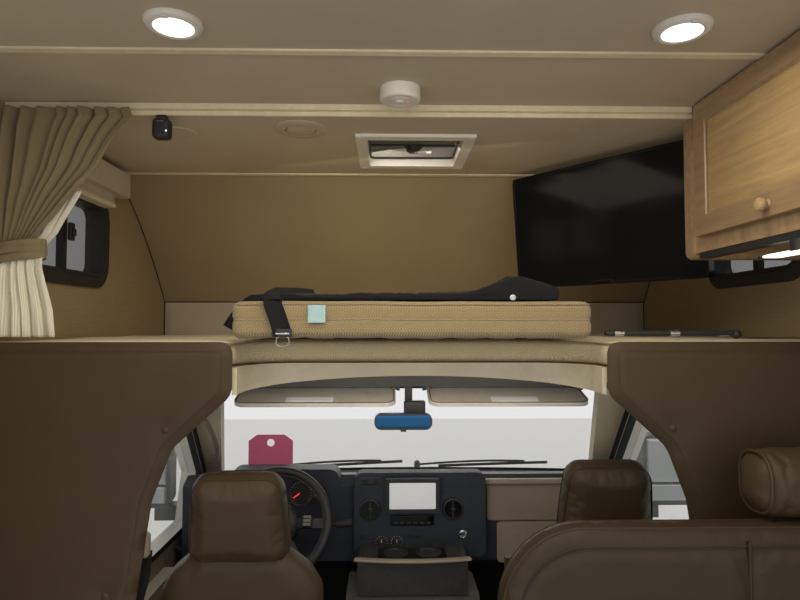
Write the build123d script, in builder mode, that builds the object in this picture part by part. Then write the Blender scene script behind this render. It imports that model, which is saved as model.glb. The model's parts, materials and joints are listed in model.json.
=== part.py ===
from build123d import *
from math import atan2, cos, degrees, hypot, radians, sin
import os

# Front section of a motorhome: the cab, the bunk over it and the first seat behind it.
# Units are millimetres. +X is the passenger side, +Y points forward and +Z up. The origin is
# on the ground plane, halfway along the section and on its centre line.

os.makedirs("parts", exist_ok=True)

# Coach body
body_width = 2440.0
wall = 50.0
living_length = 720.0
overcab_length = 1480.0
rail_height = 100.0
living_floor_thickness = 100.0
headroom = 2130.0
roof_thickness = 50.0
ceiling_step = 28.0
step_setback = 138.0
seam = 1.0
partition_thickness = 42.0
front_panel_thickness = 38.0
front_panel_width = 248.0

rear_y = -(living_length + overcab_length) / 2
nose_y = -rear_y
partition_y = rear_y + living_length
step_y = partition_y + step_setback
bunk_y = partition_y + partition_thickness
cab_rear_y = bunk_y + front_panel_thickness
inner_half = body_width / 2 - wall
floor_z = rail_height + living_floor_thickness
ceiling_z = floor_z + headroom
roof_z = ceiling_z + roof_thickness
overcab_z = ceiling_z - ceiling_step

# Bunk over the cab
bunk_clearance = 642.0
deck_thickness = 40.0
mattress_thickness = 75.0
notch_half = 505.0
notch_depth = 220.0
notch_radius = 150.0
mattress_z = overcab_z - bunk_clearance
mattress_low_z = mattress_z - mattress_thickness
deck_z = mattress_low_z - deck_thickness
notch_y = bunk_y + notch_depth

# Cab
pan = 20.0
cab_half = 980.0
cab_side = 60.0
cab_top_half = 900.0
cab_length = 1200.0
cab_sill = 60.0
belt_height = 740.0
cowl_height = 900.0
screen_run = 460.0
screen_drop = 85.0
cab_floor_z = rail_height + pan
cab_bottom_z = rail_height - cab_sill
belt_z = cab_floor_z + belt_height
cowl_z = cab_floor_z + cowl_height
cab_top_z = deck_z - seam
screen_top_z = deck_z - screen_drop
cowl_y = cab_rear_y + cab_length
screen_top_y = cowl_y - screen_run
cab_slope = (cab_half - cab_top_half) / (cab_top_z - belt_z)
screen_slope = screen_run / (screen_top_z - cowl_z)

# Doors
door_gap = 6.0
door_rear_margin = 50.0
door_front_margin = 130.0
door_sill = 30.0
door_top_margin = 75.0
door_kink_drop = 20.0
door_rear_y = cab_rear_y + door_rear_margin
door_front_y = cowl_y - door_front_margin
door_bottom_z = cab_bottom_z + door_sill
door_top_z = deck_z - door_top_margin
door_kink_z = cowl_z - door_kink_drop

# Dashboard
dash_setback = 560.0
dash_rise = 120.0
stack_depth = 60.0
dash_y = cowl_y - dash_setback
dash_face_y = dash_y + stack_depth
dash_z = cowl_z + dash_rise

SIDES = (("left", -1), ("right", 1))


def level(z):
    """A plane to draw a plan on, at height z."""
    return Plane.XY.offset(z)


def facing(y):
    """A plane to draw a front view on, at station y. Its extrusions run rearwards."""
    return Plane.XZ.offset(-y)


def beside(x):
    """A plane to draw a side view on, at x. Its extrusions run to the passenger side."""
    return Plane.YZ.offset(x)


def slab(x, y, z, mode=Mode.ADD):
    """A block between two corners, each of x, y and z being a (low, high) pair."""
    middle = [(pair[0] + pair[1]) / 2 for pair in (x, y, z)]
    with Locations(tuple(middle)):
        Box(x[1] - x[0], y[1] - y[0], z[1] - z[0], mode=mode)


def about(middle, width):
    """A span of the given width about its middle."""
    return (middle - width / 2, middle + width / 2)


def mirrored(sign, low, high):
    """A span of x on the side that sign names, low and high counted outwards."""
    return (low, high) if sign > 0 else (-high, -low)


def bowed(start, end, bow):
    """The middle of an arc from start to end that stands bow clear of its chord, to the right."""
    along = (end[0] - start[0], end[1] - start[1])
    reach = bow / hypot(*along)
    return ((start[0] + end[0]) / 2 - along[1] * reach, (start[1] + end[1]) / 2 + along[0] * reach)


def cab_outer(z):
    """Half the cab's width at height z: upright to the belt, then leaning in."""
    return cab_half - cab_slope * max(0.0, z - belt_z)


def cab_clear(z):
    """Half the clear width between the cab's sides, from the belt to height z."""
    return min(cab_outer(belt_z), cab_outer(z)) - cab_side


def save(part, label):
    """Names a finished piece and writes its file."""
    part.label = label
    export_step(part, f"parts/{label}.step")


# Chassis rails with their cross members: the piece that meets the ground
rail_x = 430.0
rail_flange = 60.0
rail_web = 8.0
rail_setback = 20.0
mount_hole_r = 8.0
mount_inset = 26.0
mount_end = 200.0
rail_front_y = cowl_y - rail_setback
mount_x = rail_x - mount_inset
mount_rows_y = (rear_y + mount_end, cowl_y - mount_end)

with BuildPart() as chassis_rails:
    for name, sign in SIDES:
        slab(mirrored(sign, rail_x, rail_x + rail_web), (rear_y, rail_front_y), (0, rail_height))
        for low in (0, rail_height - rail_web):
            slab(
                mirrored(sign, rail_x - rail_flange + rail_web, rail_x + rail_web),
                (rear_y, rail_front_y),
                (low, low + rail_web),
            )
    for y in (rear_y + rail_flange, partition_y, rail_front_y - 3 * rail_flange):
        slab((-rail_x, rail_x), (y, y + rail_flange), (rail_web, rail_height - rail_web))
    with Locations(*[(sign * mount_x, y, 0) for name, sign in SIDES for y in mount_rows_y]):
        Cylinder(mount_hole_r, rail_web * 3, mode=Mode.SUBTRACT)
save(chassis_rails.part, "chassis_rails")

# Floors, the firewall and the shelf under the windscreen
with BuildPart() as living_floor:
    slab((-inner_half, inner_half), (rear_y, cab_rear_y), (rail_height, floor_z))
save(living_floor.part, "living_floor")

shelf_depth = 100.0
shelf_thickness = 30.0
with BuildPart() as cab_floor:
    pan_half = cab_clear(belt_z) - seam
    shelf_half = cab_clear(cowl_z) - seam
    slab((-pan_half, pan_half), (cab_rear_y + seam, cowl_y), (rail_height, cab_floor_z))
    slab((-pan_half, pan_half), (cowl_y - pan, cowl_y), (cab_floor_z, belt_z))
    slab((-shelf_half, shelf_half), (cowl_y - pan, cowl_y), (belt_z, cowl_z))
    slab((-shelf_half, shelf_half), (cowl_y - shelf_depth, cowl_y), (cowl_z - shelf_thickness, cowl_z))
save(cab_floor.part, "cab_floor")

# The nose in side view: an inner and an outer arc, and the lip under them
nose_length = 660.0
nose_inner_setback = 135.0
nose_outer_setback = 40.0
nose_inner_rise = 267.0
nose_outer_rise = 250.0
nose_inner_bow = 33.0
nose_outer_bow = 58.0
nose_lip_rise = 75.0
nose_lip_setback = 18.0
nose_start_y = nose_y - nose_length
inner_top = (nose_start_y, overcab_z)
inner_end = (nose_y - nose_inner_setback, deck_z + nose_inner_rise)
outer_top = (nose_start_y, roof_z)
outer_end = (nose_y - nose_outer_setback, deck_z + nose_outer_rise)
lip_top = (nose_y, deck_z + nose_lip_rise)
lip_foot = (nose_y - nose_lip_setback, deck_z)

# Bunk windows, one in each side wall
window_length = 512.0
window_setback = 62.0
window_sill = 200.0
window_head = 142.0
window_radius = 70.0
window_rear_y = step_y + window_setback
window_low_z = mattress_z + window_sill
window_height = overcab_z - window_head - window_low_z
window_mid = (window_rear_y + window_length / 2, window_low_z + window_height / 2)


def window_outline(grow, mode=Mode.ADD):
    """Draws a bunk window's outline about its middle, grown on every side."""
    corner = min(window_radius, 0.45 * window_height)
    RectangleRounded(window_length + 2 * grow, window_height + 2 * grow, corner + grow, mode=mode)


for name, sign in SIDES:
    with BuildPart() as side_wall:
        with BuildSketch(beside(mirrored(sign, inner_half, inner_half + wall)[0])):
            with BuildLine():
                Polyline(
                    outer_top,
                    (rear_y, roof_z),
                    (rear_y, rail_height),
                    (cab_rear_y, rail_height),
                    (cab_rear_y, deck_z),
                    lip_foot,
                    lip_top,
                    outer_end,
                )
                ThreePointArc(outer_end, bowed(outer_top, outer_end, nose_outer_bow), outer_top)
            make_face()
            with Locations(window_mid):
                window_outline(0.0, mode=Mode.SUBTRACT)
        extrude(amount=wall)
    save(side_wall.part, f"{name}_wall")

# Roof, with the lower ceiling of the bunk and the opening of the vent
vent_size = 320.0
vent_mid_y = (step_y + nose_start_y) / 2
with BuildPart() as roof:
    slab((-inner_half, inner_half), (rear_y, nose_start_y), (ceiling_z, roof_z))
    slab((-inner_half, inner_half), (step_y, nose_start_y), (overcab_z, ceiling_z))
    slab(
        about(0, vent_size),
        about(vent_mid_y, vent_size),
        (overcab_z - seam, roof_z + seam),
        mode=Mode.SUBTRACT,
    )
save(roof.part, "roof")

with BuildPart() as nose_cap:
    with BuildSketch(beside(-inner_half)):
        with BuildLine():
            ThreePointArc(outer_top, bowed(outer_top, outer_end, nose_outer_bow), outer_end)
            Polyline(outer_end, lip_top, lip_foot, (inner_end[0], deck_z), inner_end)
            ThreePointArc(inner_end, bowed(inner_top, inner_end, nose_inner_bow), inner_top)
            Line(inner_top, outer_top)
        make_face()
    extrude(amount=2 * inner_half)
save(nose_cap.part, "nose_cap")

# Step face and the joint strips of the ceiling
strip = 22.0
strip_drop = 5.0
step_face = 8.0
strip_setback = 231.0
with BuildPart() as ceiling_trim:
    slab((-inner_half, inner_half), (step_y - step_face, step_y), (overcab_z, ceiling_z))
    for y, z in ((partition_y - strip_setback, ceiling_z), (nose_start_y - 1.5 * strip, overcab_z)):
        slab((-inner_half, inner_half), (y, y + strip), (z - strip_drop, z))
save(ceiling_trim.part, "ceiling_trim")

# Bunk deck and mattress, notched above the way into the cab
for label, low, thick, inset in (
    ("bunk_deck", deck_z, deck_thickness, 0.0),
    ("bunk_mattress", mattress_low_z, mattress_thickness, 2 * seam),
):
    with BuildPart() as layer:
        with BuildSketch(level(low)) as plan:
            with Locations((0, (bunk_y + inner_end[0]) / 2)):
                Rectangle(2 * (inner_half - inset), inner_end[0] - bunk_y - 2 * inset)
            with Locations((0, bunk_y)):
                Rectangle(2 * notch_half, 2 * notch_depth, mode=Mode.SUBTRACT)
            corners = [v for v in plan.vertices() if abs(abs(v.X) - notch_half) < 1 and v.Y > notch_y - 1]
            fillet(corners, notch_radius)
        extrude(amount=thick)
    save(layer.part, label)

# Cream trim round the edge of the notch, its lower edge arched over the way into the cab
trim = 12.0
trim_drop = 34.0
trim_low_z = deck_z - trim_drop
with BuildSketch(level(trim_low_z)) as notch_inside:
    with Locations((0, bunk_y)):
        Rectangle(2 * (notch_half - trim), 2 * (notch_depth - trim))
    fillet(notch_inside.vertices().group_by(Axis.Y)[-1], notch_radius - trim)
with BuildPart() as cab_header_trim:
    with BuildSketch(level(trim_low_z)) as notch_outside:
        with Locations((0, bunk_y + notch_depth / 2)):
            Rectangle(2 * notch_half, notch_depth - 2 * seam)
        fillet(notch_outside.vertices().group_by(Axis.Y)[-1], notch_radius - seam)
        add(notch_inside.sketch, mode=Mode.SUBTRACT)
    extrude(amount=trim_drop + deck_thickness)
    with BuildSketch(facing(notch_y + seam)):
        with BuildLine():
            arch_half = notch_half + trim
            arch_z = trim_low_z - seam
            ThreePointArc((-arch_half, arch_z), (0, deck_z + seam), (arch_half, arch_z))
            Polyline(
                (arch_half, arch_z),
                (arch_half, arch_z - trim_drop),
                (-arch_half, arch_z - trim_drop),
                (-arch_half, arch_z),
            )
        make_face()
    extrude(amount=notch_depth + 2 * trim, mode=Mode.SUBTRACT)
save(cab_header_trim.part, "cab_header_trim")

# Padded partitions each side of the way into the cab. Corners: x, height, corner radius
partition_rise = 110.0
partition_corners = (
    (500.0, deck_z + partition_rise, 28.0),
    (500.0, deck_z - 30.0, 50.0),
    (655.0, deck_z - 170.0, 90.0),
    (705.0, deck_z - 305.0, 0.0),
    (742.0, deck_z - 565.0, 0.0),
    (745.0, floor_z, 0.0),
)
with BuildPart() as partitions:
    for name, sign in SIDES:
        with BuildSketch(facing(bunk_y)) as outline:
            with BuildLine():
                Polyline(
                    (sign * (inner_half - seam), floor_z),
                    (sign * (inner_half - seam), deck_z + partition_rise),
                    *[(sign * x, z) for x, z, radius in partition_corners],
                    close=True,
                )
            make_face()
            for x, z, radius in partition_corners:
                if radius:
                    here = [v for v in outline.vertices() if abs(abs(v.X) - x) < 1 and abs(v.Y - z) < 1]
                    fillet(here, radius)
        extrude(amount=partition_thickness)
save(partitions.part, "partitions")

# Front panels of the coach body, beside the cab
with BuildPart() as front_panels:
    for name, sign in SIDES:
        slab(
            mirrored(sign, inner_half - front_panel_width, inner_half - seam),
            (bunk_y + seam, cab_rear_y - seam),
            (floor_z, deck_z - seam),
        )
save(front_panels.part, "front_panels")

# Outline of a door's opening and of its window, in side view
window_rear_margin = 70.0
window_front_margin = 170.0
window_sill_rise = 25.0
window_top_margin = 45.0
window_slant_margin = 55.0


def slant(z, margin):
    """Station of the line along the windscreen's rake, at height z, set back square to it."""
    return door_front_y - (z - door_kink_z) * screen_slope - margin * hypot(1.0, screen_slope)


door_outline = [
    (door_rear_y, door_bottom_z),
    (door_front_y, door_bottom_z),
    (door_front_y, door_kink_z),
    (slant(door_top_z, 0.0), door_top_z),
    (door_rear_y, door_top_z),
]
glass_low_z = belt_z + window_sill_rise
glass_top_z = door_top_z - window_top_margin
glass_front_y = door_front_y - window_front_margin
glass_kink_z = door_kink_z + (slant(door_kink_z, window_slant_margin) - glass_front_y) / screen_slope
glass_outline = [
    (door_rear_y + window_rear_margin, glass_low_z),
    (glass_front_y, glass_low_z),
    (glass_front_y, glass_kink_z),
    (slant(glass_top_z, window_slant_margin), glass_top_z),
    (door_rear_y + window_rear_margin, glass_top_z),
]
side_outline = [
    (cab_rear_y + seam, cab_bottom_z),
    (cowl_y, cab_bottom_z),
    (cowl_y, cowl_z),
    (screen_top_y, screen_top_z),
    (screen_top_y - cab_side / 2, cab_top_z),
    (cab_rear_y + seam, cab_top_z),
]


def band(sign, inset, thick):
    """Corners in front view of a layer of a cab side, set in from its outer face."""
    faces = [(belt_z, cab_half), (cab_top_z, cab_top_half)]
    outer = [(cab_bottom_z, cab_half), *faces]
    return [(sign * (half - inset), z) for z, half in outer] + [
        (sign * (half - inset - thick), z) for z, half in reversed(outer)
    ]


# Cab sides: a frame round each door, with half of each hinge and its pin
hinge_pin_r = 4.0
barrel_r = 8.0
barrel = 24.0
pin_clearance = 0.06
leaf = 6.0
leaf_length = 40.0
hinge_x = cab_half + barrel_r + seam
hinge_heights = (door_bottom_z + 230.0, belt_z - 120.0)
upward = (Align.CENTER, Align.CENTER, Align.MIN)
downward = (Align.CENTER, Align.CENTER, Align.MAX)

with BuildPart() as cab_frames:
    with BuildSketch(facing(cowl_y)):
        for name, sign in SIDES:
            with BuildLine():
                Polyline(*band(sign, 0.0, cab_side), close=True)
            make_face()
    extrude(amount=cowl_y - cab_rear_y)
    with BuildSketch(Plane.YZ):
        with BuildLine():
            Polyline(*side_outline, close=True)
        make_face()
        with BuildLine():
            Polyline(*door_outline, close=True)
        make_face(mode=Mode.SUBTRACT)
    extrude(amount=inner_half, both=True, mode=Mode.INTERSECT)
    for name, sign in SIDES:
        for z in hinge_heights:
            with Locations((sign * hinge_x, door_front_y, z)):
                Cylinder(barrel_r, barrel, align=upward)
                Cylinder(hinge_pin_r, 2 * barrel, align=upward)
            slab(
                mirrored(sign, cab_half, cab_half + leaf),
                (door_front_y + barrel_r - 2 * seam, door_front_y + leaf_length),
                (z, z + barrel),
            )
save(cab_frames.part, "cab_frames")

# Doors, hollowed for their windows, with armrests and the barrels that turn on the hinge pins
armrest_depth = 45.0
armrest_thickness = 40.0
armrest_z = belt_z - 60.0
glass_inset = 27.0
glass_thickness = 5.0
mirror_arm_reach = 90.0
mirror_arm_y = (glass_front_y + 20.0, glass_front_y + 90.0)
mirror_arm_z = (belt_z + 18.0, belt_z + 80.0)
mirror_size = (250.0, 70.0, 300.0)
mirror_x = cab_half + 150.0
mirror_z = belt_z + 220.0

for name, sign in SIDES:
    with BuildPart() as door:
        with BuildSketch(facing(door_front_y)):
            with BuildLine():
                Polyline(*band(sign, 0.0, cab_side), close=True)
            make_face()
        extrude(amount=door_front_y - door_rear_y)
        with BuildSketch(Plane.YZ):
            with BuildLine():
                Polyline(*door_outline, close=True)
            make_face()
            offset(amount=-door_gap, kind=Kind.INTERSECTION)
            with BuildLine():
                Polyline(*glass_outline, close=True)
            make_face(mode=Mode.SUBTRACT)
        extrude(amount=inner_half, both=True, mode=Mode.INTERSECT)
        slab(
            mirrored(sign, cab_half - cab_side - armrest_depth, cab_half - cab_side),
            (door_rear_y + 2 * cab_side, dash_y - 10 * seam),
            (armrest_z - armrest_thickness, armrest_z),
        )
        for z in hinge_heights:
            slab(
                mirrored(sign, cab_half - seam, cab_half + leaf),
                (door_front_y - leaf_length, door_front_y - barrel_r + 2 * seam),
                (z + barrel + seam, z + 2 * barrel),
            )
            with Locations((sign * hinge_x, door_front_y, z + barrel + seam)):
                Cylinder(barrel_r, barrel - seam, align=upward)
                Cylinder(hinge_pin_r + pin_clearance, barrel - seam, align=upward, mode=Mode.SUBTRACT)
    save(door.part, f"{name}_door")

    with BuildPart() as door_glass:
        with BuildSketch(facing(door_front_y)):
            with BuildLine():
                Polyline(*band(sign, glass_inset, glass_thickness), close=True)
            make_face()
        extrude(amount=door_front_y - door_rear_y)
        with BuildSketch(Plane.YZ):
            with BuildLine():
                Polyline(*glass_outline, close=True)
            make_face()
        extrude(amount=inner_half, both=True, mode=Mode.INTERSECT)
    save(door_glass.part, f"{name}_door_glass")

    with BuildPart() as door_mirror:
        slab(
            mirrored(sign, cab_outer(mirror_arm_z[1]) - cab_side / 2, cab_half + mirror_arm_reach),
            mirror_arm_y,
            mirror_arm_z,
        )
        with BuildSketch(facing(mirror_arm_y[1])):
            with Locations((sign * mirror_x, mirror_z)):
                RectangleRounded(mirror_size[0], mirror_size[2], 45.0)
        extrude(amount=mirror_size[1])
        add(door.part, mode=Mode.SUBTRACT)
    save(door_mirror.part, f"{name}_door_mirror")

# Windscreen: two bowed strips of glass, bottom and top, joined by straight lines
screen_glass = 6.0
screen_gap = 3.0
screen_rows = (
    # height, station of the ends, bow
    (cowl_z + 2 * seam, cowl_y - 62.0, 62.0),
    (screen_top_z, screen_top_y - 60.0, 52.0),
)


def screen_y(z):
    """Station of the inner face of the windscreen at its ends, at height z."""
    (foot_z, foot_y, foot_bow), (top_z, top_y, top_bow) = screen_rows
    return foot_y + (top_y - foot_y) * (z - foot_z) / (top_z - foot_z) - screen_glass


with BuildPart() as windscreen:
    for z, y, bow in screen_rows:
        half = cab_clear(z) - screen_gap
        with BuildSketch(level(z)):
            with BuildLine():
                back = y - screen_glass
                ThreePointArc((-half, y), (0, y + bow), (half, y))
                Line((half, y), (half, back))
                ThreePointArc((half, back), (0, back + bow), (-half, back))
                Line((-half, back), (-half, y))
            make_face()
    loft(ruled=True)
save(windscreen.part, "windscreen")

# Cab headliner: the dark rim of the roof opening, with the brackets and pins of the visors
header_drop = 70.0
header_depth = 190.0
header_side = 130.0
header_radius = 160.0
cover_gap = 7.0
cover_width = 64.0
cover_top_width = 127.0
visor_depth = 165.0
visor_thick = 16.0
visor_droop = 15.0
visor_gap = 60.0
visor_end_gap = 57.0
visor_setback = 100.0
visor_drop = 18.0
visor_corner = 40.0
visor_pin_r = 4.0
bracket = 12.0
bracket_gap = 5.0
header_z = deck_z - header_drop
header_y = screen_top_y - header_depth
visor_hinge_y = screen_top_y - visor_setback
visor_hinge_z = header_z - visor_drop
visor_end = cab_clear(header_z) - cover_gap - cover_top_width - visor_end_gap - bracket - bracket_gap
visor_length = visor_end - visor_gap
VISORS = (("driver", -visor_gap - visor_length / 2), ("passenger", visor_gap + visor_length / 2))

with BuildPart() as cab_headliner:
    liner_half = cab_clear(cab_top_z) - seam
    with BuildSketch(level(header_z)) as liner_plan:
        with Locations((0, (cab_rear_y + seam + screen_top_y) / 2)):
            Rectangle(2 * liner_half, screen_top_y - cab_rear_y - seam)
        with Locations((0, (cab_rear_y + header_y) / 2)):
            Rectangle(2 * (liner_half - header_side), header_y - cab_rear_y, mode=Mode.SUBTRACT)
        fillet([v for v in liner_plan.vertices() if abs(v.Y - header_y) < 1], header_radius)
    extrude(amount=header_drop - seam)
    for name, mid in VISORS:
        for end in (-1, 1):
            bracket_x = mid + end * (visor_length / 2 + bracket_gap + bracket / 2)
            slab(
                about(bracket_x, bracket),
                about(visor_hinge_y, bracket),
                (visor_hinge_z - bracket / 2, header_z),
            )
        with Locations(Location((mid, visor_hinge_y, visor_hinge_z), (0, 90, 0))):
            Cylinder(visor_pin_r, visor_length + 2 * bracket_gap + bracket)
save(cab_headliner.part, "cab_headliner")

for name, mid in VISORS:
    visor_plane = Plane(
        origin=(mid, visor_hinge_y, visor_hinge_z),
        x_dir=(1, 0, 0),
        z_dir=(0, -sin(radians(visor_droop)), cos(radians(visor_droop))),
    )
    with BuildPart() as visor:
        with BuildSketch(visor_plane) as visor_plan:
            with Locations((0, -visor_depth / 2 + visor_thick / 2)):
                Rectangle(visor_length, visor_depth)
            fillet(visor_plan.vertices().group_by(Axis.Y)[0], visor_corner)
        extrude(amount=visor_thick / 2, both=True)
        with Locations(Location((mid, visor_hinge_y, visor_hinge_z), (0, 90, 0))):
            Cylinder(visor_pin_r + pin_clearance, visor_length + 2 * seam, mode=Mode.SUBTRACT)
    save(visor.part, f"{name}_visor")

# Cabin mirror on its stalk
cabin_mirror_size = (202.0, 30.0, 56.0)
cabin_mirror_x = -34.0
cabin_mirror_drop = 112.0
cabin_mirror_reach = 165.0
stalk = 14.0
stalk_x = -10.0
with BuildPart() as cabin_mirror:
    mirror_face_y = visor_hinge_y - cabin_mirror_reach
    mirror_level = header_z - cabin_mirror_drop
    with BuildSketch(facing(mirror_face_y)):
        with Locations((cabin_mirror_x, mirror_level)):
            RectangleRounded(cabin_mirror_size[0], cabin_mirror_size[2], 24.0)
    extrude(amount=cabin_mirror_size[1])
    slab(about(stalk_x, stalk), (mirror_face_y - seam, visor_hinge_y), about(mirror_level, stalk))
    slab(about(stalk_x, 2 * stalk), about(visor_hinge_y, 3 * stalk), (mirror_level - stalk / 2, header_z))
save(cabin_mirror.part, "cabin_mirror")

# Cream covers on the windscreen pillars
cover_depth = 50.0
cover_glass_gap = 2.5
cover_rows = (
    # height, width
    (cowl_z + 30.0, cover_width),
    (header_z - 4.0, cover_top_width),
)
with BuildPart() as pillar_trim:
    for name, sign in SIDES:
        for z, width in cover_rows:
            cover_x = cab_clear(z) - cover_gap - width / 2
            cover_y = screen_y(z) - cover_glass_gap - cover_depth / 2
            with BuildSketch(level(z)):
                with Locations((sign * cover_x, cover_y)):
                    Rectangle(width, cover_depth)
        loft(ruled=True)
save(pillar_trim.part, "pillar_trim")

# Where the cab seats stand, counted in from the door sides
cushion_half = 240.0
lug = 12.0
driver_door_gap = 168.0
passenger_door_gap = 100.0
seat_half = cushion_half + lug
driver_x = -(cab_clear(belt_z) - driver_door_gap - seat_half)
passenger_x = cab_clear(belt_z) - passenger_door_gap - seat_half

# Dashboard: one long section with the hood of the instruments and the glovebox bin
dash_gap = 8.0
dash_crown = 35.0
dash_lip = 60.0
dash_chin = 70.0
dash_edge = 30.0
dash_profile = [
    (dash_face_y, belt_z - dash_chin),
    (dash_face_y, dash_z - dash_crown - dash_edge),
    (dash_face_y + dash_lip, dash_z - dash_crown),
    (cowl_y - shelf_depth - 10 * seam, cowl_z + 15.0),
    (cowl_y - shelf_depth - 10 * seam, belt_z + 40.0),
    (dash_face_y + dash_lip, belt_z - dash_chin - 40.0),
]
dash_half = cab_clear(dash_z) - dash_gap
bin_size = (420.0, 200.0, 130.0)
bin_margin = 115.0
bin_high_z = belt_z + 70.0
bin_x = (dash_half - bin_margin - bin_size[0], dash_half - bin_margin)
bin_z = (bin_high_z - bin_size[2], bin_high_z)
hood_size = (430.0, 90.0, 130.0)
wheel_x = driver_x + 10.0
with BuildPart() as dashboard:
    with BuildSketch(beside(-dash_half)):
        with BuildLine():
            Polyline(*dash_profile, close=True)
        make_face()
    extrude(amount=2 * dash_half)
    with BuildSketch(facing(dash_face_y)):
        with Locations((wheel_x, dash_z - hood_size[2] / 2)):
            RectangleRounded(hood_size[0], hood_size[2], 40.0)
    extrude(amount=-hood_size[1])
    slab(bin_x, (dash_face_y - seam, dash_face_y + bin_size[1]), bin_z, mode=Mode.SUBTRACT)
save(dashboard.part, "dashboard")

lid_gap = 6.0
lid_thickness = 18.0
lid_margin = (12.0, 10.0)
with BuildPart() as glovebox_lid:
    with BuildSketch(facing(dash_face_y - lid_gap)):
        with Locations((sum(bin_x) / 2, sum(bin_z) / 2)):
            RectangleRounded(bin_size[0] + 2 * lid_margin[0], bin_size[2] + 2 * lid_margin[1], 16.0)
    extrude(amount=lid_thickness)
save(glovebox_lid.part, "glovebox_lid")

stack_width = 498.0
stack_gap = 61.0
pod_size = (200.0, 45.0, 125.0)
pod_inset = 119.0
pod_drop = 12.0
stack_low_z = belt_z - 34.0
stack_x = (bin_x[0] - stack_gap - stack_width, bin_x[0] - stack_gap)
pod_x = (stack_x[0] + pod_inset, stack_x[0] + pod_inset + pod_size[0])
pod_z = (dash_z - pod_drop - pod_size[2], dash_z - pod_drop)
with BuildPart() as centre_stack:
    with BuildSketch(facing(dash_face_y)):
        with Locations((sum(stack_x) / 2, (stack_low_z + dash_z) / 2)):
            RectangleRounded(stack_width, dash_z - stack_low_z, 30.0)
    extrude(amount=stack_depth)
    slab(pod_x, (dash_y - pod_size[1], dash_y), pod_z)
save(centre_stack.part, "centre_stack")

# Cover over the engine between the seats, open underneath and to the front, and its tray
cover_wall = 15.0
cover_length = 300.0
cover_z = belt_z - 110.0
cover_shoulder = 190.0
cover_slope = 160.0
cover_fall = 140.0
cover_half = -driver_x - seat_half - 13.0
cover_rear_y = dash_y - cover_length
cover_front_y = cowl_y - pan - seam
with BuildPart() as engine_cover:
    for inset, past, mode in ((0.0, 0.0, Mode.ADD), (cover_wall, seam, Mode.SUBTRACT)):
        with BuildSketch(beside(-cover_half + inset)):
            with BuildLine():
                Polyline(
                    (cover_rear_y + inset, cab_floor_z - past),
                    (cover_rear_y + inset, cover_z - cover_shoulder - inset),
                    (cover_rear_y + cover_slope + inset, cover_z - inset),
                    (dash_y + leaf_length, cover_z - inset),
                    (cover_front_y + past, cover_z - cover_fall - inset),
                    (cover_front_y + past, cab_floor_z - past),
                    close=True,
                )
            make_face()
        extrude(amount=2 * (cover_half - inset), mode=mode)
save(engine_cover.part, "engine_cover")

tray_margin = 40.0
tray_wall = 20.0
tray_length = 150.0
tray_floor = 50.0
tray_height = 120.0
tray_z = (cover_z + seam, cover_z + tray_height)
tray_half = cover_half - tray_margin
with BuildPart() as console_tray:
    tray_y = (dash_y - seam - tray_length, dash_y - seam)
    slab((-tray_half, tray_half), tray_y, tray_z)
    slab(
        (-tray_half + tray_wall, tray_half - tray_wall),
        (tray_y[0] + tray_wall, tray_y[1] - tray_wall),
        (tray_z[0] + tray_floor, tray_z[1] + seam),
        mode=Mode.SUBTRACT,
    )
save(console_tray.part, "console_tray")

# Steering: the wheel leans back from upright by its tilt, and the column follows its axis
wheel_r = 185.0
rim_r = 15.0
wheel_tilt = 28.0
wheel_height = 869.0
wheel_reach = 100.0
boss_r = 78.0
boss_depth = 44.0
boss_setback = 28.0
spoke_width = 34.0
spoke_thickness = 14.0
shaft_r = 12.0
shaft_clearance = 0.06
shaft_end = 102.0
column_r = 48.0
column_start = 56.0
column_length = 150.0
stalk_start = 96.0
wheel_centre = (wheel_x, dash_y - wheel_reach, cab_floor_z + wheel_height)
wheel_axis = (0.0, -cos(radians(wheel_tilt)), sin(radians(wheel_tilt)))
wheel_plane = Plane(origin=wheel_centre, x_dir=(1, 0, 0), z_dir=wheel_axis)
with BuildPart() as steering_wheel:
    with Locations(wheel_plane):
        Torus(wheel_r, rim_r)
        with Locations((0, 0, -boss_setback)):
            Cylinder(boss_r, boss_depth)
            for angle in (0, 180, 235, 305):
                with Locations(Rotation(0, 0, angle)):
                    with Locations((wheel_r / 2, 0, spoke_thickness / 2)):
                        Box(wheel_r, spoke_width, spoke_thickness)
        with Locations((0, 0, -boss_setback - boss_depth / 2 + 2 * seam)):
            Cylinder(shaft_r, shaft_end - boss_setback - boss_depth / 2 + 2 * seam, align=downward)
save(steering_wheel.part, "steering_wheel")

# The column carries the shift lever with its knob, and the turn signal stalk
column_stalks = (
    # lean from the axis, radius, start and end measured from the axis
    (74.0, 7.0, 30.0, 255.0),
    (74.0, 14.0, 225.0, 285.0),
    (-82.0, 6.0, 30.0, 190.0),
)
with BuildPart() as steering_column:
    with Locations(wheel_plane):
        with Locations((0, 0, -column_start)):
            Cylinder(column_r, column_length, align=downward)
            Cylinder(
                shaft_r + shaft_clearance,
                shaft_end - column_start + 4 * seam,
                align=downward,
                mode=Mode.SUBTRACT,
            )
        with Locations((0, 0, -stalk_start)):
            for lean, stalk_r, start, end in column_stalks:
                with Locations(Rotation(0, lean, 0)):
                    with Locations((0, 0, start)):
                        Cylinder(stalk_r, end - start, align=upward)
    add(dashboard.part, mode=Mode.SUBTRACT)
save(steering_column.part, "steering_column")

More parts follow.
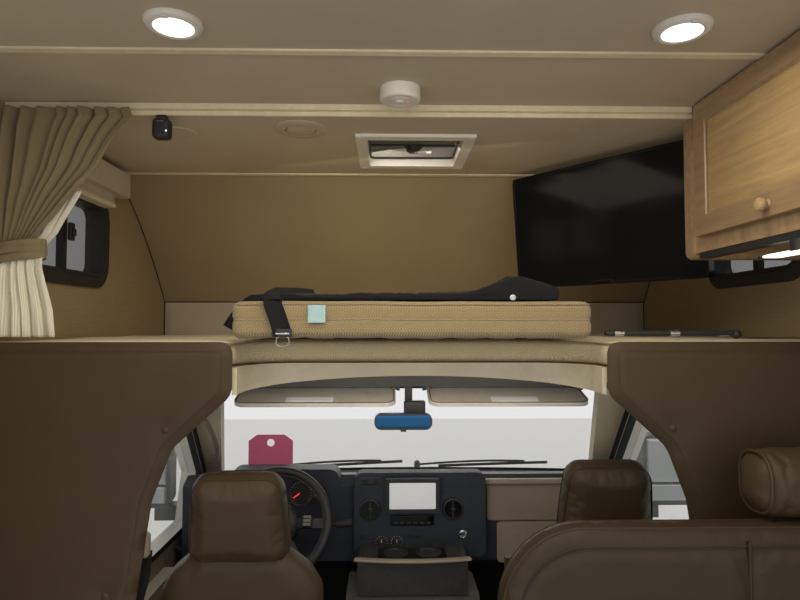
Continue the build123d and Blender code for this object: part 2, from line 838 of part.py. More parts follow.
# Cab seats: a fixed base with runners, a cushion that slides and a back that leans
hinge_rise = 450.0
back_lean = 11.0
back_thick = 110.0
back_rows = ((228.0, 15.0), (234.0, 395.0), (140.0, 500.0), (118.0, 735.0))
back_corner = 45.0
back_edge = 24.0
cushion_length = 440.0
cushion_gap = 12.0
cushion_thickness = 135.0
seat_pin_r = 10.0
pin_reach = 32.0
lug_half = 22.0
lug_low = 18.0
lug_high = 60.0
base_half = 170.0
base_y = (60.0, 400.0)
runner_x = 150.0
runner_width = 28.0
runner_height = 25.0
runner_y = (20.0, 440.0)
slider_half = 185.0
slider_thickness = 20.0
slider_y = (100.0, 420.0)
hinge_z = cab_floor_z + hinge_rise
cushion_low_z = hinge_z - cushion_thickness
runner_z = cushion_low_z - slider_thickness
seat_gap = 6.0
passenger_forward = 118.0
back_reach = back_rows[-1][1] * sin(radians(back_lean)) + back_thick / 2 * cos(radians(back_lean))
driver_y = bunk_y + seat_gap + back_reach
SEATS = (
    # name, x, station of the back's hinge
    ("driver", driver_x, driver_y),
    ("passenger", passenger_x, driver_y + passenger_forward),
)
with BuildPart() as seat_bases:
    for name, x, y in SEATS:
        slab(
            (x - base_half, x + base_half),
            (y + base_y[0], y + base_y[1]),
            (cab_floor_z, runner_z - runner_height),
        )
        for side in (-1, 1):
            slab(
                about(x + side * runner_x, runner_width),
                (y + runner_y[0], y + runner_y[1]),
                (runner_z - runner_height, runner_z),
            )
save(seat_bases.part, "seat_bases")

for name, x, y in SEATS:
    with BuildPart() as cushion:
        cushion_y = y + back_thick / 2 + cushion_gap
        slab(
            (x - cushion_half, x + cushion_half),
            (cushion_y, cushion_y + cushion_length),
            (cushion_low_z, hinge_z),
        )
        fillet(cushion.edges().group_by(Axis.Z)[-1], 40)
        for side in (-1, 1):
            slab(
                about(x + side * (cushion_half + lug / 2), lug),
                (y - lug_half - 8 * seam, cushion_y + cushion_length / 2 - 27 * seam),
                (cushion_low_z + 5 * seam, hinge_z + lug_half + 8 * seam),
            )
            with Locations(Location((x + side * (cushion_half - 15.0), y, hinge_z), (0, 90, 0))):
                Cylinder(seat_pin_r, pin_reach)
        slab(
            (x - slider_half, x + slider_half),
            (y + slider_y[0], y + slider_y[1]),
            (runner_z + seam, cushion_low_z + seam),
        )
    save(cushion.part, f"{name}_seat_cushion")

    back_plane = Plane(
        origin=(x, y, hinge_z),
        x_dir=(1, 0, 0),
        z_dir=(0, -cos(radians(back_lean)), -sin(radians(back_lean))),
    )
    with BuildPart() as seat_back:
        with BuildSketch(back_plane) as back_outline:
            with BuildLine():
                Polyline(
                    *[(half, v) for half, v in back_rows],
                    *[(-half, v) for half, v in reversed(back_rows)],
                    close=True,
                )
            make_face()
            fillet(back_outline.vertices().group_by(Axis.Y)[-1], back_corner)
        extrude(amount=back_thick / 2, both=True)
        fillet(seat_back.faces().sort_by(Axis.Y)[0].edges(), back_edge)
        for side in (-1, 1):
            lug_x = x + side * (cushion_half - 20.0)
            slab(about(lug_x, lug), about(y, 2 * lug_half), (hinge_z - lug_low, hinge_z + lug_high))
            with Locations(Location((lug_x, y, hinge_z), (0, 90, 0))):
                Cylinder(seat_pin_r + pin_clearance, 2 * lug, mode=Mode.SUBTRACT)
    save(seat_back.part, f"{name}_seat_back")

# Bench behind the passenger seat, facing rearwards
bench_width = 1006.0
bench_depth = 470.0
bench_gap = 4.0
bench_seat_rise = 440.0
bench_back_rise = 1052.0
bench_cushion = 119.0
bench_back_thick = 100.0
bench_back_radius = 190.0
bench_board = 20.0
bench_inset = 15.0
bench_right = inner_half - bench_gap
bench_left = bench_right - bench_width
bench_face_y = rear_y + bench_depth
bench_back_y = bench_face_y + bench_back_thick
bench_seat_z = floor_z + bench_seat_rise
bench_back_z = floor_z + bench_back_rise
bench_box_z = bench_seat_z - bench_cushion - seam
with BuildPart() as bench_base:
    slab(
        (bench_left + bench_inset, bench_right),
        (rear_y + bench_inset, bench_back_y),
        (floor_z, bench_box_z),
    )
    slab(
        (bench_left + 2 * bench_inset, bench_right),
        (bench_back_y, bench_back_y + bench_board),
        (floor_z, bench_back_z - bench_back_thick),
    )
save(bench_base.part, "bench_base")

with BuildPart() as bench_seat_cushion:
    slab(
        (bench_left, bench_right),
        (rear_y + bench_inset / 2, bench_face_y - 2 * seam),
        (bench_seat_z - bench_cushion, bench_seat_z),
    )
    fillet(bench_seat_cushion.edges().group_by(Axis.Z)[-1], 30)
save(bench_seat_cushion.part, "bench_seat_cushion")

with BuildPart() as bench_back_cushion:
    with BuildSketch(facing(bench_back_y - seam)) as bench_outline:
        with Locations(((bench_left + bench_right) / 2, (bench_seat_z - bench_cushion + bench_back_z) / 2)):
            Rectangle(bench_width, bench_back_z - bench_seat_z + bench_cushion)
        fillet(bench_outline.vertices().sort_by(Axis.X)[:2].sort_by(Axis.Y)[-1:], bench_back_radius)
    extrude(amount=bench_back_thick - seam)
save(bench_back_cushion.part, "bench_back_cushion")

bolster_size = (406.0, 140.0, 156.0)
bolster_radius = 45.0
with BuildPart() as bench_bolster:
    slab(
        (bench_right - bolster_size[0], bench_right),
        (bench_face_y + bench_board, bench_face_y + bench_board + bolster_size[1]),
        (bench_back_z + seam, bench_back_z + seam + bolster_size[2]),
    )
    fillet(bench_bolster.edges().filter_by(Axis.X), bolster_radius)
save(bench_bolster.part, "bench_bolster")

# Overhead cabinet, open to the aisle behind its top-hung door
cabinet_depth = 370.0
cabinet_height = 419.0
cabinet_post = 45.0
cabinet_lip = (6.0, 14.0)
post_radius = 22.0
board = 16.0
opening_lap = 30.0
door_leaf = 18.0
door_rail = 55.0
door_recess = 7.0
knob_y = 56.0
cabinet_x = inner_half - cabinet_depth
cabinet_top_z = ceiling_z - strip_drop - seam
cabinet_z = cabinet_top_z - cabinet_height + seam
cabinet_front_y = step_y - step_face - seam
leaf_y = (rear_y + 50.0, partition_y + 90.0)
leaf_z = (cabinet_z + 43.0, cabinet_top_z - 2 * seam)
leaf_x = cabinet_x - seam - door_leaf
with BuildPart() as overhead_cabinet:
    slab((cabinet_x, inner_half - seam), (rear_y, cabinet_front_y), (cabinet_z, cabinet_top_z))
    slab(
        (cabinet_x + board, inner_half - seam - board),
        (rear_y + board, cabinet_front_y - board),
        (cabinet_z + board, cabinet_top_z - board),
        mode=Mode.SUBTRACT,
    )
    slab(
        (cabinet_x - seam, cabinet_x + board + seam),
        (leaf_y[0] + opening_lap, leaf_y[1] - opening_lap),
        (leaf_z[0] + opening_lap, leaf_z[1] - opening_lap),
        mode=Mode.SUBTRACT,
    )
    with BuildSketch(facing(cabinet_front_y + cabinet_post)) as end_outline:
        end_x = (cabinet_x - cabinet_lip[0], inner_half - seam)
        end_z = (cabinet_z - cabinet_lip[1], overcab_z - seam)
        with Locations((sum(end_x) / 2, sum(end_z) / 2)):
            Rectangle(end_x[1] - end_x[0], end_z[1] - end_z[0])
        fillet(end_outline.vertices().sort_by(Axis.X)[:2].sort_by(Axis.Y)[:1], post_radius)
    extrude(amount=cabinet_post)
save(overhead_cabinet.part, "overhead_cabinet")

knob_r = 14.0
with BuildPart() as cabinet_door:
    slab((leaf_x, cabinet_x - seam), leaf_y, leaf_z)
    slab(
        (leaf_x - seam, leaf_x + door_recess),
        (leaf_y[0] + door_rail, leaf_y[1] - door_rail),
        (leaf_z[0] + door_rail, leaf_z[1] - door_rail),
        mode=Mode.SUBTRACT,
    )
    knob_place = (leaf_x, sum(leaf_y) / 2 + knob_y, leaf_z[0] + door_rail / 2)
    with Locations(Plane(origin=knob_place, z_dir=(-1, 0, 0))):
        Cylinder(knob_r / 2, knob_r, align=upward)
        with Locations((0, 0, knob_r - 2 * seam)):
            Cylinder(knob_r, knob_r - 4 * seam, align=upward)
save(cabinet_door.part, "cabinet_door")

light_bar = (28.0, 17.0)
light_inset = 2.0
lamp_r = 24.0
lamp_drop = 26.0
with BuildPart() as cabinet_light:
    light_x = (cabinet_x + light_inset, cabinet_x + light_inset + light_bar[0])
    light_low_z = cabinet_z - seam - light_bar[1]
    slab(light_x, (rear_y + 60.0, cabinet_front_y - 20.0), (light_low_z, cabinet_z - seam))
    with Locations((sum(light_x) / 2, (rear_y + cabinet_front_y) / 2, light_low_z)):
        Cylinder(lamp_r, lamp_drop, align=downward)
save(cabinet_light.part, "cabinet_light")

# Television over the passenger's side of the bunk, on the pin of an arm from the side wall
tv_size = (730.0, 40.0, 430.0)
tv_turn = -51.4
tv_tilt = 5.0
tv_wall_gap = 506.0
tv_ceiling_gap = 241.0
tv_plate = (260.0, 24.0, 220.0)
yoke = (40.0, 72.0, 12.0)
yoke_half = 68.0
arm_pin_r = 16.0
arm_pin_setback = 82.0
arm_section = (24.0, 46.0)
wall_plate = (18.0, 90.0, 180.0)
wall_plate_gap = 19.0
tv_centre = Vector(inner_half - tv_wall_gap, step_y + 373.0, overcab_z - tv_ceiling_gap)
tv_back = Vector(-sin(radians(tv_turn)), cos(radians(tv_turn)), 0)
arm_pin = tv_centre + tv_back * arm_pin_setback
arm_foot_y = window_rear_y + window_length + window_setback + wall_plate_gap + 7 * seam
arm_foot = Vector(inner_half - wall_plate[0] / 2, arm_foot_y, tv_centre.Z)
arm_run = arm_foot - arm_pin
with BuildPart() as television:
    with Locations(Location(tv_centre, (0, 0, tv_turn))):
        with Locations(Rotation(tv_tilt, 0, 0)):
            Box(*tv_size)
            with Locations((0, (tv_size[1] + tv_plate[1]) / 2, 0)):
                Box(*tv_plate)
        for side in (-1, 1):
            with Locations((0, arm_pin_setback + 1.5 * arm_pin_r - yoke[1] / 2, side * yoke_half)):
                Box(*yoke)
save(television.part, "television")
with BuildPart() as tv_arm:
    with Locations(arm_pin):
        Cylinder(arm_pin_r, 2 * yoke_half - yoke[2] - 2 * seam)
    slab(
        (inner_half - wall_plate[0], inner_half),
        about(arm_foot_y, wall_plate[1]),
        about(tv_centre.Z, wall_plate[2]),
    )
    with Locations(Location(arm_pin, (0, 0, degrees(atan2(arm_run.Y, arm_run.X))))):
        Box(arm_run.length, *arm_section, align=(Align.MIN, Align.CENTER, Align.CENTER))
save(tv_arm.part, "tv_arm")

# Vent in the bunk ceiling, and its lid on the roof
garnish = 32.0
garnish_drop = 10.0
curb = 15.0
curb_margin = 42.0
sleeve_gap = 0.5
sleeve = 5.0
lid_margin_out = 30.0
lid_wall = 15.0
lid_height = 40.0
lid_top = 13.0
lid_radius = 18.0
with BuildPart() as vent_frame:
    with Locations((0, vent_mid_y, 0)):
        for size, low, high in (
            (vent_size + 2 * garnish, overcab_z - garnish_drop, overcab_z),
            (vent_size + 2 * curb_margin, roof_z, roof_z + curb),
            (vent_size - 2 * sleeve_gap, overcab_z - seam, roof_z + seam),
        ):
            with Locations((0, 0, low)):
                Box(size, size, high - low, align=upward)
        with Locations((0, 0, overcab_z - 2 * garnish_drop)):
            Box(
                vent_size - 2 * sleeve,
                vent_size - 2 * sleeve,
                roof_z + curb + seam - overcab_z + 2 * garnish_drop,
                align=upward,
                mode=Mode.SUBTRACT,
            )
save(vent_frame.part, "vent_frame")
with BuildPart() as vent_lid:
    with Locations((0, vent_mid_y, roof_z + curb + seam)):
        Box(vent_size + 2 * lid_margin_out, vent_size + 2 * lid_margin_out, lid_height, align=upward)
        fillet(vent_lid.edges().group_by(Axis.Z)[-1], lid_radius)
        with Locations((0, 0, -seam)):
            Box(
                vent_size + 2 * lid_wall,
                vent_size + 2 * lid_wall,
                lid_height - lid_top + seam,
                align=upward,
                mode=Mode.SUBTRACT,
            )
save(vent_lid.part, "vent_lid")

# Ceiling fittings
ceiling_light_r = 60.0
ceiling_light_drop = 12.0
ceiling_light_x = 535.0
ceiling_light_setback = 345.0
with BuildPart() as ceiling_lights:
    light_y = partition_y - ceiling_light_setback
    with Locations(*[(sign * ceiling_light_x, light_y, ceiling_z) for name, sign in SIDES]):
        Cylinder(ceiling_light_r, ceiling_light_drop, align=downward)
save(ceiling_lights.part, "ceiling_lights")

alarm_r = 54.0
alarm_drop = 36.0
alarm_place = (-56.0, partition_y - 5.0, ceiling_z)
with BuildPart() as smoke_alarm:
    with Locations(alarm_place):
        Cylinder(alarm_r, alarm_drop, align=downward)
        fillet(smoke_alarm.edges().group_by(Axis.Z)[0], 8)
save(smoke_alarm.part, "smoke_alarm")

# Frames and panes of the bunk windows, both sides in one piece each
window_flange = 24.0
window_rim = 28.0
window_proud = 12.0
window_skin = 5.0
window_bar = 28.0
pane_setback = 31.0
pane_thickness = 5.0
with BuildPart() as bunk_window_frames:
    for name, sign in SIDES:
        for low, high, outer in (
            (inner_half - window_proud, inner_half, window_flange),
            (inner_half, inner_half + wall + window_skin, -seam / 2),
        ):
            with BuildSketch(beside(mirrored(sign, low, high)[0])):
                with Locations(window_mid):
                    window_outline(outer)
                    window_outline(-window_rim, mode=Mode.SUBTRACT)
            extrude(amount=high - low)
        slab(
            mirrored(sign, inner_half + 8 * seam, inner_half + pane_setback - seam),
            about(window_mid[0], window_bar),
            about(window_mid[1], window_height - 2 * window_rim + 2 * seam),
        )
save(bunk_window_frames.part, "bunk_window_frames")

with BuildPart() as bunk_window_panes:
    for name, sign in SIDES:
        pane_x = mirrored(sign, inner_half + pane_setback, inner_half + pane_setback + pane_thickness)
        with BuildSketch(beside(pane_x[0])):
            with Locations(window_mid):
                window_outline(-window_rim - seam / 2)
        extrude(amount=pane_thickness)
save(bunk_window_panes.part, "bunk_window_panes")

# Shade boxes over the bunk windows
shade_depth = 84.0
shade_height = 90.0
shade_ends = (20.0, 30.0)
with BuildPart() as shade_boxes:
    for name, sign in SIDES:
        shade_low_z = window_low_z + window_height + window_rim
        slab(
            mirrored(sign, inner_half - seam - shade_depth, inner_half - seam),
            (window_rear_y - shade_ends[0], window_rear_y + window_length + shade_ends[1]),
            (shade_low_z, shade_low_z + shade_height),
        )
save(shade_boxes.part, "shade_boxes")

# Soft things on the bunk: the folded pad and the net bag on it
pad_size = (978.0, 462.0, 105.0)
pad_x = -21.0
pad_overhang = 22.0
bag_size = (825.0, 236.0, 18.0)
bag_x = -27.5
bag_inset = 26.0
with BuildPart() as folded_pad:
    pad_y = bunk_y - pad_overhang
    slab(
        about(pad_x, pad_size[0]),
        (pad_y, pad_y + pad_size[1]),
        (mattress_z + seam, mattress_z + seam + pad_size[2]),
    )
    fillet(folded_pad.edges().group_by(Axis.Z)[-1], 22)
save(folded_pad.part, "folded_pad")

with BuildPart() as net_bag:
    bag_low_z = mattress_z + 2 * seam + pad_size[2]
    slab(
        about(bag_x, bag_size[0]),
        (pad_y + bag_inset, pad_y + bag_inset + bag_size[1]),
        (bag_low_z, bag_low_z + bag_size[2]),
    )
    fillet(net_bag.edges().group_by(Axis.Z)[-1], 8)
save(net_bag.part, "net_bag")

# Curtain at the driver's end of the bunk, gathered by its tieback, and the track it hangs from
curtain_gap = 14.0
curtain_fold = 56.0
curtain_front = 26.0
curtain_rows = (
    # height, width from the wall
    (ceiling_z - 22.0, 306.0),
    (overcab_z - 387.0, 94.0),
    (overcab_z - 412.0, 94.0),
    (mattress_z + 4.0, 144.0),
)
curtain_wall_x = curtain_gap - inner_half
with BuildPart() as curtain:
    with BuildSketch(facing(step_y - curtain_front)):
        with BuildLine():
            Polyline(
                (curtain_wall_x, curtain_rows[0][0]),
                *[(curtain_wall_x + width, z) for z, width in curtain_rows],
                (curtain_wall_x, curtain_rows[-1][0]),
                close=True,
            )
        make_face()
    extrude(amount=curtain_fold)
save(curtain.part, "curtain")

track_depth = 17.0
track_drop = 16.0
with BuildPart() as curtain_track:
    slab(
        (-inner_half, cabinet_x - 10 * seam),
        (cabinet_front_y - track_depth, cabinet_front_y),
        (ceiling_z - track_drop, ceiling_z),
    )
save(curtain_track.part, "curtain_track")
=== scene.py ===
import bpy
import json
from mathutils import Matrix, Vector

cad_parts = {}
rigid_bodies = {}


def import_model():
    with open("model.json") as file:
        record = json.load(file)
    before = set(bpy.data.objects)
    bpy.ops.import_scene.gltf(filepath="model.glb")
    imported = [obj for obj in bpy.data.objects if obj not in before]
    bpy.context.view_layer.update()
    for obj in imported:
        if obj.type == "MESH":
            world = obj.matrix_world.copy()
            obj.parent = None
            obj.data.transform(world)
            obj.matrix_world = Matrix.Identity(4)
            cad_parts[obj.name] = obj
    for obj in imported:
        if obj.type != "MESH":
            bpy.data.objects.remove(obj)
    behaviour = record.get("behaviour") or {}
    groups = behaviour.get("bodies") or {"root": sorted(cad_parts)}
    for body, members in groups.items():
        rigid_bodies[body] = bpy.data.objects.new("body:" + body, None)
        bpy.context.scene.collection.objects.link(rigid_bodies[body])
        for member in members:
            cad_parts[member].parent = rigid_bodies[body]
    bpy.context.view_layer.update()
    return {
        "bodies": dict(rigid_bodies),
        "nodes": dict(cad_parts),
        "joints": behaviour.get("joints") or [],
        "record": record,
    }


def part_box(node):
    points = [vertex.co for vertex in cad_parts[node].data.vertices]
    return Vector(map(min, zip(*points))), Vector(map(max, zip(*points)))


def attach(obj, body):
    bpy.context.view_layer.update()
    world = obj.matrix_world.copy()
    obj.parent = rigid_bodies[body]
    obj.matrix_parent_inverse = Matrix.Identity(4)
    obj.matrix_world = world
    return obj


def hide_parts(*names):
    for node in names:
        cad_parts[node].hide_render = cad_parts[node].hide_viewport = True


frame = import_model()

import json
import math

import bmesh
import bpy
import numpy as np
from mathutils import Vector
from mathutils.geometry import delaunay_2d_cdt

scene = bpy.context.scene
nodes = frame["nodes"]


# Directions
toRear = (0, -1, 0)
toFloor = (0, 0, -1)


def nodeBox(name):
    # The low and high corners of a CAD node, as arrays.
    low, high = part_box(name)
    return np.array(low, float), np.array(high, float)


# Heights and stations taken from the frame, in metres
innerHalf = -float(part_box("left_wall")[1][0])
ceilingZ = float(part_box("ceiling_lights")[1][2])
mattressTop = float(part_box("bunk_mattress")[1][2])
partitionRear = float(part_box("partitions")[0][1])
partitionFront = float(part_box("partitions")[1][1])

# Shapes: each function gives (points, faces), the points as an array of x, y, z in metres


def gridFaces(rows, columns, closeRows=False, closeColumns=False):
    # Quads between neighbouring points of a rows x columns grid, wrapped round where it closes.
    i = np.arange(rows if closeRows else rows - 1)
    j = np.arange(columns if closeColumns else columns - 1)
    a, b = np.meshgrid(i, j, indexing="ij")
    c, d = (a + 1) % rows, (b + 1) % columns
    return np.stack([a * columns + b, c * columns + b, c * columns + d, a * columns + d],
                    axis=-1).reshape(-1, 4)


def gridSurface(points, closeRows=False, closeColumns=False, flip=False):
    # A surface through a grid of points. flip turns its faces to the other side.
    faces = gridFaces(points.shape[0], points.shape[1], closeRows, closeColumns)
    return points.reshape(-1, 3), faces[:, ::-1] if flip else faces


def joined(*shells):
    # Several shapes as one.
    allPoints, allFaces, start = [], [], 0
    for points, faces in shells:
        allPoints.append(np.asarray(points, dtype=float))
        allFaces.extend((np.asarray(face) + start).tolist() for face in faces)
        start += len(points)
    return np.concatenate(allPoints), allFaces


def turned(points, angle, axis, about=(0, 0, 0)):
    # Points turned by an angle in degrees about an axis through a place: Rodrigues' formula.
    k = np.asarray(axis, float) / np.linalg.norm(axis)
    p = np.asarray(points, float) - about
    t = math.radians(angle)
    spun = p * math.cos(t) + np.cross(k, p) * math.sin(t) + np.outer(p @ k, k) * (1 - math.cos(t))
    return spun + about


def placed(shell, angle, axis, about):
    return turned(shell[0], angle, axis, about), shell[1]


def moved(shell, offset):
    return shell[0] + np.asarray(offset, float), shell[1]


def sineNoise(points, scale, seed=1, waves=9):
    # Smooth noise in -1..1: a sum of sine waves in seeded directions, scale being their length in metres.
    rng = np.random.default_rng(seed)
    directions = rng.normal(size=(waves, 3))
    rates = (2 * math.pi / scale) * rng.uniform(0.6, 1.6, (waves, 1))
    directions *= rates / np.linalg.norm(directions, axis=1, keepdims=True)
    phases = rng.uniform(0, 2 * math.pi, waves)
    return np.sin(points @ directions.T + phases).sum(axis=-1) / (0.62 * waves)


def lathe(profile, centre, axis=(0, 0, 1), steps=48):
    # A profile of (radius, height along the axis) pairs turned about an axis through the centre.
    k = Vector(axis).normalized()
    u = np.array(k.orthogonal().normalized())
    v = np.cross(k, u)
    r, h = np.array(profile, float).T
    t = np.linspace(0, 2 * math.pi, steps, endpoint=False)
    ring = np.cos(t)[:, None] * u + np.sin(t)[:, None] * v
    points = r[:, None, None] * ring + h[:, None, None] * np.array(k) + np.asarray(centre, float)
    verts, faces = gridSurface(points, closeColumns=True, flip=True)
    last = (len(profile) - 1) * steps
    return verts, faces.tolist() + [list(range(steps)), list(range(last + steps - 1, last - 1, -1))]


def roundRect(width, height, radius, perCorner=6):
    # Outline of a rounded rectangle about the origin, anticlockwise.
    t = np.linspace(0, math.pi / 2, perCorner)
    corners = []
    for k, (sx, sy) in enumerate(((1, 1), (-1, 1), (-1, -1), (1, -1))):
        angle = t + k * math.pi / 2
        cx, cy = sx * (width / 2 - radius), sy * (height / 2 - radius)
        corners.append(np.stack([cx + radius * np.cos(angle), cy + radius * np.sin(angle)], axis=-1))
    return np.concatenate(corners)


def circle(radius, steps=10):
    # Points round a circle about the origin.
    t = np.linspace(0, 2 * math.pi, steps, endpoint=False)
    return np.stack([radius * np.cos(t), radius * np.sin(t)], axis=-1)


def evenly(path, step):
    # A path resampled at an even spacing close to step.
    path = np.asarray(path, float)
    lengths = np.concatenate([[0], np.cumsum(np.linalg.norm(np.diff(path, axis=0), axis=1))])
    places = np.linspace(0, lengths[-1], max(2, int(lengths[-1] / step) + 1))
    return np.stack([np.interp(places, lengths, path[:, k]) for k in range(path.shape[1])], axis=-1)


def evenlyRound(ring, step):
    # The same for a closed ring, without its first point twice.
    return evenly(np.vstack([ring, ring[:1]]), step)[:-1]


def lineAt(x, y, z):
    # Points from their x, y and z, each an array or one number.
    return np.stack(np.broadcast_arrays(x, y, z), axis=-1).astype(float)


def sweep(profile, path, up=(0, 0, 1), closed=False, scale=None):
    # A profile carried along a path: its x goes to the side of the path, its y to the up direction.
    path = np.asarray(path, float)
    ahead = np.roll(path, -1, axis=0) - np.roll(path, 1, axis=0) if closed else np.gradient(path, axis=0)
    ahead /= np.linalg.norm(ahead, axis=1, keepdims=True)
    side = np.cross(ahead, np.asarray(up, float))
    side /= np.linalg.norm(side, axis=1, keepdims=True)
    rise = np.cross(side, ahead)
    size = np.ones(len(path)) if scale is None else np.asarray(scale, float)
    px, py = profile[:, 0], profile[:, 1]
    spread = px[None, :, None] * side[:, None] + py[None, :, None] * rise[:, None]
    points = path[:, None] + size[:, None, None] * spread
    verts, faces = gridSurface(points, closeRows=closed, closeColumns=True)
    faces = faces.tolist()
    if not closed:
        k, last = len(profile), (len(path) - 1) * len(profile)
        faces += [list(range(k)), list(range(last, last + k))[::-1]]
    return verts, faces


def tube(path, radius, steps=10, closed=False, up=None):
    # A round rod along a path. Its up is the direction that the path runs least along.
    path = np.asarray(path, float)
    if up is None:
        runs = np.diff(path, axis=0)
        up = np.linalg.eigh(runs.T @ runs)[1][:, 0]
    return sweep(circle(radius, steps), path, up, closed)


def frameStrip(size, corner, centre, axis, section, step):
    # A strip round a rounded rectangle that faces along an axis. corner is (radius, points), and
    # section is the strip's own width, depth and edge radius.
    flat = [k for k in range(3) if k != axis]
    ring = roundRect(*size, *corner)
    path = np.empty((len(ring), 3))
    path[:] = centre
    path[:, flat] += ring
    return sweep(roundRect(*section, 3), evenlyRound(path, step), np.eye(3)[axis], closed=True)


def boxGrid(size, radius, count=14, crown=(0, 0, 0), pinch=0.0):
    # A rounded box: grid points on the faces of a box are pulled onto spheres and cylinders of the
    # given radius. crown swells the faces that look along x, y and z by (1-u^2)(1-v^2), and pinch
    # draws the sides in between the corners. Points crowd towards the edges, where the shape turns.
    half = np.asarray(size, float) / 2
    r = min(radius, 0.999 * half.min())
    s = np.linspace(-1, 1, count)
    s = 0.5 * s + 0.5 * np.sin(s * math.pi / 2)
    u, v = np.meshgrid(s, s, indexing="ij")
    shells = []
    for axis in range(3):
        for sign in (-1, 1):
            unit = np.empty((count, count, 3))
            unit[..., axis] = sign
            unit[..., (axis + 1) % 3] = u
            unit[..., (axis + 2) % 3] = v
            p = unit * half
            core = np.clip(p, r - half, half - r)
            out = p - core
            p = core + r * out / np.linalg.norm(out, axis=-1, keepdims=True)
            f = 1 - np.clip(np.abs(p / half), 0, 1) ** 2
            for k in range(3):
                swell = crown[k] * f[..., (k + 1) % 3] * f[..., (k + 2) % 3]
                draw = pinch * half[k] * np.minimum(f[..., (k + 1) % 3], f[..., (k + 2) % 3]) if k < 2 else 0
                p[..., k] += np.sign(p[..., k]) * (swell - draw) * np.abs(p[..., k] / half[k]) ** 4
            shells.append(gridSurface(p, flip=sign < 0))
    return joined(*shells)


def roundedBox(low, high, radius, count=8, **swell):
    # A rounded box between two opposite corners.
    low, high = np.minimum(low, high), np.maximum(low, high)
    return moved(boxGrid(high - low, radius, count, **swell), (low + high) / 2)


def outlinePanel(outline, thickness, radius, place, step=0.02, puff=0.0, dimples=(), wrinkle=0.0):
    # A padded board: its outline lies in a plane, and its two faces stand off the middle by
    # half the thickness, rounded off like a quarter circle within radius of the edge, swollen by
    # puff away from the edge and pressed in at the dimples (u, v, depth, reach).
    # place turns (u, v, w) arrays into x, y, z.
    edge = evenlyRound(outline, step)
    a, b = edge, np.roll(edge, -1, axis=0)

    def inset(points):
        seg, rel = (b - a)[None], points[:, None] - a[None]
        t = np.clip((rel * seg).sum(-1) / (seg * seg).sum(-1), 0, 1)
        return np.linalg.norm(rel - t[..., None] * seg, axis=-1).min(axis=1)

    def inside(points):
        x, y = points[:, :1], points[:, 1:]
        crosses = (a[:, 1] > y) != (b[:, 1] > y)
        reach = (b[:, 0] - a[:, 0]) * (y - a[:, 1]) / np.where(crosses, b[:, 1] - a[:, 1], 1) + a[:, 0]
        return (crosses & (x < reach)).sum(axis=1) % 2 == 1

    low, high = edge.min(axis=0), edge.max(axis=0)
    u, v = np.meshgrid(np.arange(low[0], high[0], step), np.arange(low[1], high[1], step))
    free = np.stack([u.ravel(), v.ravel()], axis=-1)
    free = free[inside(free)]
    free = free[inset(free) > max(1.15 * radius, 0.7 * step)]
    rings = [edge]
    for share in (0.06, 0.22, 0.5, 1.0):
        normal = np.stack([(b - np.roll(edge, 1, axis=0))[:, 1], -(b - np.roll(edge, 1, axis=0))[:, 0]],
                          axis=-1)
        normal /= np.linalg.norm(normal, axis=1, keepdims=True)
        ring = edge - normal * share * radius
        rings.append(ring[inside(ring) & (inset(ring) > 0.8 * share * radius)])
    flat = np.concatenate([*rings, free])
    count = len(edge)
    borders = [(k, (k + 1) % count) for k in range(count)]
    made = delaunay_2d_cdt([Vector(p) for p in flat.tolist()], borders, [], 1, 1e-6)
    flat = np.array([tuple(p) for p in made[0]])
    triangles = [list(face) for face in made[2]]
    depth = inset(flat)
    t = np.clip(depth / radius, 0, 1)
    w = thickness / 2 - radius + radius * np.sqrt(np.clip(1 - (1 - t) ** 2, 0, 1))
    w += puff * (1 - np.exp(-depth / 0.06))
    for du, dv, deep, reach in dimples:
        away = np.hypot(flat[:, 0] - du, flat[:, 1] - dv)
        w -= deep * np.exp(-((away / reach) ** 1.3))
    if wrinkle:
        spread = np.concatenate([flat, flat[:, :1] * 0], axis=1)
        w += wrinkle * t * sineNoise(spread, 0.16, 5)
    onEdge = depth < 1e-6
    front, back = w.copy(), -w
    if radius >= thickness / 2 - 1e-9:
        front[onEdge] = back[onEdge] = 0
    points = np.concatenate([np.column_stack([flat, front]), np.column_stack([flat, back])])
    faces = triangles + [[k + len(flat) for k in face][::-1] for face in triangles]
    if radius < thickness / 2 - 1e-9:
        madeFrom = {given: k for k, found in enumerate(made[3]) for given in found}
        rim = [madeFrom[k] for k in range(count)]
        n = len(flat)
        faces += [[rim[k - 1] + n, rim[k] + n, rim[k], rim[k - 1]] for k in range(count)]
    return np.stack(place(points[:, 0], points[:, 1], points[:, 2]), axis=-1), faces


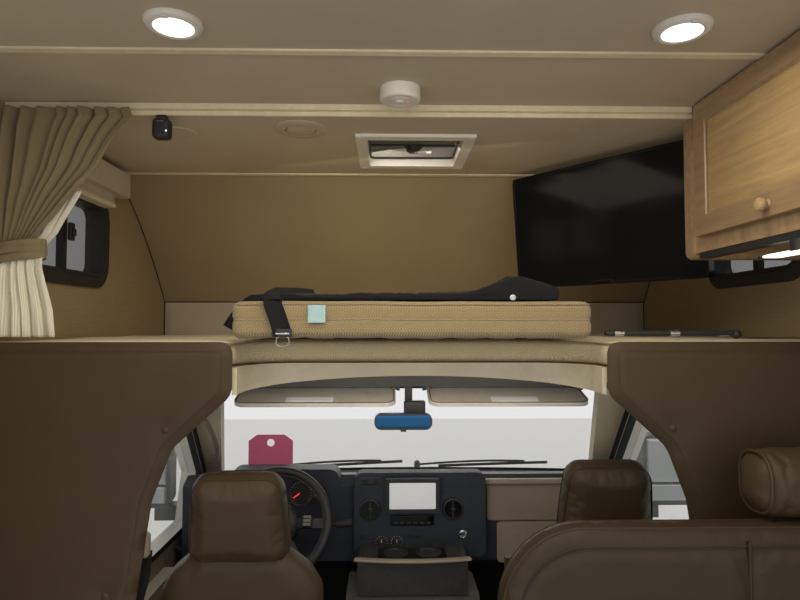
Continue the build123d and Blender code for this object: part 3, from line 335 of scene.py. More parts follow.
def puffed(shell, seams=(), voxel=0.009, cap=0.009, pressure=4.0, slack=0.02, reach=0.012):
    # A cushion cover blown up by cloth simulation: remeshed, held along its seams, its moves capped.
    mesh = bpy.data.meshes.new("cushionWork")
    mesh.from_pydata(np.asarray(shell[0], float).tolist(), [], [list(map(int, face)) for face in shell[1]])
    work = bpy.data.objects.new("cushionWork", mesh)
    scene.collection.objects.link(work)
    remesh = work.modifiers.new("voxels", "REMESH")
    remesh.mode = "VOXEL"
    remesh.voxel_size = voxel
    even = bpy.data.meshes.new_from_object(work.evaluated_get(bpy.context.evaluated_depsgraph_get()))
    work.modifiers.clear()
    work.data = even
    count = len(even.vertices)
    start = np.empty(count * 3)
    even.vertices.foreach_get("co", start)
    start = start.reshape(-1, 3)
    cloth = work.modifiers.new("cloth", "CLOTH")
    if len(seams):
        line = np.concatenate(seams)
        near = np.concatenate([np.linalg.norm(part[:, None] - line[None], axis=-1).min(axis=1)
                               for part in np.array_split(start, max(1, count // 800))])
        group = work.vertex_groups.new(name="seams")
        group.add([int(k) for k in np.flatnonzero(near < reach)], 1.0, "REPLACE")
        cloth.settings.vertex_group_mass = group.name
    cloth.settings.quality = 4
    cloth.settings.use_pressure = True
    cloth.settings.uniform_pressure_force = pressure
    cloth.settings.effector_weights.gravity = 0
    cloth.settings.shrink_min = -slack
    for frameNumber in range(1, 21):
        scene.frame_set(frameNumber)
    blown = bpy.data.meshes.new_from_object(work.evaluated_get(bpy.context.evaluated_depsgraph_get()))
    end = np.empty(count * 3)
    blown.vertices.foreach_get("co", end)
    step = end.reshape(-1, 3) - start
    far = np.linalg.norm(step, axis=1, keepdims=True)
    points = start + step * np.minimum(1, cap / np.maximum(far, 1e-9))
    faces = [list(face.vertices) for face in blown.polygons]
    scene.frame_set(1)
    bpy.data.objects.remove(work)
    return points, faces


def makePiece(name, shells, materials, body="coach", slot=None, stands=(), smooth=True, weld=0.00002,
              sharp=None):
    # An object from shapes, each with the number of its material. Doubles are merged and normals
    # recalculated. It rides on a CAD body and may stand for CAD nodes.
    points, faces, indices, start = [], [], [], 0
    for shell, index in shells:
        points.append(np.asarray(shell[0], float))
        faces += [[int(k) + start for k in face] for face in shell[1]]
        indices += [index] * len(shell[1])
        start += len(shell[0])
    mesh = bpy.data.meshes.new(name)
    mesh.from_pydata(np.concatenate(points).tolist(), [], faces)
    for material in materials:
        mesh.materials.append(material)
    mesh.polygons.foreach_set("material_index", indices)
    piece = bpy.data.objects.new(name, mesh)
    scene.collection.objects.link(piece)
    work = bmesh.new()
    work.from_mesh(mesh)
    bmesh.ops.remove_doubles(work, verts=work.verts, dist=weld)
    bmesh.ops.recalc_face_normals(work, faces=work.faces)
    work.to_mesh(mesh)
    work.free()
    mesh.polygons.foreach_set("use_smooth", [smooth] * len(mesh.polygons))
    if sharp is not None:
        mesh.set_sharp_from_angle(angle=math.radians(sharp))
    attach(piece, body)
    if stands:
        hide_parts(*stands)
    return piece


# Shader groups: each puts out masks, colours or heights that change over the surface


def newNode(tree, kind, inputs=None, **settings):
    # A shader node. inputs holds plain values, or sockets to link from.
    node = tree.nodes.new(kind)
    for name, value in settings.items():
        setattr(node, name, value)
    for key, value in (inputs or {}).items():
        if isinstance(value, bpy.types.NodeSocket):
            tree.links.new(value, node.inputs[key])
        else:
            node.inputs[key].default_value = value
    return node


def calc(tree, operation, a, b=0.0, c=0.0):
    # A Math node's result.
    return newNode(tree, "ShaderNodeMath", {0: a, 1: b, 2: c}, operation=operation).outputs[0]


def blendColours(tree, share, first, second, mode="MIX"):
    # A mix of two colours by a share.
    node = newNode(tree, "ShaderNodeMix", data_type="RGBA", blend_type=mode)
    for key, value in ((0, share), (6, first), (7, second)):
        if isinstance(value, bpy.types.NodeSocket):
            tree.links.new(value, node.inputs[key])
        else:
            isColour = isinstance(value, tuple) and len(value) == 3
            node.inputs[key].default_value = (*value, 1) if isColour else value
    return node.outputs[2]


def noiseAt(tree, vector, scale, detail=3.0, roughness=0.55):
    # The height of a noise texture.
    values = {"Vector": vector, "Scale": scale, "Detail": detail, "Roughness": roughness}
    return newNode(tree, "ShaderNodeTexNoise", values).outputs[0]


def stretched(tree, vector, scale):
    # Coordinates scaled along each axis.
    return newNode(tree, "ShaderNodeMapping", {"Vector": vector, "Scale": scale}).outputs[0]


def axesOf(tree, vector):
    # The x, y and z of a vector.
    return newNode(tree, "ShaderNodeSeparateXYZ", {0: vector}).outputs


def facing(tree):
    # The x, y and z of the direction that the surface faces.
    return axesOf(tree, newNode(tree, "ShaderNodeTexCoord").outputs["Normal"])


def spanOf(tree, value, low, high, toLow=0.0, toHigh=1.0):
    # A value mapped from one span to another, and held within it.
    return newNode(tree, "ShaderNodeMapRange", {0: value, 1: low, 2: high, 3: toLow, 4: toHigh}).outputs[0]


def newGroup(name, inputs, outputs):
    # A shader node group with named sockets: (name, kind, default) for each input.
    group = bpy.data.node_groups.new(name, "ShaderNodeTree")
    for label, kind, value in inputs:
        socket = group.interface.new_socket(label, in_out="INPUT", socket_type=kind)
        if value is not None:
            socket.default_value = value
    for label, kind in outputs:
        group.interface.new_socket(label, in_out="OUTPUT", socket_type=kind)
    return group, group.nodes.new("NodeGroupInput"), group.nodes.new("NodeGroupOutput")


def buildGrain():
    # Leather or moulded grain: cells with soft borders, over a slower unevenness.
    group, enter, leave = newGroup(
        "surfaceGrain",
        [("Coordinates", "NodeSocketVector", None), ("Cell", "NodeSocketFloat", 0.0015),
         ("Drift", "NodeSocketFloat", 0.08)],
        [("Height", "NodeSocketFloat"), ("Mottle", "NodeSocketFloat")],
    )
    rate = calc(group, "DIVIDE", 1.0, enter.outputs["Cell"])
    slow = calc(group, "DIVIDE", 1.0, enter.outputs["Drift"])
    cells = newNode(group, "ShaderNodeTexVoronoi", {"Vector": enter.outputs["Coordinates"], "Scale": rate},
                    feature="DISTANCE_TO_EDGE")
    fine = noiseAt(group, enter.outputs["Coordinates"], rate, 2.0)
    height = calc(group, "ADD", spanOf(group, cells.outputs["Distance"], 0.0, 0.25),
                  calc(group, "MULTIPLY", fine, 0.5))
    group.links.new(height, leave.inputs["Height"])
    group.links.new(noiseAt(group, enter.outputs["Coordinates"], slow, 4.0), leave.inputs["Mottle"])
    return group


def buildWeave():
    # Threads in two directions: stripes of sine, offset row by row by Slant for a herringbone.
    group, enter, leave = newGroup(
        "clothWeave",
        [("Along", "NodeSocketFloat", 0.0), ("Across", "NodeSocketFloat", 0.0),
         ("Pitch", "NodeSocketFloat", 0.006),
         ("Turnback", "NodeSocketFloat", 0.02), ("Slant", "NodeSocketFloat", 1.0)],
        [("Height", "NodeSocketFloat"), ("Thread", "NodeSocketFloat")],
    )
    zigzag = calc(group, "PINGPONG", enter.outputs["Across"], enter.outputs["Turnback"])
    along = calc(group, "ADD", enter.outputs["Along"],
                 calc(group, "MULTIPLY", zigzag, enter.outputs["Slant"]))
    turn = calc(group, "DIVIDE", 2 * math.pi, enter.outputs["Pitch"])
    rib = calc(group, "SINE", calc(group, "MULTIPLY", along, turn))
    cross = calc(group, "SINE", calc(group, "MULTIPLY", enter.outputs["Across"], turn))
    height = calc(group, "ADD", calc(group, "MULTIPLY", rib, 0.35), calc(group, "MULTIPLY", cross, 0.15))
    group.links.new(calc(group, "ADD", height, 0.5), leave.inputs["Height"])
    group.links.new(spanOf(group, rib, -0.4, 0.4), leave.inputs["Thread"])
    return group


def buildWear():
    # Edge wear: the rounder the edge, the more it shows, broken up by noise.
    group, enter, leave = newGroup(
        "edgeWear",
        [("Coordinates", "NodeSocketVector", None), ("Amount", "NodeSocketFloat", 0.5)],
        [("Mask", "NodeSocketFloat")],
    )
    geometry = newNode(group, "ShaderNodeNewGeometry")
    curved = spanOf(group, geometry.outputs["Pointiness"], 0.53, 0.62)
    broken = spanOf(group, noiseAt(group, enter.outputs["Coordinates"], 45.0, 4.0), 0.42, 0.66)
    mask = calc(group, "MULTIPLY", calc(group, "MULTIPLY", curved, broken), enter.outputs["Amount"])
    group.links.new(mask, leave.inputs["Mask"])
    return group


def buildDust():
    # Dust settles on what faces up, in patches.
    group, enter, leave = newGroup(
        "lightDust",
        [("Coordinates", "NodeSocketVector", None), ("Amount", "NodeSocketFloat", 0.2)],
        [("Mask", "NodeSocketFloat")],
    )
    normal = facing(group)
    up = spanOf(group, normal[2], 0.55, 0.95)
    patch = spanOf(group, noiseAt(group, enter.outputs["Coordinates"], 7.0, 5.0, 0.65), 0.35, 0.75)
    mask = calc(group, "MULTIPLY", calc(group, "MULTIPLY", up, patch), enter.outputs["Amount"])
    group.links.new(mask, leave.inputs["Mask"])
    return group


grainGroup, weaveGroup, wearGroup, dustGroup = buildGrain(), buildWeave(), buildWear(), buildDust()


def useGroup(tree, group, inputs):
    # A node of one of the groups above, with its inputs.
    return newNode(tree, "ShaderNodeGroup", inputs, node_tree=group)


def startMaterial(name, colour, roughness=0.5, **sockets):
    # A material with its Principled shader: constants go on the shader's own sockets.
    material = bpy.data.materials.new(name)
    material.use_nodes = True
    material.diffuse_color = (*colour, 1)
    tree = material.node_tree
    shader = tree.nodes["Principled BSDF"]
    shader.inputs["Base Color"].default_value = (*colour, 1)
    shader.inputs["Roughness"].default_value = roughness
    for key, value in sockets.items():
        shader.inputs[key].default_value = value
    coords = newNode(tree, "ShaderNodeTexCoord")
    return material, tree, shader, coords.outputs["Object"]


def feed(shader, socket, value):
    # Links an output to a named socket of the shader.
    shader.id_data.links.new(value, shader.inputs[socket])


def bumpBy(tree, shader, height, strength, distance=0.001):
    # Feeds a height to the shader's normal through a Bump node.
    bump = newNode(tree, "ShaderNodeBump", {"Height": height, "Strength": strength, "Distance": distance})
    feed(shader, "Normal", bump.outputs[0])


def shaded(colour, factor, lift=0.0):
    # A colour made darker or lighter, and held at white.
    return tuple(min(1, part * factor + lift) for part in colour)


# Materials

looks = {
    "ceiling": (0.55, 0.475, 0.355),
    "noseCloth": (0.385, 0.305, 0.18),
    "grassCloth": (0.385, 0.3, 0.165),
    "gelcoat": (0.8, 0.79, 0.75),
    "trim": (0.8, 0.71, 0.5),
    "vinyl": (0.068, 0.046, 0.024),
    "weaveLight": (0.47, 0.365, 0.19),
    "weaveDark": (0.21, 0.145, 0.075),
    # The mattress threads are the pad's herringbone made much paler: painted light on the mattress.
    "mattressPaleLit": (0.97, 0.85, 0.54),
    "mattressDarkLit": (0.66, 0.53, 0.31),
    "liner": (0.085, 0.085, 0.088),
    "visor": (0.72, 0.7, 0.65),
    "dash": (0.016, 0.021, 0.034),
    "taupe": (0.27, 0.22, 0.165),
    "maple": (0.36, 0.245, 0.145),
    "curtain": (0.235, 0.19, 0.098),
    "lining": (0.92, 0.85, 0.66),
}


def outwardMask(tree, coordinates, axis, start):
    # 1 where a coach panel is seen from outside, by how far out the point lies along an axis.
    split = axesOf(tree, coordinates)
    return calc(tree, "GREATER_THAN", calc(tree, "ABSOLUTE", split[axis]), start)


def makeVinyl(name, colour, roughness=0.48):
    # Upholstery vinyl: fine grain, faint mottling, and paler worn edges.
    material, tree, shader, at = startMaterial(name, colour, roughness, **{"Specular IOR Level": 0.28})
    grain = useGroup(tree, grainGroup, {"Coordinates": at, "Cell": 0.0016, "Drift": 0.11})
    wear = useGroup(tree, wearGroup, {"Coordinates": at, "Amount": 0.14})
    darker = shaded(colour, 0.95)
    lighter = shaded(colour, 1.05)
    mottled = blendColours(tree, spanOf(tree, grain.outputs["Mottle"], 0.3, 0.7), darker, lighter)
    worn = blendColours(tree, wear.outputs[0], mottled, shaded(colour, 1.7))
    feed(shader, "Base Color", worn)
    feed(shader, "Roughness", spanOf(tree, grain.outputs["Mottle"], 0.3, 0.7, roughness + 0.07,
                                     roughness - 0.07))
    crease = spanOf(tree, noiseAt(tree, at, 16.0, 2.0), 0.35, 0.65)
    bumpBy(tree, shader, calc(tree, "ADD", calc(tree, "MULTIPLY", grain.outputs["Height"], 0.25), crease),
           0.35, 0.0012)
    return material


def makeMoulded(name, colour, roughness=0.55, cell=0.0011, strength=0.25, wearAmount=0.15, **sockets):
    # Moulded plastic: pebble grain, slow gloss changes, a little dust on what faces up.
    material, tree, shader, at = startMaterial(name, colour, roughness, **sockets)
    grain = useGroup(tree, grainGroup, {"Coordinates": at, "Cell": cell, "Drift": 0.15})
    wear = useGroup(tree, wearGroup, {"Coordinates": at, "Amount": wearAmount})
    dust = useGroup(tree, dustGroup, {"Coordinates": at, "Amount": 0.1})
    shade = spanOf(tree, grain.outputs["Mottle"], 0.3, 0.7)
    base = blendColours(tree, shade, shaded(colour, 0.93), shaded(colour, 1.05))
    worn = blendColours(tree, wear.outputs[0], base, shaded(colour, 1.5, 0.02))
    dusty = blendColours(tree, dust.outputs[0], worn, (0.42, 0.4, 0.36))
    feed(shader, "Base Color", dusty)
    feed(shader, "Roughness", spanOf(tree, grain.outputs["Mottle"], 0.3, 0.7, roughness + 0.06,
                                     roughness - 0.05))
    bumpBy(tree, shader, grain.outputs["Height"], strength, 0.0006)
    return material


def makeHerringbone(name, light, dark):
    # Beige and brown threads in zigzag ribs, with loose unevenness.
    material, tree, shader, at = startMaterial(name, light, 0.92,
                                               **{"Sheen Weight": 0.25, "Sheen Roughness": 0.6})
    split = axesOf(tree, at)
    depth = calc(tree, "ADD", split[1], split[2])
    weave = useGroup(tree, weaveGroup, {"Along": split[0], "Across": depth, "Pitch": 0.0072,
                                        "Turnback": 0.0092, "Slant": 1.0})
    base = blendColours(tree, calc(tree, "MULTIPLY", weave.outputs["Thread"], 0.8), dark, light)
    fleck = spanOf(tree, noiseAt(tree, at, 420.0, 2.0), 0.35, 0.7)
    tinted = blendColours(tree, calc(tree, "MULTIPLY", fleck, 0.35), base, shaded(light, 1.2))
    patch = spanOf(tree, noiseAt(tree, at, 5.0, 3.0), 0.3, 0.7, 0.0, 0.22)
    feed(shader, "Base Color", blendColours(tree, patch, tinted, shaded(light, 0.6)))
    bumpBy(tree, shader, weave.outputs["Height"], 0.7, 0.0012)
    return material


def makeCloth(name, colour, pitch=0.0022, sheen=0.3, through=0.0):
    # Plain woven cloth, its threads running with the piece's own UV map, which is in metres.
    material, tree, shader, at = startMaterial(name, colour, 0.93,
                                               **{"Sheen Weight": sheen, "Sheen Roughness": 0.5,
                                                  "Transmission Weight": through})
    uv = newNode(tree, "ShaderNodeUVMap", uv_map="cloth")
    split = axesOf(tree, uv.outputs[0])
    weave = useGroup(tree, weaveGroup, {"Along": split[0], "Across": split[1], "Pitch": pitch,
                                        "Turnback": 10.0, "Slant": 0.0})
    slub = spanOf(tree, noiseAt(tree, stretched(tree, uv.outputs[0], (260.0, 9.0, 1.0)), 1.0, 2.0), 0.35,
                  0.7)
    base = blendColours(tree, weave.outputs["Thread"], shaded(colour, 0.82), shaded(colour, 1.12))
    feed(shader, "Base Color", blendColours(tree, calc(tree, "MULTIPLY", slub, 0.3), base,
                                            shaded(colour, 1.35)))
    bumpBy(tree, shader, weave.outputs["Height"], 0.4, 0.0005)
    return material


def makePanel(name, inside, axis, start, fine=0.0):
    # A coach panel: cloth-faced board inside, gelcoat outside. fine is the pitch of the level
    # threads of a grass cloth, or 0 for a soft matte board. The outside starts that far out along the
    # axis or, where there is none, on the faces that look up or to the front.
    material, tree, shader, at = startMaterial(name, inside, 0.85)
    split = axesOf(tree, at)
    mottle = spanOf(tree, noiseAt(tree, at, 3.2, 4.0), 0.3, 0.7)
    soft = blendColours(tree, mottle, shaded(inside, 0.93), shaded(inside, 1.05))
    fuzz = noiseAt(tree, at, 900.0, 2.0)
    height = fuzz
    if fine:
        stretch = stretched(tree, at, (14.0, 14.0, 1.0 / fine))
        thread = noiseAt(tree, stretch, 1.0, 3.0, 0.7)
        lines = spanOf(tree, thread, 0.36, 0.64)
        knots = spanOf(tree, noiseAt(tree, stretched(tree, at, (60.0, 60.0, 2.2 / fine)), 1.0, 2.0), 0.55,
                       0.72)
        soft = blendColours(tree, calc(tree, "MULTIPLY", lines, 0.42), soft, shaded(inside, 0.72))
        soft = blendColours(tree, calc(tree, "MULTIPLY", knots, 0.35), soft, shaded(inside, 1.3))
        height = calc(tree, "ADD", lines, calc(tree, "MULTIPLY", fuzz, 0.3))
    if axis is None:
        normal = facing(tree)
        lean = normal[1] if start == "front" else normal[2]
        mask = calc(tree, "GREATER_THAN", lean, 0.02)
    else:
        mask = outwardMask(tree, at, axis, start)
    streak = stretched(tree, at, (9.0, 9.0, 0.8))
    grime = spanOf(tree, noiseAt(tree, streak, 1.0, 5.0, 0.65), 0.45, 0.8, 0.0, 0.28)
    shell = looks["gelcoat"]
    gel = blendColours(tree, grime, shell, tuple(c * f for c, f in zip(shell, (0.86, 0.83, 0.77))))
    feed(shader, "Base Color", blendColours(tree, mask, soft, gel))
    feed(shader, "Roughness", spanOf(tree, mask, 0.0, 1.0, 0.86, 0.27))
    bumpBy(tree, shader, calc(tree, "MULTIPLY", height, calc(tree, "SUBTRACT", 1.0, mask)), 0.3, 0.0008)
    return material


def makeWood(name, colour, along):
    # Stained maple: long figure along one axis, fine pores, paler worn corners, satin lacquer.
    material, tree, shader, at = startMaterial(name, colour, 0.38,
                                               **{"Coat Weight": 0.25, "Coat Roughness": 0.25})
    scale = [26.0, 26.0, 26.0]
    scale[along] = 1.6
    grain = stretched(tree, at, tuple(scale))
    figure = newNode(tree, "ShaderNodeTexNoise", {"Vector": grain, "Scale": 1.0, "Detail": 6.0,
                                                  "Roughness": 0.62, "Distortion": 1.1}).outputs[0]
    scale = [420.0, 420.0, 420.0]
    scale[along] = 14.0
    pores = noiseAt(tree, stretched(tree, at, tuple(scale)), 1.0, 2.0)
    blotch = spanOf(tree, noiseAt(tree, at, 4.5, 3.0), 0.3, 0.72)
    base = blendColours(tree, spanOf(tree, figure, 0.32, 0.68), shaded(colour, 0.7), shaded(colour, 1.16))
    base = blendColours(tree, calc(tree, "MULTIPLY", blotch, 0.35), base,
                        tuple(c * f for c, f in zip(colour, (1.12, 1.0, 0.82))))
    base = blendColours(tree, spanOf(tree, pores, 0.6, 0.72, 0.0, 0.45), base, shaded(colour, 0.42))
    wear = useGroup(tree, wearGroup, {"Coordinates": at, "Amount": 0.4})
    feed(shader, "Base Color", blendColours(tree, wear.outputs[0], base, shaded(colour, 1.6)))
    feed(shader, "Roughness", spanOf(tree, figure, 0.3, 0.7, 0.44, 0.32))
    bumpBy(tree, shader, pores, 0.12, 0.0004)
    return material


def makeMetal(name, colour, roughness, brushed=False):
    # Metal with fine scratches and slow changes of gloss.
    material, tree, shader, at = startMaterial(name, colour, roughness, Metallic=1.0)
    streak = stretched(tree, at, (40.0, 40.0, 900.0))
    fine = noiseAt(tree, streak if brushed else at, 1.0 if brushed else 60.0, 4.0)
    feed(shader, "Base Color", blendColours(tree, fine, shaded(colour, 0.85), colour))
    feed(shader, "Roughness", spanOf(tree, fine, 0.3, 0.7, roughness * 0.8, roughness * 1.3))
    return material


def makeGlass(name, tint, see=0.86, roughness=0.02):
    # Thin clear sheet: mostly open, with the shader's own gloss on top and faint smears.
    material, tree, shader, at = startMaterial(name, tint, roughness, Alpha=1 - see)
    smear = noiseAt(tree, at, 6.0, 5.0, 0.7)
    feed(shader, "Roughness", spanOf(tree, smear, 0.4, 0.75, roughness, roughness + 0.1))
    edge = newNode(tree, "ShaderNodeLayerWeight", {"Blend": 0.25})
    feed(shader, "Alpha", spanOf(tree, edge.outputs["Facing"], 0.2, 1.0, 1 - see, min(1.0, 1.45 - see)))
    return material


def makeGlow(name, colour, strength):
    # A lit lens or screen, its colour a little uneven by noise.
    material, tree, shader, at = startMaterial(name, colour, 0.35, **{"Emission Strength": strength})
    uneven = spanOf(tree, noiseAt(tree, at, 30.0, 2.0), 0.3, 0.7, 0.9, 1.0)
    feed(shader, "Emission Color", blendColours(tree, uneven, shaded(colour, 0.8), colour))
    feed(shader, "Base Color", blendColours(tree, uneven, shaded(colour, 0.8), colour))
    return material


def makeCarpet(name, colour):
    # Short carpet: fine tufts, darker where it is trodden.
    material, tree, shader, at = startMaterial(name, colour, 0.97, **{"Sheen Weight": 0.2})
    tuft = noiseAt(tree, at, 700.0, 3.0, 0.7)
    tread = spanOf(tree, noiseAt(tree, at, 3.0, 4.0), 0.35, 0.7)
    base = blendColours(tree, tuft, shaded(colour, 0.6), shaded(colour, 1.4))
    feed(shader, "Base Color", blendColours(tree, calc(tree, "MULTIPLY", tread, 0.3), base,
                                            shaded(colour, 0.8)))
    bumpBy(tree, shader, tuft, 0.8, 0.002)
    return material


def makePlank(name, colour):
    # Vinyl planks 150 mm wide, running forward, each with its own tone.
    material, tree, shader, at = startMaterial(name, colour, 0.42)
    split = axesOf(tree, at)
    row = calc(tree, "FLOOR", calc(tree, "DIVIDE", split[0], 0.15))
    tone = newNode(tree, "ShaderNodeTexWhiteNoise", {"W": row}, noise_dimensions="1D").outputs[0]
    figure = noiseAt(tree, stretched(tree, at, (55.0, 2.2, 1.0)), 1.0, 6.0, 0.65)
    joint = calc(tree, "LESS_THAN", calc(tree, "PINGPONG", split[0], 0.075), 0.0012)
    base = blendColours(tree, spanOf(tree, figure, 0.3, 0.7), shaded(colour, 0.62), shaded(colour, 1.2))
    base = blendColours(tree, calc(tree, "MULTIPLY", tone, 0.35), base, shaded(colour, 0.7))
    feed(shader, "Base Color", blendColours(tree, joint, base, (0.03, 0.025, 0.02)))
    bumpBy(tree, shader, calc(tree, "SUBTRACT", figure, joint), 0.2, 0.0008)
    return material


ceilingVinyl = makePanel("ceilingVinyl", looks["ceiling"], None, "up")
noseBoard = makePanel("noseBoard", looks["noseCloth"], None, "front")
wallPaper = makePanel("wallPaper", looks["grassCloth"], 0, innerHalf + 0.012, fine=0.004)
frontBoard = makePanel("frontBoard", looks["grassCloth"], 0, innerHalf + 0.012, fine=0.004)
creamTrim = makeMoulded("creamTrim", looks["trim"], 0.42, 0.002, 0.1, 0.2)
creamCloth = makeMoulded("creamCloth", (0.6, 0.53, 0.41), 0.8, 0.0007, 0.3, 0.1)
brownVinyl = makeVinyl("brownVinyl", looks["vinyl"])
# A darker copy of the brown vinyl for the bench: painted shade, as the bench sits in shade.
shadedBenchVinyl = makeVinyl("shadedBenchVinyl", (0.048, 0.032, 0.017))
seamThread = makeMoulded("seamThread", (0.034, 0.025, 0.016), 0.8, 0.0006, 0.4, 0.0)
herringbone = makeHerringbone("herringbone", looks["weaveLight"], looks["weaveDark"])
# The same herringbone as the pad in paler colours: painted light on the mattress's shaded face.
litMattressWeave = makeHerringbone("litMattressWeave", looks["mattressPaleLit"], looks["mattressDarkLit"])
weltCloth = makeMoulded("weltCloth", (0.42, 0.33, 0.21), 0.9, 0.0009, 0.5, 0.1)
linerCloth = makeMoulded("linerCloth", looks["liner"], 0.9, 0.0007, 0.4, 0.1)
visorVinyl = makeMoulded("visorVinyl", looks["visor"], 0.7, 0.0013, 0.2, 0.2)
dashPlastic = makeMoulded("dashPlastic", looks["dash"], 0.56, 0.0013, 0.35, 0.25)
blackPlastic = makeMoulded("blackPlastic", (0.02, 0.02, 0.022), 0.45, 0.0012, 0.25, 0.3)
glossBlack = makeMoulded("glossBlack", (0.008, 0.008, 0.009), 0.12, 0.004, 0.01, 0.0,
                         **{"Specular IOR Level": 0.13})
taupePlastic = makeMoulded("taupePlastic", looks["taupe"], 0.6, 0.0013, 0.3, 0.2)
whitePlastic = makeMoulded("whitePlastic", (0.77, 0.75, 0.69), 0.38, 0.0016, 0.08, 0.2)
ledgePlastic = makeMoulded("ledgePlastic", (0.34, 0.285, 0.215), 0.5, 0.0013, 0.2, 0.25)
ceilingPlastic = makeMoulded("ceilingPlastic", (0.52, 0.445, 0.33), 0.6, 0.0016, 0.08, 0.1)
bandCloth = makeMoulded("bandCloth", (0.29, 0.235, 0.125), 0.9, 0.0009, 0.5, 0.1)
amberLens = makeMoulded("amberLens", (0.72, 0.24, 0.03), 0.16, 0.003, 0.1, 0.05)
greyPlastic = makeMoulded("greyPlastic", (0.22, 0.22, 0.21), 0.55, 0.0013, 0.25, 0.2)
chassisPaint = makeMoulded("chassisPaint", (0.03, 0.03, 0.032), 0.5, 0.003, 0.35, 0.6)
rubber = makeMoulded("rubber", (0.018, 0.018, 0.018), 0.75, 0.001, 0.4, 0.2)
plywood = makeWood("plywood", (0.5, 0.38, 0.23), 0)
mapleAlong = makeWood("mapleAlong", looks["maple"], 1)
mapleUp = makeWood("mapleUp", looks["maple"], 2)
maplePanel = makeWood("maplePanel", (0.48, 0.33, 0.165), 1)
steel = makeMetal("steel", (0.62, 0.62, 0.6), 0.28)
brushedSteel = makeMetal("brushedSteel", (0.55, 0.55, 0.54), 0.35, True)
mirrorFace = makeMetal("mirrorFace", (0.42, 0.45, 0.48), 0.05)
blueMirror = makeMetal("blueMirror", (0.026, 0.1, 0.215), 0.06)
clearGlass = makeGlass("clearGlass", (0.8, 0.86, 0.84), 0.9)
tintedGlass = makeGlass("tintedGlass", (0.05, 0.055, 0.06), 0.45)
lampGlow = makeGlow("lampGlow", (1.0, 0.96, 0.88), 2.2)
# The red glow lights the standby and pilot lamps, and is painted glow on the hazard switch and the buckle
# keys, which are no lamps.
redGlow = makeGlow("redGlow", (1.0, 0.03, 0.02), 3.0)
screenGrey = makeGlow("screenGrey", (0.62, 0.64, 0.66), 0.35)
smokedDome = makeMoulded("smokedDome", (0.03, 0.03, 0.032), 0.3, 0.002, 0.08, 0.3)
cabCarpet = makeCarpet("cabCarpet", (0.07, 0.068, 0.065))
floorPlank = makePlank("floorPlank", (0.34, 0.25, 0.17))
blackWeb = makeMoulded("blackWeb", (0.007, 0.007, 0.008), 0.9, 0.0016, 0.8, 0.1)
curtainCloth = makeCloth("curtainCloth", looks["curtain"])
liningCloth = makeCloth("liningCloth", looks["lining"], sheen=0.15)
# The card's emission is painted light: it makes the card glow, though it is no lamp.
maroonCardPaintedGlow = makeMoulded("maroonCardPaintedGlow", (0.42, 0.085, 0.15), 0.5, 0.002, 0.1, 0.1,
                         **{"Emission Color": (0.42, 0.085, 0.15, 1), "Emission Strength": 0.35})
# The label's bluish emission is painted light: it makes the label stand out brighter than the visor.
labelPaperPaintedGlow = makeMoulded("labelPaperPaintedGlow", (0.9, 0.93, 0.95), 0.5, 0.002, 0.05, 0.0,
                         **{"Emission Color": (0.8, 0.9, 1.0, 1), "Emission Strength": 0.1})
blueTag = makeMoulded("blueTag", (0.45, 0.66, 0.7), 0.6, 0.0012, 0.15, 0.0)


def makeDoorSkin():
    # Cab sides and doors: body paint outside, grained trim inside, by which way the face looks.
    material, tree, shader, at = startMaterial("doorSkin", (0.78, 0.77, 0.73), 0.4)
    place = axesOf(tree, at)
    normal = facing(tree)
    outward = calc(tree, "MULTIPLY", calc(tree, "SIGN", place[0]), normal[0])
    inner = calc(tree, "LESS_THAN", outward, -0.3)
    grain = useGroup(tree, grainGroup, {"Coordinates": at, "Cell": 0.0013, "Drift": 0.2})
    low = calc(tree, "MULTIPLY", inner, calc(tree, "LESS_THAN", place[2], 0.86))
    trim = blendColours(tree, low, looks["dash"], looks["taupe"])
    paint = blendColours(tree, grain.outputs["Mottle"], (0.74, 0.73, 0.69), (0.8, 0.79, 0.75))
    feed(shader, "Base Color", blendColours(tree, inner, paint, trim))
    feed(shader, "Roughness", spanOf(tree, inner, 0.0, 1.0, 0.22, 0.6))
    bumpBy(tree, shader, calc(tree, "MULTIPLY", grain.outputs["Height"], inner), 0.3, 0.0006)
    return material


doorSkin = makeDoorSkin()

# The CAD nodes that carry each material
carriedOver = (
    (chassisPaint, "chassis_rails seat_bases tv_arm"),
    (floorPlank, "living_floor"),
    (cabCarpet, "cab_floor engine_cover"),
    (doorSkin, "cab_frames left_door right_door"),
    (frontBoard, "front_panels"),
    (wallPaper, "left_wall right_wall"),
    (noseBoard, "nose_cap"),
    (ceilingVinyl, "roof"),
    (creamTrim, "ceiling_trim cab_header_trim pillar_trim curtain_track"),
    (plywood, "bunk_deck"),
    (linerCloth, "cab_headliner"),
    (dashPlastic, "dashboard centre_stack"),
    (taupePlastic, "glovebox_lid"),
    (blackPlastic, "console_tray steering_column left_door_mirror right_door_mirror cabin_mirror "
                   "cabinet_light bunk_window_frames steering_wheel"),
    (clearGlass, "windscreen left_door_glass right_door_glass"),
    (shadedBenchVinyl, "bench_base bench_seat_cushion bench_back_cushion"),
    (mapleUp, "overhead_cabinet"),
    (mapleAlong, "cabinet_door"),
    (glossBlack, "television"),
    (whitePlastic, "vent_frame ceiling_lights smoke_alarm"),
    (smokedDome, "vent_lid"),
    (tintedGlass, "bunk_window_panes"),
    (creamCloth, "shade_boxes"),
    (visorVinyl, "driver_visor passenger_visor"),
    (brownVinyl, "partitions bench_bolster driver_seat_cushion driver_seat_back "
                 "passenger_seat_cushion passenger_seat_back"),
    (litMattressWeave, "bunk_mattress"),
    (herringbone, "folded_pad"),
    (blackWeb, "net_bag"),
    (curtainCloth, "curtain"),
)
for material, labels in carriedOver:
    for label in labels.split():
        for place in nodes[label].material_slots:
            place.material = material
print("materials ready", len(bpy.data.materials))


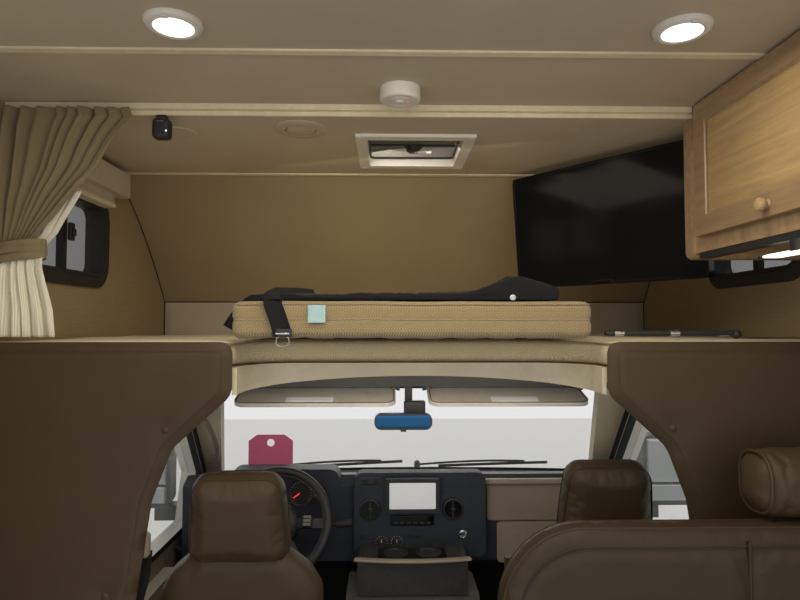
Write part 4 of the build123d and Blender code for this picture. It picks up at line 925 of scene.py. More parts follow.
def roundedOutline(corners, steps=8):
    # A closed outline through corners (u, v, radius), each rounded by an arc of its radius.
    points = []
    for k, (x, y, radius) in enumerate(corners):
        here = np.array([x, y])
        before = np.array(corners[k - 1][:2]) - here
        after = np.array(corners[(k + 1) % len(corners)][:2]) - here
        before /= np.linalg.norm(before)
        after /= np.linalg.norm(after)
        if radius == 0:
            points.append(here[None])
            continue
        halfTurn = math.acos(np.clip(before @ after, -1, 1)) / 2
        middle = here + (before + after) / np.linalg.norm(before + after) * radius / math.sin(halfTurn)
        start = here + before * radius / math.tan(halfTurn) - middle
        end = here + after * radius / math.tan(halfTurn) - middle
        t = np.linspace(0, 1, steps)[:, None]
        bend = (1 - t) * start + t * end
        points.append(middle + bend * radius / np.linalg.norm(bend, axis=1, keepdims=True))
    return np.concatenate(points)


def insetOutline(outline, distance):
    # The outline moved inwards along its normals. It runs anticlockwise.
    edge = evenlyRound(outline, 0.012)
    along = np.roll(edge, -1, axis=0) - np.roll(edge, 1, axis=0)
    along /= np.linalg.norm(along, axis=1, keepdims=True)
    return edge + np.stack([-along[:, 1], along[:, 0]], axis=-1) * distance


def fromGap(line):
    # An outline with a stretch cut out, reordered to run from one side of the gap to the other.
    gaps = np.linalg.norm(np.diff(line, axis=0, append=line[:1]), axis=1)
    return np.roll(line, -np.argmax(gaps) - 1, axis=0)


def stitches(path, normal, pitch=0.0075, length=0.0052, width=0.0011, closed=False):
    # Short raised threads along a path: one small box repeated at an even pitch.
    path = evenly(np.vstack([path, path[:1]]) if closed else path, pitch)
    ahead = np.gradient(path, axis=0)
    ahead /= np.linalg.norm(ahead, axis=1, keepdims=True)
    up = np.broadcast_to(np.asarray(normal, float), path.shape)
    side = np.cross(up, ahead)
    foot = np.array([(-1, -1, 0), (1, -1, 0), (1, 1, 0), (-1, 1, 0)])
    corner = np.concatenate([foot, foot * (0.6, 0.5, 0) + (0, 0, 1)]) * (length / 2, width / 2, width * 0.7)
    u, v, w = (corner[None, :, k:k + 1] for k in range(3))
    points = path[:, None] + u * ahead[:, None] + v * side[:, None] + w * up[:, None]
    sides = np.array([(4, 5, 6, 7), (0, 1, 5, 4), (1, 2, 6, 5), (2, 3, 7, 6), (3, 0, 4, 7)])
    faces = (sides[None] + 8 * np.arange(len(path))[:, None, None]).reshape(-1, 4)
    return points.reshape(-1, 3), faces


def button(place, axis, radius=0.011):
    # A covered button, domed and set in its dimple.
    profile = [(radius, -0.006), (radius, 0.0), (radius * 0.86, 0.0022), (radius * 0.5, 0.004),
               (radius * 0.1, 0.0046)]
    return lathe(profile, place, axis, 20)


# Padded partitions each side of the way into the cab

partitionValues = {
    "corners": [(0.5, 1.655, 0.028), (0.5, 1.515, 0.05), (0.655, 1.375, 0.09), (0.705, 1.24, 0.05),
                (0.742, 0.98, 0.05), (0.745, 0.201, 0.0), (1.169, 0.201, 0.0), (1.169, 1.655, 0.012)],
    "buttons": [(0.668, 1.426), (0.815, 1.002)],
    "edgeRadius": 0.018,
    "seamInset": 0.024,
}


def buildPartition(side, label):
    # A padded board with its stitched line and two buttons.
    middle = (partitionRear + partitionFront) / 2
    outline = roundedOutline(partitionValues["corners"])[::-1]
    dimples = [(x, z, 0.008, 0.03) for x, z in partitionValues["buttons"]]

    def place(u, v, w):
        return side * u, middle - w, v

    board = outlinePanel(outline, 0.0405, partitionValues["edgeRadius"], place, 0.016, 0.0, dimples, 0.0009)
    seam = insetOutline(outline[::-1], -partitionValues["seamInset"])
    seam = seam if seam[:, 0].min() > 0.5 else insetOutline(outline[::-1], partitionValues["seamInset"])
    reach = fromGap(seam[(seam[:, 1] > 0.23) & (seam[:, 0] < 1.14)])
    line = lineAt(side * reach[:, 0], middle - 0.0199, reach[:, 1])
    thread = stitches(line, toRear)
    buttons = [(button((side * x, middle - 0.0125, z), toRear), 0) for x, z in partitionValues["buttons"]]
    return makePiece(label, [(board, 0), (thread, 1), *buttons], [brownVinyl, seamThread], slot="dark_vinyl",
                     stands=("partitions",) if side < 0 else (), sharp=50)


leftPartition = buildPartition(-1, "leftPartitionPad")
rightPartition = buildPartition(1, "rightPartitionPad")
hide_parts("partitions")
print("partitions")


# Mattress with its notch, and the folded pad in two layers on it

bed = {
    "halfWidth": 1.166,
    "rear": partitionFront + 0.003,
    "front": 0.96,
    "notchHalf": 0.507,
    "notchFront": -0.116,
    "notchRadius": 0.148,
    "edge": 0.03,
    "tuftPitch": 0.098,
}
mattressOutline = roundedOutline([
    (-bed["halfWidth"], bed["rear"], 0.02),
    (-bed["notchHalf"], bed["rear"], 0.03),
    (-bed["notchHalf"], bed["notchFront"], bed["notchRadius"]),
    (bed["notchHalf"], bed["notchFront"], bed["notchRadius"]),
    (bed["notchHalf"], bed["rear"], 0.03),
    (bed["halfWidth"], bed["rear"], 0.02),
    (bed["halfWidth"], bed["front"], 0.03),
    (-bed["halfWidth"], bed["front"], 0.03),
])
mattressMiddle = mattressTop - 0.0375
mattress = outlinePanel(mattressOutline, 0.0745, bed["edge"], lambda u, v, w: (u, v, mattressMiddle + w),
                        0.03, 0.0, (), 0.0)
rise = np.clip((mattress[0][:, 2] - mattressMiddle) / 0.037, 0, 1)
mattress[0][:, 2] -= rise * 0.004 * (1 + sineNoise(mattress[0] * (1, 1, 0), 0.45, 7))
weltLine = insetOutline(mattressOutline, 0.004)
weltPath = np.column_stack([weltLine, np.full(len(weltLine), mattressTop - 0.012)])
welt = tube(weltPath, 0.0032, 8, closed=True)
bunkMattress = makePiece("bunkMattressCover", [(mattress, 0), (welt, 1)], [litMattressWeave, weltCloth],
                         slot="herringbone", stands=("bunk_mattress",), sharp=60)

padLow, padHigh = nodeBox("folded_pad")
padMiddle = (padLow + padHigh) / 2
padShell = roundedBox(padLow + (0.003, 0.005, 0.002), padHigh - (0.003, 0.005, 0.002), 0.023, 64,
                      crown=(0.001, 0.0015, 0.0), pinch=0.005)
padPoints = padShell[0]
fromBottom = np.exp(-np.clip(padPoints[:, 2] - padLow[2], 0, None) / 0.016)
tufts = np.abs(np.sin(math.pi * (padPoints[:, 0] - padLow[0]) / bed["tuftPitch"]))
padPoints[:, 2] += 0.0055 * fromBottom * (1 - tufts) ** 3
atSeam = np.exp(-((padPoints[:, 2] - padMiddle[2]) / 0.007) ** 2)
padPoints[:, :2] += (padMiddle[:2] - padPoints[:, :2]) * 0.006 * atSeam[:, None]
padPoints[:, 2] += 0.002 * sineNoise(padPoints * (1, 0.4, 0), 0.35, 3)


def padRing(z, grow, radius):
    # A cord round the pad at a height, just proud of its side.
    size = padHigh[:2] - padLow[:2] - 0.01 + grow
    ring = roundRect(size[0], size[1], 0.024) + padMiddle[:2]
    ring = evenlyRound(ring, 0.012)
    ring = np.column_stack([ring, np.full(len(ring), z)])
    ring[:, 2] += 0.002 * sineNoise(ring * (1, 0.4, 0), 0.35, 3)
    return tube(ring, radius, 8, closed=True)


layerCord = padRing(padMiddle[2] + 0.001, -0.001, 0.0016)
topCord = padRing(padHigh[2] - 0.011, -0.004, 0.0022)
foldedPad = makePiece("foldedPadCover", [(padShell, 0), (layerCord, 1), (topCord, 0)],
                      [herringbone, weltCloth], slot="herringbone", stands=("folded_pad",))
print("bed")


# Flat black bag on the pad, with its straps, steel tongue and blank tag

bagLow, bagHigh = nodeBox("net_bag")
bagBody = roundedBox(bagLow + (0.004, 0.004, 0.001), bagHigh - (0.004, 0.004, 0.002), 0.007, 90)
bagPoints = bagBody[0]
swell = np.clip((bagPoints[:, 2] - bagLow[2] - 0.004) / 0.008, 0, 1)
toRight = (bagPoints[:, 0] - bagLow[0]) / (bagHigh[0] - bagLow[0])
crumple = sineNoise(bagPoints * (1.0, 2.6, 0.2), 0.16, 11)
crumple += 0.5 * sineNoise(bagPoints * (1.6, 2.0, 0.2), 0.05, 13)
heap = np.exp(-((toRight - 0.86) / 0.11) ** 2)
bagPoints[:, 2] += swell * (-0.004 + 0.016 * toRight + 0.034 * heap + (0.006 + 0.008 * heap) * crumple)
bagPoints[:, 1] += 0.004 * sineNoise(bagPoints * (1, 0, 0), 0.23, 12)


def strap(path, width, thickness=0.0018):
    # Flat webbing along a path, with rounded edges.
    return sweep(roundRect(width, thickness, thickness * 0.45, 3), evenly(path, 0.008))


top = float(bagHigh[2]) - 0.001
rearFace = float(padLow[1])
strapPath = np.array([
    (-0.3, -0.2, top), (-0.345, -0.27, top), (-0.385, -0.335, top - 0.003),
    (-0.397, rearFace - 0.001, top - 0.012), (-0.393, rearFace - 0.004, top - 0.03),
    (-0.38, rearFace - 0.005, 1.72), (-0.366, rearFace - 0.005, 1.676),
])
spread = []
for y in (-0.3, -0.235, -0.165):
    path = [(-0.36, y, top), (-0.1, y + 0.02, top + 0.0005), (0.16, y - 0.015, top),
            (0.36, y + 0.01, top - 0.001)]
    spread.append((strap(path, 0.035), 0))
hanging = sweep(roundRect(0.048, 0.0016, 0.0007, 3), evenly(strapPath, 0.006), (0.25, -1, 0.35))
adjuster = roundedBox((-0.394, rearFace - 0.0105, 1.668), (-0.342, rearFace - 0.003, 1.69), 0.0025, 8)
adjusterBar = roundedBox((-0.388, rearFace - 0.0118, 1.675), (-0.348, rearFace - 0.01, 1.679), 0.0008, 5)
tongueRing = frameStrip((0.034, 0.026), (0.011, 8), (-0.366, rearFace - 0.006, 1.657), 1,
                        (0.0022, 0.007, 0.0008), 0.004)
tailPath = np.array([(-0.44, -0.175, top - 0.01), (-0.49, -0.178, top - 0.013), (-0.52, -0.182, 1.744),
                     (-0.538, -0.186, 1.716), (-0.553, -0.192, 1.69)])
tail = sweep(roundRect(0.04, 0.0022, 0.0009, 3), evenly(tailPath, 0.006), (0.3, -1, 0.4))
snapProfile = [(0.0085, 0.0), (0.0085, 0.0016), (0.006, 0.003), (0.003, 0.0024), (0.001, 0.0022)]
snap = lathe(snapProfile, (0.252, -0.335, 1.7745), toRear, 24)
bagShells = [(bagBody, 0), (tail, 0), (snap, 1), *spread, (hanging, 0), (adjuster, 2), (adjusterBar, 1),
             (tongueRing, 1)]
bag = makePiece("flatBag", bagShells, [blackWeb, brushedSteel, blackPlastic], slot="net_black",
                stands=("net_bag",), sharp=60)
tag = roundedBox((-0.301, rearFace - 0.0035, 1.706), (-0.254, rearFace - 0.002, 1.753), 0.0007, 8)
tag[0][:, 1] -= 0.0025 * np.clip((1.73 - tag[0][:, 2]) / 0.03, 0, 1) ** 2
makePiece("padTag", [(tag, 0)], [blueTag], slot="net_black")
print("bag")


# Curtain: pleats hang from the track, draw in to the tieback and spring out again below it

curtainValues = {
    "wall": -(innerHalf - 0.012),
    "top": 2.306,
    "tie": 1.905,
    "middleY": -0.296,
    "folds": 9,
}


def curtainSheet(z, widths, depths, start, end, folds, seed, thickness=0.0):
    # x follows the width at each height, and y waves across the pleats; each pleat leans a little.
    rows = np.linspace(0, 1, len(z))
    along, down = np.meshgrid(np.linspace(0, 1, 260), rows)
    first = np.broadcast_to(np.asarray(start, float), (len(z),))[:, None]
    across = first + (end - first) * along
    width, depth = np.asarray(widths)[:, None], np.asarray(depths)[:, None]
    lean = 0.05 * np.sin(3.1 * down + 5 * across + seed)
    uneven = 0.03 * np.sin(8.2 * across + 1.0 + seed) + 0.016 * np.sin(19.5 * across + 2.5)
    phase = 2 * math.pi * folds * (across + uneven + lean * 0.35)
    swing = 0.78 + 0.3 * np.sin(10.7 * across + 0.6 + seed + 1.5 * down)
    x = curtainValues["wall"] + width * (across + 0.012 * np.sin(phase + 0.8))
    wave = np.sin(phase) + 0.28 * np.sin(2.1 * phase + 3 * down)
    y = curtainValues["middleY"] + depth * swing * wave * 0.85 - thickness
    sheet = np.stack([x, y, np.broadcast_to(np.asarray(z)[:, None], x.shape)], axis=-1)
    crease = sineNoise(sheet.reshape(-1, 3) * (1.0, 0.2, 0.6), 0.07, 17).reshape(x.shape)
    sheet[..., 1] += 0.0032 * crease * np.minimum(1, depth / 0.02)
    return sheet


curtainZ = np.concatenate([np.linspace(curtainValues["top"], 1.93, 60), np.linspace(1.925, 1.885, 14),
                           np.linspace(1.88, 1.668, 36)])
curtainWidth = np.interp(curtainZ, [1.666, 1.76, 1.885, 1.905, 1.93, 2.064, 2.135, 2.213, 2.25, 2.28, 2.306],
                         [0.07, 0.066, 0.072, 0.074, 0.086, 0.198, 0.262, 0.308, 0.334, 0.362, 0.352])
curtainDepth = np.interp(curtainZ, [1.666, 1.78, 1.885, 1.925, 2.05, 2.26, 2.306],
                         [0.016, 0.014, 0.01, 0.01, 0.02, 0.022, 0.015])


def clothPiece(name, points, material, thickness=0.0011, **words):
    # A grid of points as one sheet, with a UV map in metres along and down the cloth.
    verts, faces = gridSurface(points)
    piece = makePiece(name, [((verts, faces), 0)], [material], slot="curtain_cloth", weld=0.0, **words)
    rows, columns = points.shape[:2]
    u = np.concatenate([[0], np.cumsum(np.linalg.norm(np.diff(points[0], axis=0), axis=1))])
    v = np.concatenate([[0], np.cumsum(np.linalg.norm(np.diff(points[:, 0], axis=0), axis=1))])
    flat = np.stack(np.meshgrid(u, v), axis=-1).reshape(-1, 2)
    layer = piece.data.uv_layers.new(name="cloth")
    corner = np.empty(len(piece.data.loops), dtype=int)
    piece.data.loops.foreach_get("vertex_index", corner)
    layer.data.foreach_set("uv", flat[corner].ravel())
    wall = piece.modifiers.new("thickness", "SOLIDIFY")
    wall.thickness = thickness
    wall.offset = 0
    return piece


khaki = curtainSheet(curtainZ, curtainWidth, curtainDepth, 0.0, 1.0, curtainValues["folds"], 0.4)
curtainPiece = clothPiece("bunkCurtain", khaki, curtainCloth, stands=("curtain",))
tall = curtainValues["top"] - curtainZ[-1]

liningWidth = np.interp(curtainZ, [1.666, 1.74, 1.873, 1.905, 1.93, 2.0, 2.064, 2.306],
                        [0.172, 0.162, 0.126, 0.12, 0.128, 0.166, 0.204, 0.3])
liningStart = np.interp(curtainZ, [1.666, 1.85, 1.905, 2.0], [0.06, 0.1, 0.3, 0.42])
liningRows = curtainZ < 2.08
liningDepth = curtainDepth[liningRows] * np.where(curtainZ[liningRows] > 1.9, 0.3, 1.15)
lining = curtainSheet(curtainZ[liningRows], liningWidth[liningRows], liningDepth,
                      liningStart[liningRows], 1.0, 5, 0.9)
fromTie = lining[..., 2] - curtainValues["tie"]
lining[..., 1] += np.where(fromTie > 0, 0.029, -0.018) * np.clip(np.abs(fromTie) / 0.05, 0, 1)
liningPiece = clothPiece("curtainLining", lining, liningCloth)

# Tieback: a folded band round the gathered cloth, held at the wall
t = np.linspace(0, 2 * math.pi, 72)
bands = []
for rise, grow, tilt in ((0.017, 0.0, 0.4), (0.0, 0.0022, 0.9), (-0.016, 0.001, 0.2)):
    bandX = curtainValues["wall"] + 0.06 + (0.066 + grow) * np.cos(t)
    bandY = curtainValues["middleY"] + (0.0265 + grow) * np.sin(t)
    bandPath = lineAt(bandX, bandY, 1.899 + rise + 0.01 * np.cos(t + tilt))
    band = sweep(roundRect(0.004, 0.021, 0.0018, 4), bandPath[:-1], (0, 0, 1), closed=True)
    band[0][:, 1] += 0.0014 * sineNoise(band[0], 0.03, 21)
    bands.append((band, 0))
makePiece("curtainTieback", bands, [bandCloth], slot="curtain_cloth")
gliders = []
for x in np.linspace(-1.145, -0.87, 10):
    gliders.append((roundedBox((x - 0.007, -0.265, curtainValues["top"]), (x + 0.007, -0.256, 2.3135),
                               0.002, 4), 0))
makePiece("curtainGliders", gliders, [whitePlastic], slot="white_plastic")
print("curtain")


# Cushions: crowned closed covers with piped edges and pulled corners


def cushionShell(low, high, radius, crown, count=22, pinch=0.012, wrinkle=0.0025, seed=1):
    # A rounded box swollen on its wide faces, its corners drawn in and its surface rippled.
    low, high = np.array(low), np.array(high)
    points, faces = roundedBox(low, high, radius, count, crown=crown, pinch=pinch)
    middle, half = (low + high) / 2, (high - low) / 2
    local = (points - middle) / half
    toCorner = np.clip(np.sort(np.abs(local), axis=1)[:, 1], 0, 1) ** 6
    ripple = sineNoise(points, 0.11, seed) * (0.35 + 0.65 * toCorner) * wrinkle
    away = local / np.maximum(np.linalg.norm(local, axis=1, keepdims=True), 1e-6)
    return points + away * ripple[:, None], faces


def pipingPath(low, high, level, axis, inset=0.004, corner=0.05):
    # The rounded outline of a box at one level of an axis.
    low, high = np.array(low, float), np.array(high, float)
    others = [k for k in range(3) if k != axis]
    size, middle = (high - low)[others] - 2 * inset, ((low + high) / 2)[others]
    ring = evenlyRound(roundRect(*size, corner), 0.01) + middle
    path = np.empty((len(ring), 3))
    path[:, others] = ring
    path[:, axis] = level
    return path


def piping(low, high, level, axis, radius=0.0042, inset=0.004, corner=0.05):
    # A cord that follows the piping's path.
    up = [0, 0, 0]
    up[axis] = 1
    return tube(pipingPath(low, high, level, axis, inset, corner), radius, 8, closed=True, up=tuple(up))


# Bench by the passenger's side: seat, back and the bolster over it

benchValues = {"seatRadius": 0.034, "backRadius": 0.034, "seamX": 0.712, "pipeInset": 0.026, "crown": 0.006}

seatLow, seatHigh = nodeBox("bench_seat_cushion")
crown = benchValues["crown"]
seatShell = cushionShell(seatLow, seatHigh - (0, 0, crown), benchValues["seatRadius"], (0, 0, crown), 34,
                         seed=31)
seatLevels = (seatHigh[2] - 0.024, seatLow[2] + benchValues["pipeInset"])
seatSeams = [pipingPath(seatLow, seatHigh, z, 2) for z in seatLevels]
seatShell = puffed(seatShell, seatSeams, 0.01, 0.007)
seatPipes = [(piping(seatLow, seatHigh, z, 2), 0) for z in seatLevels]
benchSeat = makePiece("benchSeatCover", [(seatShell, 0), *seatPipes], [shadedBenchVinyl, seamThread],
                      slot="dark_vinyl", stands=("bench_seat_cushion",))

backLow, backHigh = nodeBox("bench_back_cushion")
backOutline = roundedOutline([
    (backLow[0] + 0.002, backLow[2] + 0.002, 0.03), (backHigh[0] - 0.002, backLow[2] + 0.002, 0.03),
    (backHigh[0] - 0.002, backHigh[2] - 0.002, 0.04), (backLow[0] + 0.002, backHigh[2] - 0.002, 0.19),
], 14)
backMiddle = (backLow[1] + backHigh[1]) / 2
backDepth = backHigh[1] - backLow[1]
boardDepth = backDepth - 0.018
benchBackShell = outlinePanel(backOutline, boardDepth, benchValues["backRadius"],
                              lambda u, v, w: (u, backMiddle - w, v), 0.018, 0.008, (), 0.0016)
rimSeam = insetOutline(backOutline, 0.006)
pipeAt = backDepth / 2 - benchValues["pipeInset"]
backSeams = [lineAt(rimSeam[:, 0], backMiddle + at, rimSeam[:, 1]) for at in (-pipeAt, pipeAt)]
backPipes = [(tube(seam, 0.0042, 8, closed=True, up=(0, 1, 0)), 0) for seam in backSeams]
seamX = benchValues["seamX"]
seamZ = np.linspace(backLow[2] + 0.03, backHigh[2] - 0.03, 60)
seamFace = backMiddle - boardDepth / 2 - 0.0072
seamPipe = tube(lineAt(seamX, seamFace, seamZ), 0.0042, 8)
innerSeam = insetOutline(backOutline, 0.04)
innerSeam = fromGap(innerSeam[innerSeam[:, 1] > backLow[2] + 0.06])
innerSeam = lineAt(innerSeam[:, 0], backMiddle - boardDepth / 2 - 0.0042, innerSeam[:, 1])
seamCord = tube(innerSeam, 0.0022, 8, up=(0, 1, 0))
seamThreads = stitches(innerSeam - (0, 0.0012, 0.006), toRear)
seamRun = lineAt(seamX, seamFace + 0.006, seamZ)
benchBackShell = puffed(benchBackShell, [*backSeams, seamRun, innerSeam + (0, 0.003, 0)], 0.0095, 0.007)
backShells = [(benchBackShell, 0), *backPipes, (seamPipe, 0), (seamCord, 1), (seamThreads, 1)]
benchBack = makePiece("benchBackCover", backShells, [shadedBenchVinyl, seamThread], slot="dark_vinyl",
                      stands=("bench_back_cushion",), sharp=60)

bolsterLow, bolsterHigh = nodeBox("bench_bolster")
bolsterEnds = (bolsterLow[0] + 0.022, bolsterHigh[0] - 0.022)
bolsterShell = cushionShell(bolsterLow + (0.002, 0.003, 0.001), bolsterHigh - (0.002, 0.003, 0.006), 0.052,
                            (0.0, 0.003, 0.005), 26, seed=37)
bolsterSeams = [pipingPath(bolsterLow, bolsterHigh, x, 0, 0.008) for x in bolsterEnds]
bolsterShell = puffed(bolsterShell, bolsterSeams, 0.007, 0.006)
bolsterPipe = [(piping(bolsterLow, bolsterHigh, x, 0, inset=0.008), 0) for x in bolsterEnds]
benchBolster = makePiece("benchBolsterCover", [(bolsterShell, 0), *bolsterPipe], [brownVinyl, seamThread],
                         slot="dark_vinyl", stands=("bench_bolster",))
print("bench")


# Cab seats: cushion with side rolls, a back that leans, a headrest and its posts

cabSeats = (("driver", -0.5, -0.137766), ("passenger", 0.568, -0.019766))  # with x and the hinge's y
seatValues = {
    "cushionHalf": 0.24, "low": 0.435, "high": 0.57, "hingeToRear": 0.067, "hingeToFront": 0.507,
    "lean": 11.0, "pipe": 0.0036,
}


def seatBack(x, hingeY):
    # Shells of one seat back, drawn upright at the hinge and leant back about it.
    hinge = np.array([x, hingeY, seatValues["high"]])
    heights = np.array([0.016, 0.1, 0.25, 0.395, 0.455, 0.5])
    halves = np.array([0.226, 0.233, 0.234, 0.232, 0.2, 0.15])
    rows = np.linspace(0.016, 0.522, 34)
    half = np.interp(rows, heights, halves)
    atTop = np.sqrt(np.clip(1 - np.clip((rows - 0.47) / 0.056, 0, 1) ** 2, 0.05, 1))
    atFoot = np.sqrt(np.clip(1 - np.clip((0.05 - rows) / 0.04, 0, 1) ** 2, 0.05, 1))
    ends = atTop * atFoot
    turn = np.linspace(0, 2 * math.pi, 72, endpoint=False)
    c, s = np.cos(turn), np.sin(turn)
    power = 2 / 4.6
    across = np.sign(c) * np.abs(c) ** power
    through = np.sign(s) * np.abs(s) ** power
    bolster = 1 + 0.3 * np.exp(-((np.abs(across) - 0.82) / 0.16) ** 2) * (s > 0)
    deep = 0.04 + 0.008 * np.sin(math.pi * np.clip(rows / 0.5, 0, 1))
    px = half[:, None] * (0.86 + 0.14 * ends[:, None]) * across
    py = (deep * ends)[:, None] * through * bolster
    pz = np.broadcast_to(rows[:, None], px.shape)
    body = gridSurface(np.stack([px, py, pz], axis=-1), closeColumns=True)
    for at, flip in ((0, True), (len(rows) - 1, False)):
        ring = lineAt(px[at], py[at], pz[at])
        body = joined(body, (ring, [list(range(72))[::-1] if flip else list(range(72))]))
    body[0][:, 1] += 0.0022 * sineNoise(body[0], 0.1, 41 + int(10 * abs(x)))
    body = puffed(body, [], 0.009, 0.006)
    u, v = np.linspace(-0.15, 0.15, 40), np.linspace(0.075, 0.425, 40)
    seams = [lineAt(u, 0.0468, level) for level in (0.075, 0.425)]
    seams += [lineAt(x, 0.0455 + 0.002 * np.sin(v * 7), v) for x in (-0.152, 0.152)]
    panelLine = [(tube(seam, seatValues["pipe"], 8, up=(0, 1, 0)), 1) for seam in seams]

    def narrowed(shell):
        # The headrest is narrower towards its top.
        shell[0][:, 0] *= 1 - 0.13 * np.clip((shell[0][:, 2] - 0.5) / 0.23, 0, 1) ** 1.5
        return shell

    low, high, depths = (-0.138, -0.052, 0.486), (0.138, 0.048, 0.731), (-0.03, 0.026)
    head = cushionShell((-0.14, -0.054, 0.484), (0.14, 0.05, 0.733), 0.046, (0.0, 0.004, 0.002), 28, seed=43)
    headSeams = [pipingPath(low, high, depth, 1, 0.003, 0.045) for depth in depths]
    head = puffed(narrowed(head), headSeams, 0.007, 0.006)
    headPipes = [(narrowed(piping(low, high, depth, 1, 0.0032, 0.003, 0.045)), 1) for depth in depths]
    shells = [(body, 0), *panelLine, (head, 0), *headPipes]
    lean = seatValues["lean"]
    return [(placed(moved(shell, hinge), lean, (1, 0, 0), hinge), index) for shell, index in shells]


def seatCushion(x, hingeY):
    # Shells of one seat cushion: side rolls, a hollow and a rounded front edge, and its piping.
    values = seatValues
    rear, front = hingeY + values["hingeToRear"], hingeY + values["hingeToFront"]
    half, top, pipeZ = values["cushionHalf"], values["high"], values["low"] + 0.028
    low, high = (x - half, rear, values["low"]), (x + half, front, top)
    shell = cushionShell(np.array(low) + 0.003, np.array(high) - (0.003, 0.003, 0.012), 0.042,
                         (0, 0.0, 0.004), 30, seed=47)
    points = shell[0]
    u = (points[:, 0] - x) / half
    raised = np.clip((points[:, 2] - values["low"] - 0.06) / 0.06, 0, 1)
    horns = 0.01 * np.exp(-((np.abs(u) - 0.8) / 0.16) ** 2) - 0.01 * np.exp(-(u / 0.55) ** 4)
    points[:, 2] += raised * horns
    points[:, 2] -= 0.014 * np.clip((points[:, 1] - front + 0.12) / 0.12, 0, 1) ** 2 * raised
    shell = puffed(shell, [pipingPath(low, high, pipeZ, 2)], 0.009, 0.006)
    pipes = [(piping(low, high, pipeZ, 2, 0.0038), 1)]
    v = np.linspace(rear + 0.03, front - 0.05, 40)
    level = np.full(40, top - 0.0175) + 0.003 * np.sin((v - rear) * 6)
    pipes += [(tube(lineAt(x + side * 0.15, v, level), values["pipe"], 8), 1) for side in (-1, 1)]
    u = np.linspace(x - 0.148, x + 0.148, 30)
    pipes += [(tube(lineAt(u, v, top - 0.0165), 0.0032, 8), 1) for v in (rear + 0.15, rear + 0.29)]
    return [(shell, 0), *pipes]


for who, x, hingeY in cabSeats:
    cover = makePiece(who + "SeatCushionCover", seatCushion(x, hingeY), [brownVinyl, seamThread],
                      body=who + "_seat", slot="dark_vinyl", stands=(who + "_seat_cushion",))
    backCover = makePiece(who + "SeatBackCover", seatBack(x, hingeY), [brownVinyl, seamThread],
                          body=who + "_seat_back", slot="dark_vinyl", stands=(who + "_seat_back",))
print("cab seats")


# Television: thin bezel, chin, back housing with its slots, and a standby light

tvValues = {
    "centre": (0.664, 0.131, 2.061), "turn": -51.4, "tilt": 5.0,
    "width": 0.73, "depth": 0.04, "height": 0.43,
    "pivot": (0.728, 0.182), "boltsY": (0.385, 0.455), "boltsUp": 0.055,
}


def onTelevision(shell):
    # From the set's own axes (x across, y away from the viewer, z up) to its place on the arm.
    centre = np.array(tvValues["centre"])
    tilted = placed(shell, tvValues["tilt"], (1, 0, 0), (0, 0, 0))
    faced = placed(tilted, tvValues["turn"], (0, 0, 1), (0, 0, 0))
    return moved(faced, centre)


def buildTelevision():
    # The details of the set, in its own axes.
    wide, deep, high = tvValues["width"], tvValues["depth"], tvValues["height"]
    bezel = frameStrip((wide - 0.006, high - 0.006), (0.008, 5), (0, -deep / 2 - 0.0004, 0), 1,
                       (0.01, 0.0024, 0.001), 0.02)
    left, foot, front, back = -wide / 2, -high / 2, -deep / 2, deep / 2
    chin = roundedBox((-0.045, front - 0.0016, foot + 0.001), (0.045, front + 0.003, foot + 0.014), 0.0015,
                      6)
    housing = roundedBox((left + 0.06, back - 0.012, foot + 0.035),
                         (-left - 0.06, back + 0.016, -foot - 0.1), 0.012, 12)
    slots = []
    for x in np.linspace(-0.24, 0.24, 17):
        near, far = (x - 0.011, back + 0.0152, -0.16), (x + 0.011, back + 0.0172, -0.125)
        slots.append((roundedBox(near, far, 0.0009, 4), 0))
    standby = roundedBox((left + 0.05, front - 0.0022, foot + 0.0065),
                         (left + 0.057, front - 0.0008, foot + 0.0095), 0.0006, 4)
    shells = [(bezel, 0), (chin, 0), (housing, 1), *slots, (standby, 2)]
    return makePiece("televisionDetail", [(onTelevision(shell), index) for shell, index in shells],
                     [glossBlack, blackPlastic, redGlow], body="television", slot="screen_black")


buildTelevision()

armFootX = float(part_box("tv_arm")[1][0])
pivotProfile = [(0.026, -0.036), (0.026, -0.033), (0.02, -0.03), (0.02, 0.03), (0.026, 0.033),
                (0.026, 0.036)]
tvZ = tvValues["centre"][2]
pivotCap = lathe(pivotProfile, (*tvValues["pivot"], tvZ), (0, 0, 1), 32)
footBolts = [(lathe([(0.009, 0.0), (0.009, 0.004), (0.006, 0.006)],
                    (armFootX - 0.0125, y, tvZ + up), (-1, 0, 0), 6), 1)
             for y in tvValues["boltsY"] for up in (-tvValues["boltsUp"], tvValues["boltsUp"])]
makePiece("tvArmDetail", [(pivotCap, 0), *footBolts], [blackPlastic, steel], slot="black_plastic", sharp=40)
print("television")


# Overhead cabinet: moulding, panel and knob on the door, hinges, and the light bar's lens

doorLow, doorHigh = nodeBox("cabinet_door")
cabinetValues = {"rail": 0.055, "face": 0.781}


def mouldedFrame(low, high, face, width, rise):
    # A moulding strip round a rectangle in the y, z plane; its section is an ogee.
    (y0, z0), (y1, z1) = low, high
    path = np.array([(face, y0, z0), (face, y1, z0), (face, y1, z1), (face, y0, z1)])
    section = [(-1, 0), (-0.8, 0.5), (-0.45, 1), (0, 0.85), (0.35, 0.3), (0.8, 0.15), (1, 0)]
    section = np.array(section) * (width, rise)
    rings = []
    for k, point in enumerate(path):
        back, ahead = point - path[k - 1], path[(k + 1) % 4] - point
        back, ahead = back / np.linalg.norm(back), ahead / np.linalg.norm(ahead)
        rings.append(point + section[:, :1] * (ahead - back) + section[:, 1:] * (-1.0, 0, 0))
    return gridSurface(np.array(rings), closeRows=True)


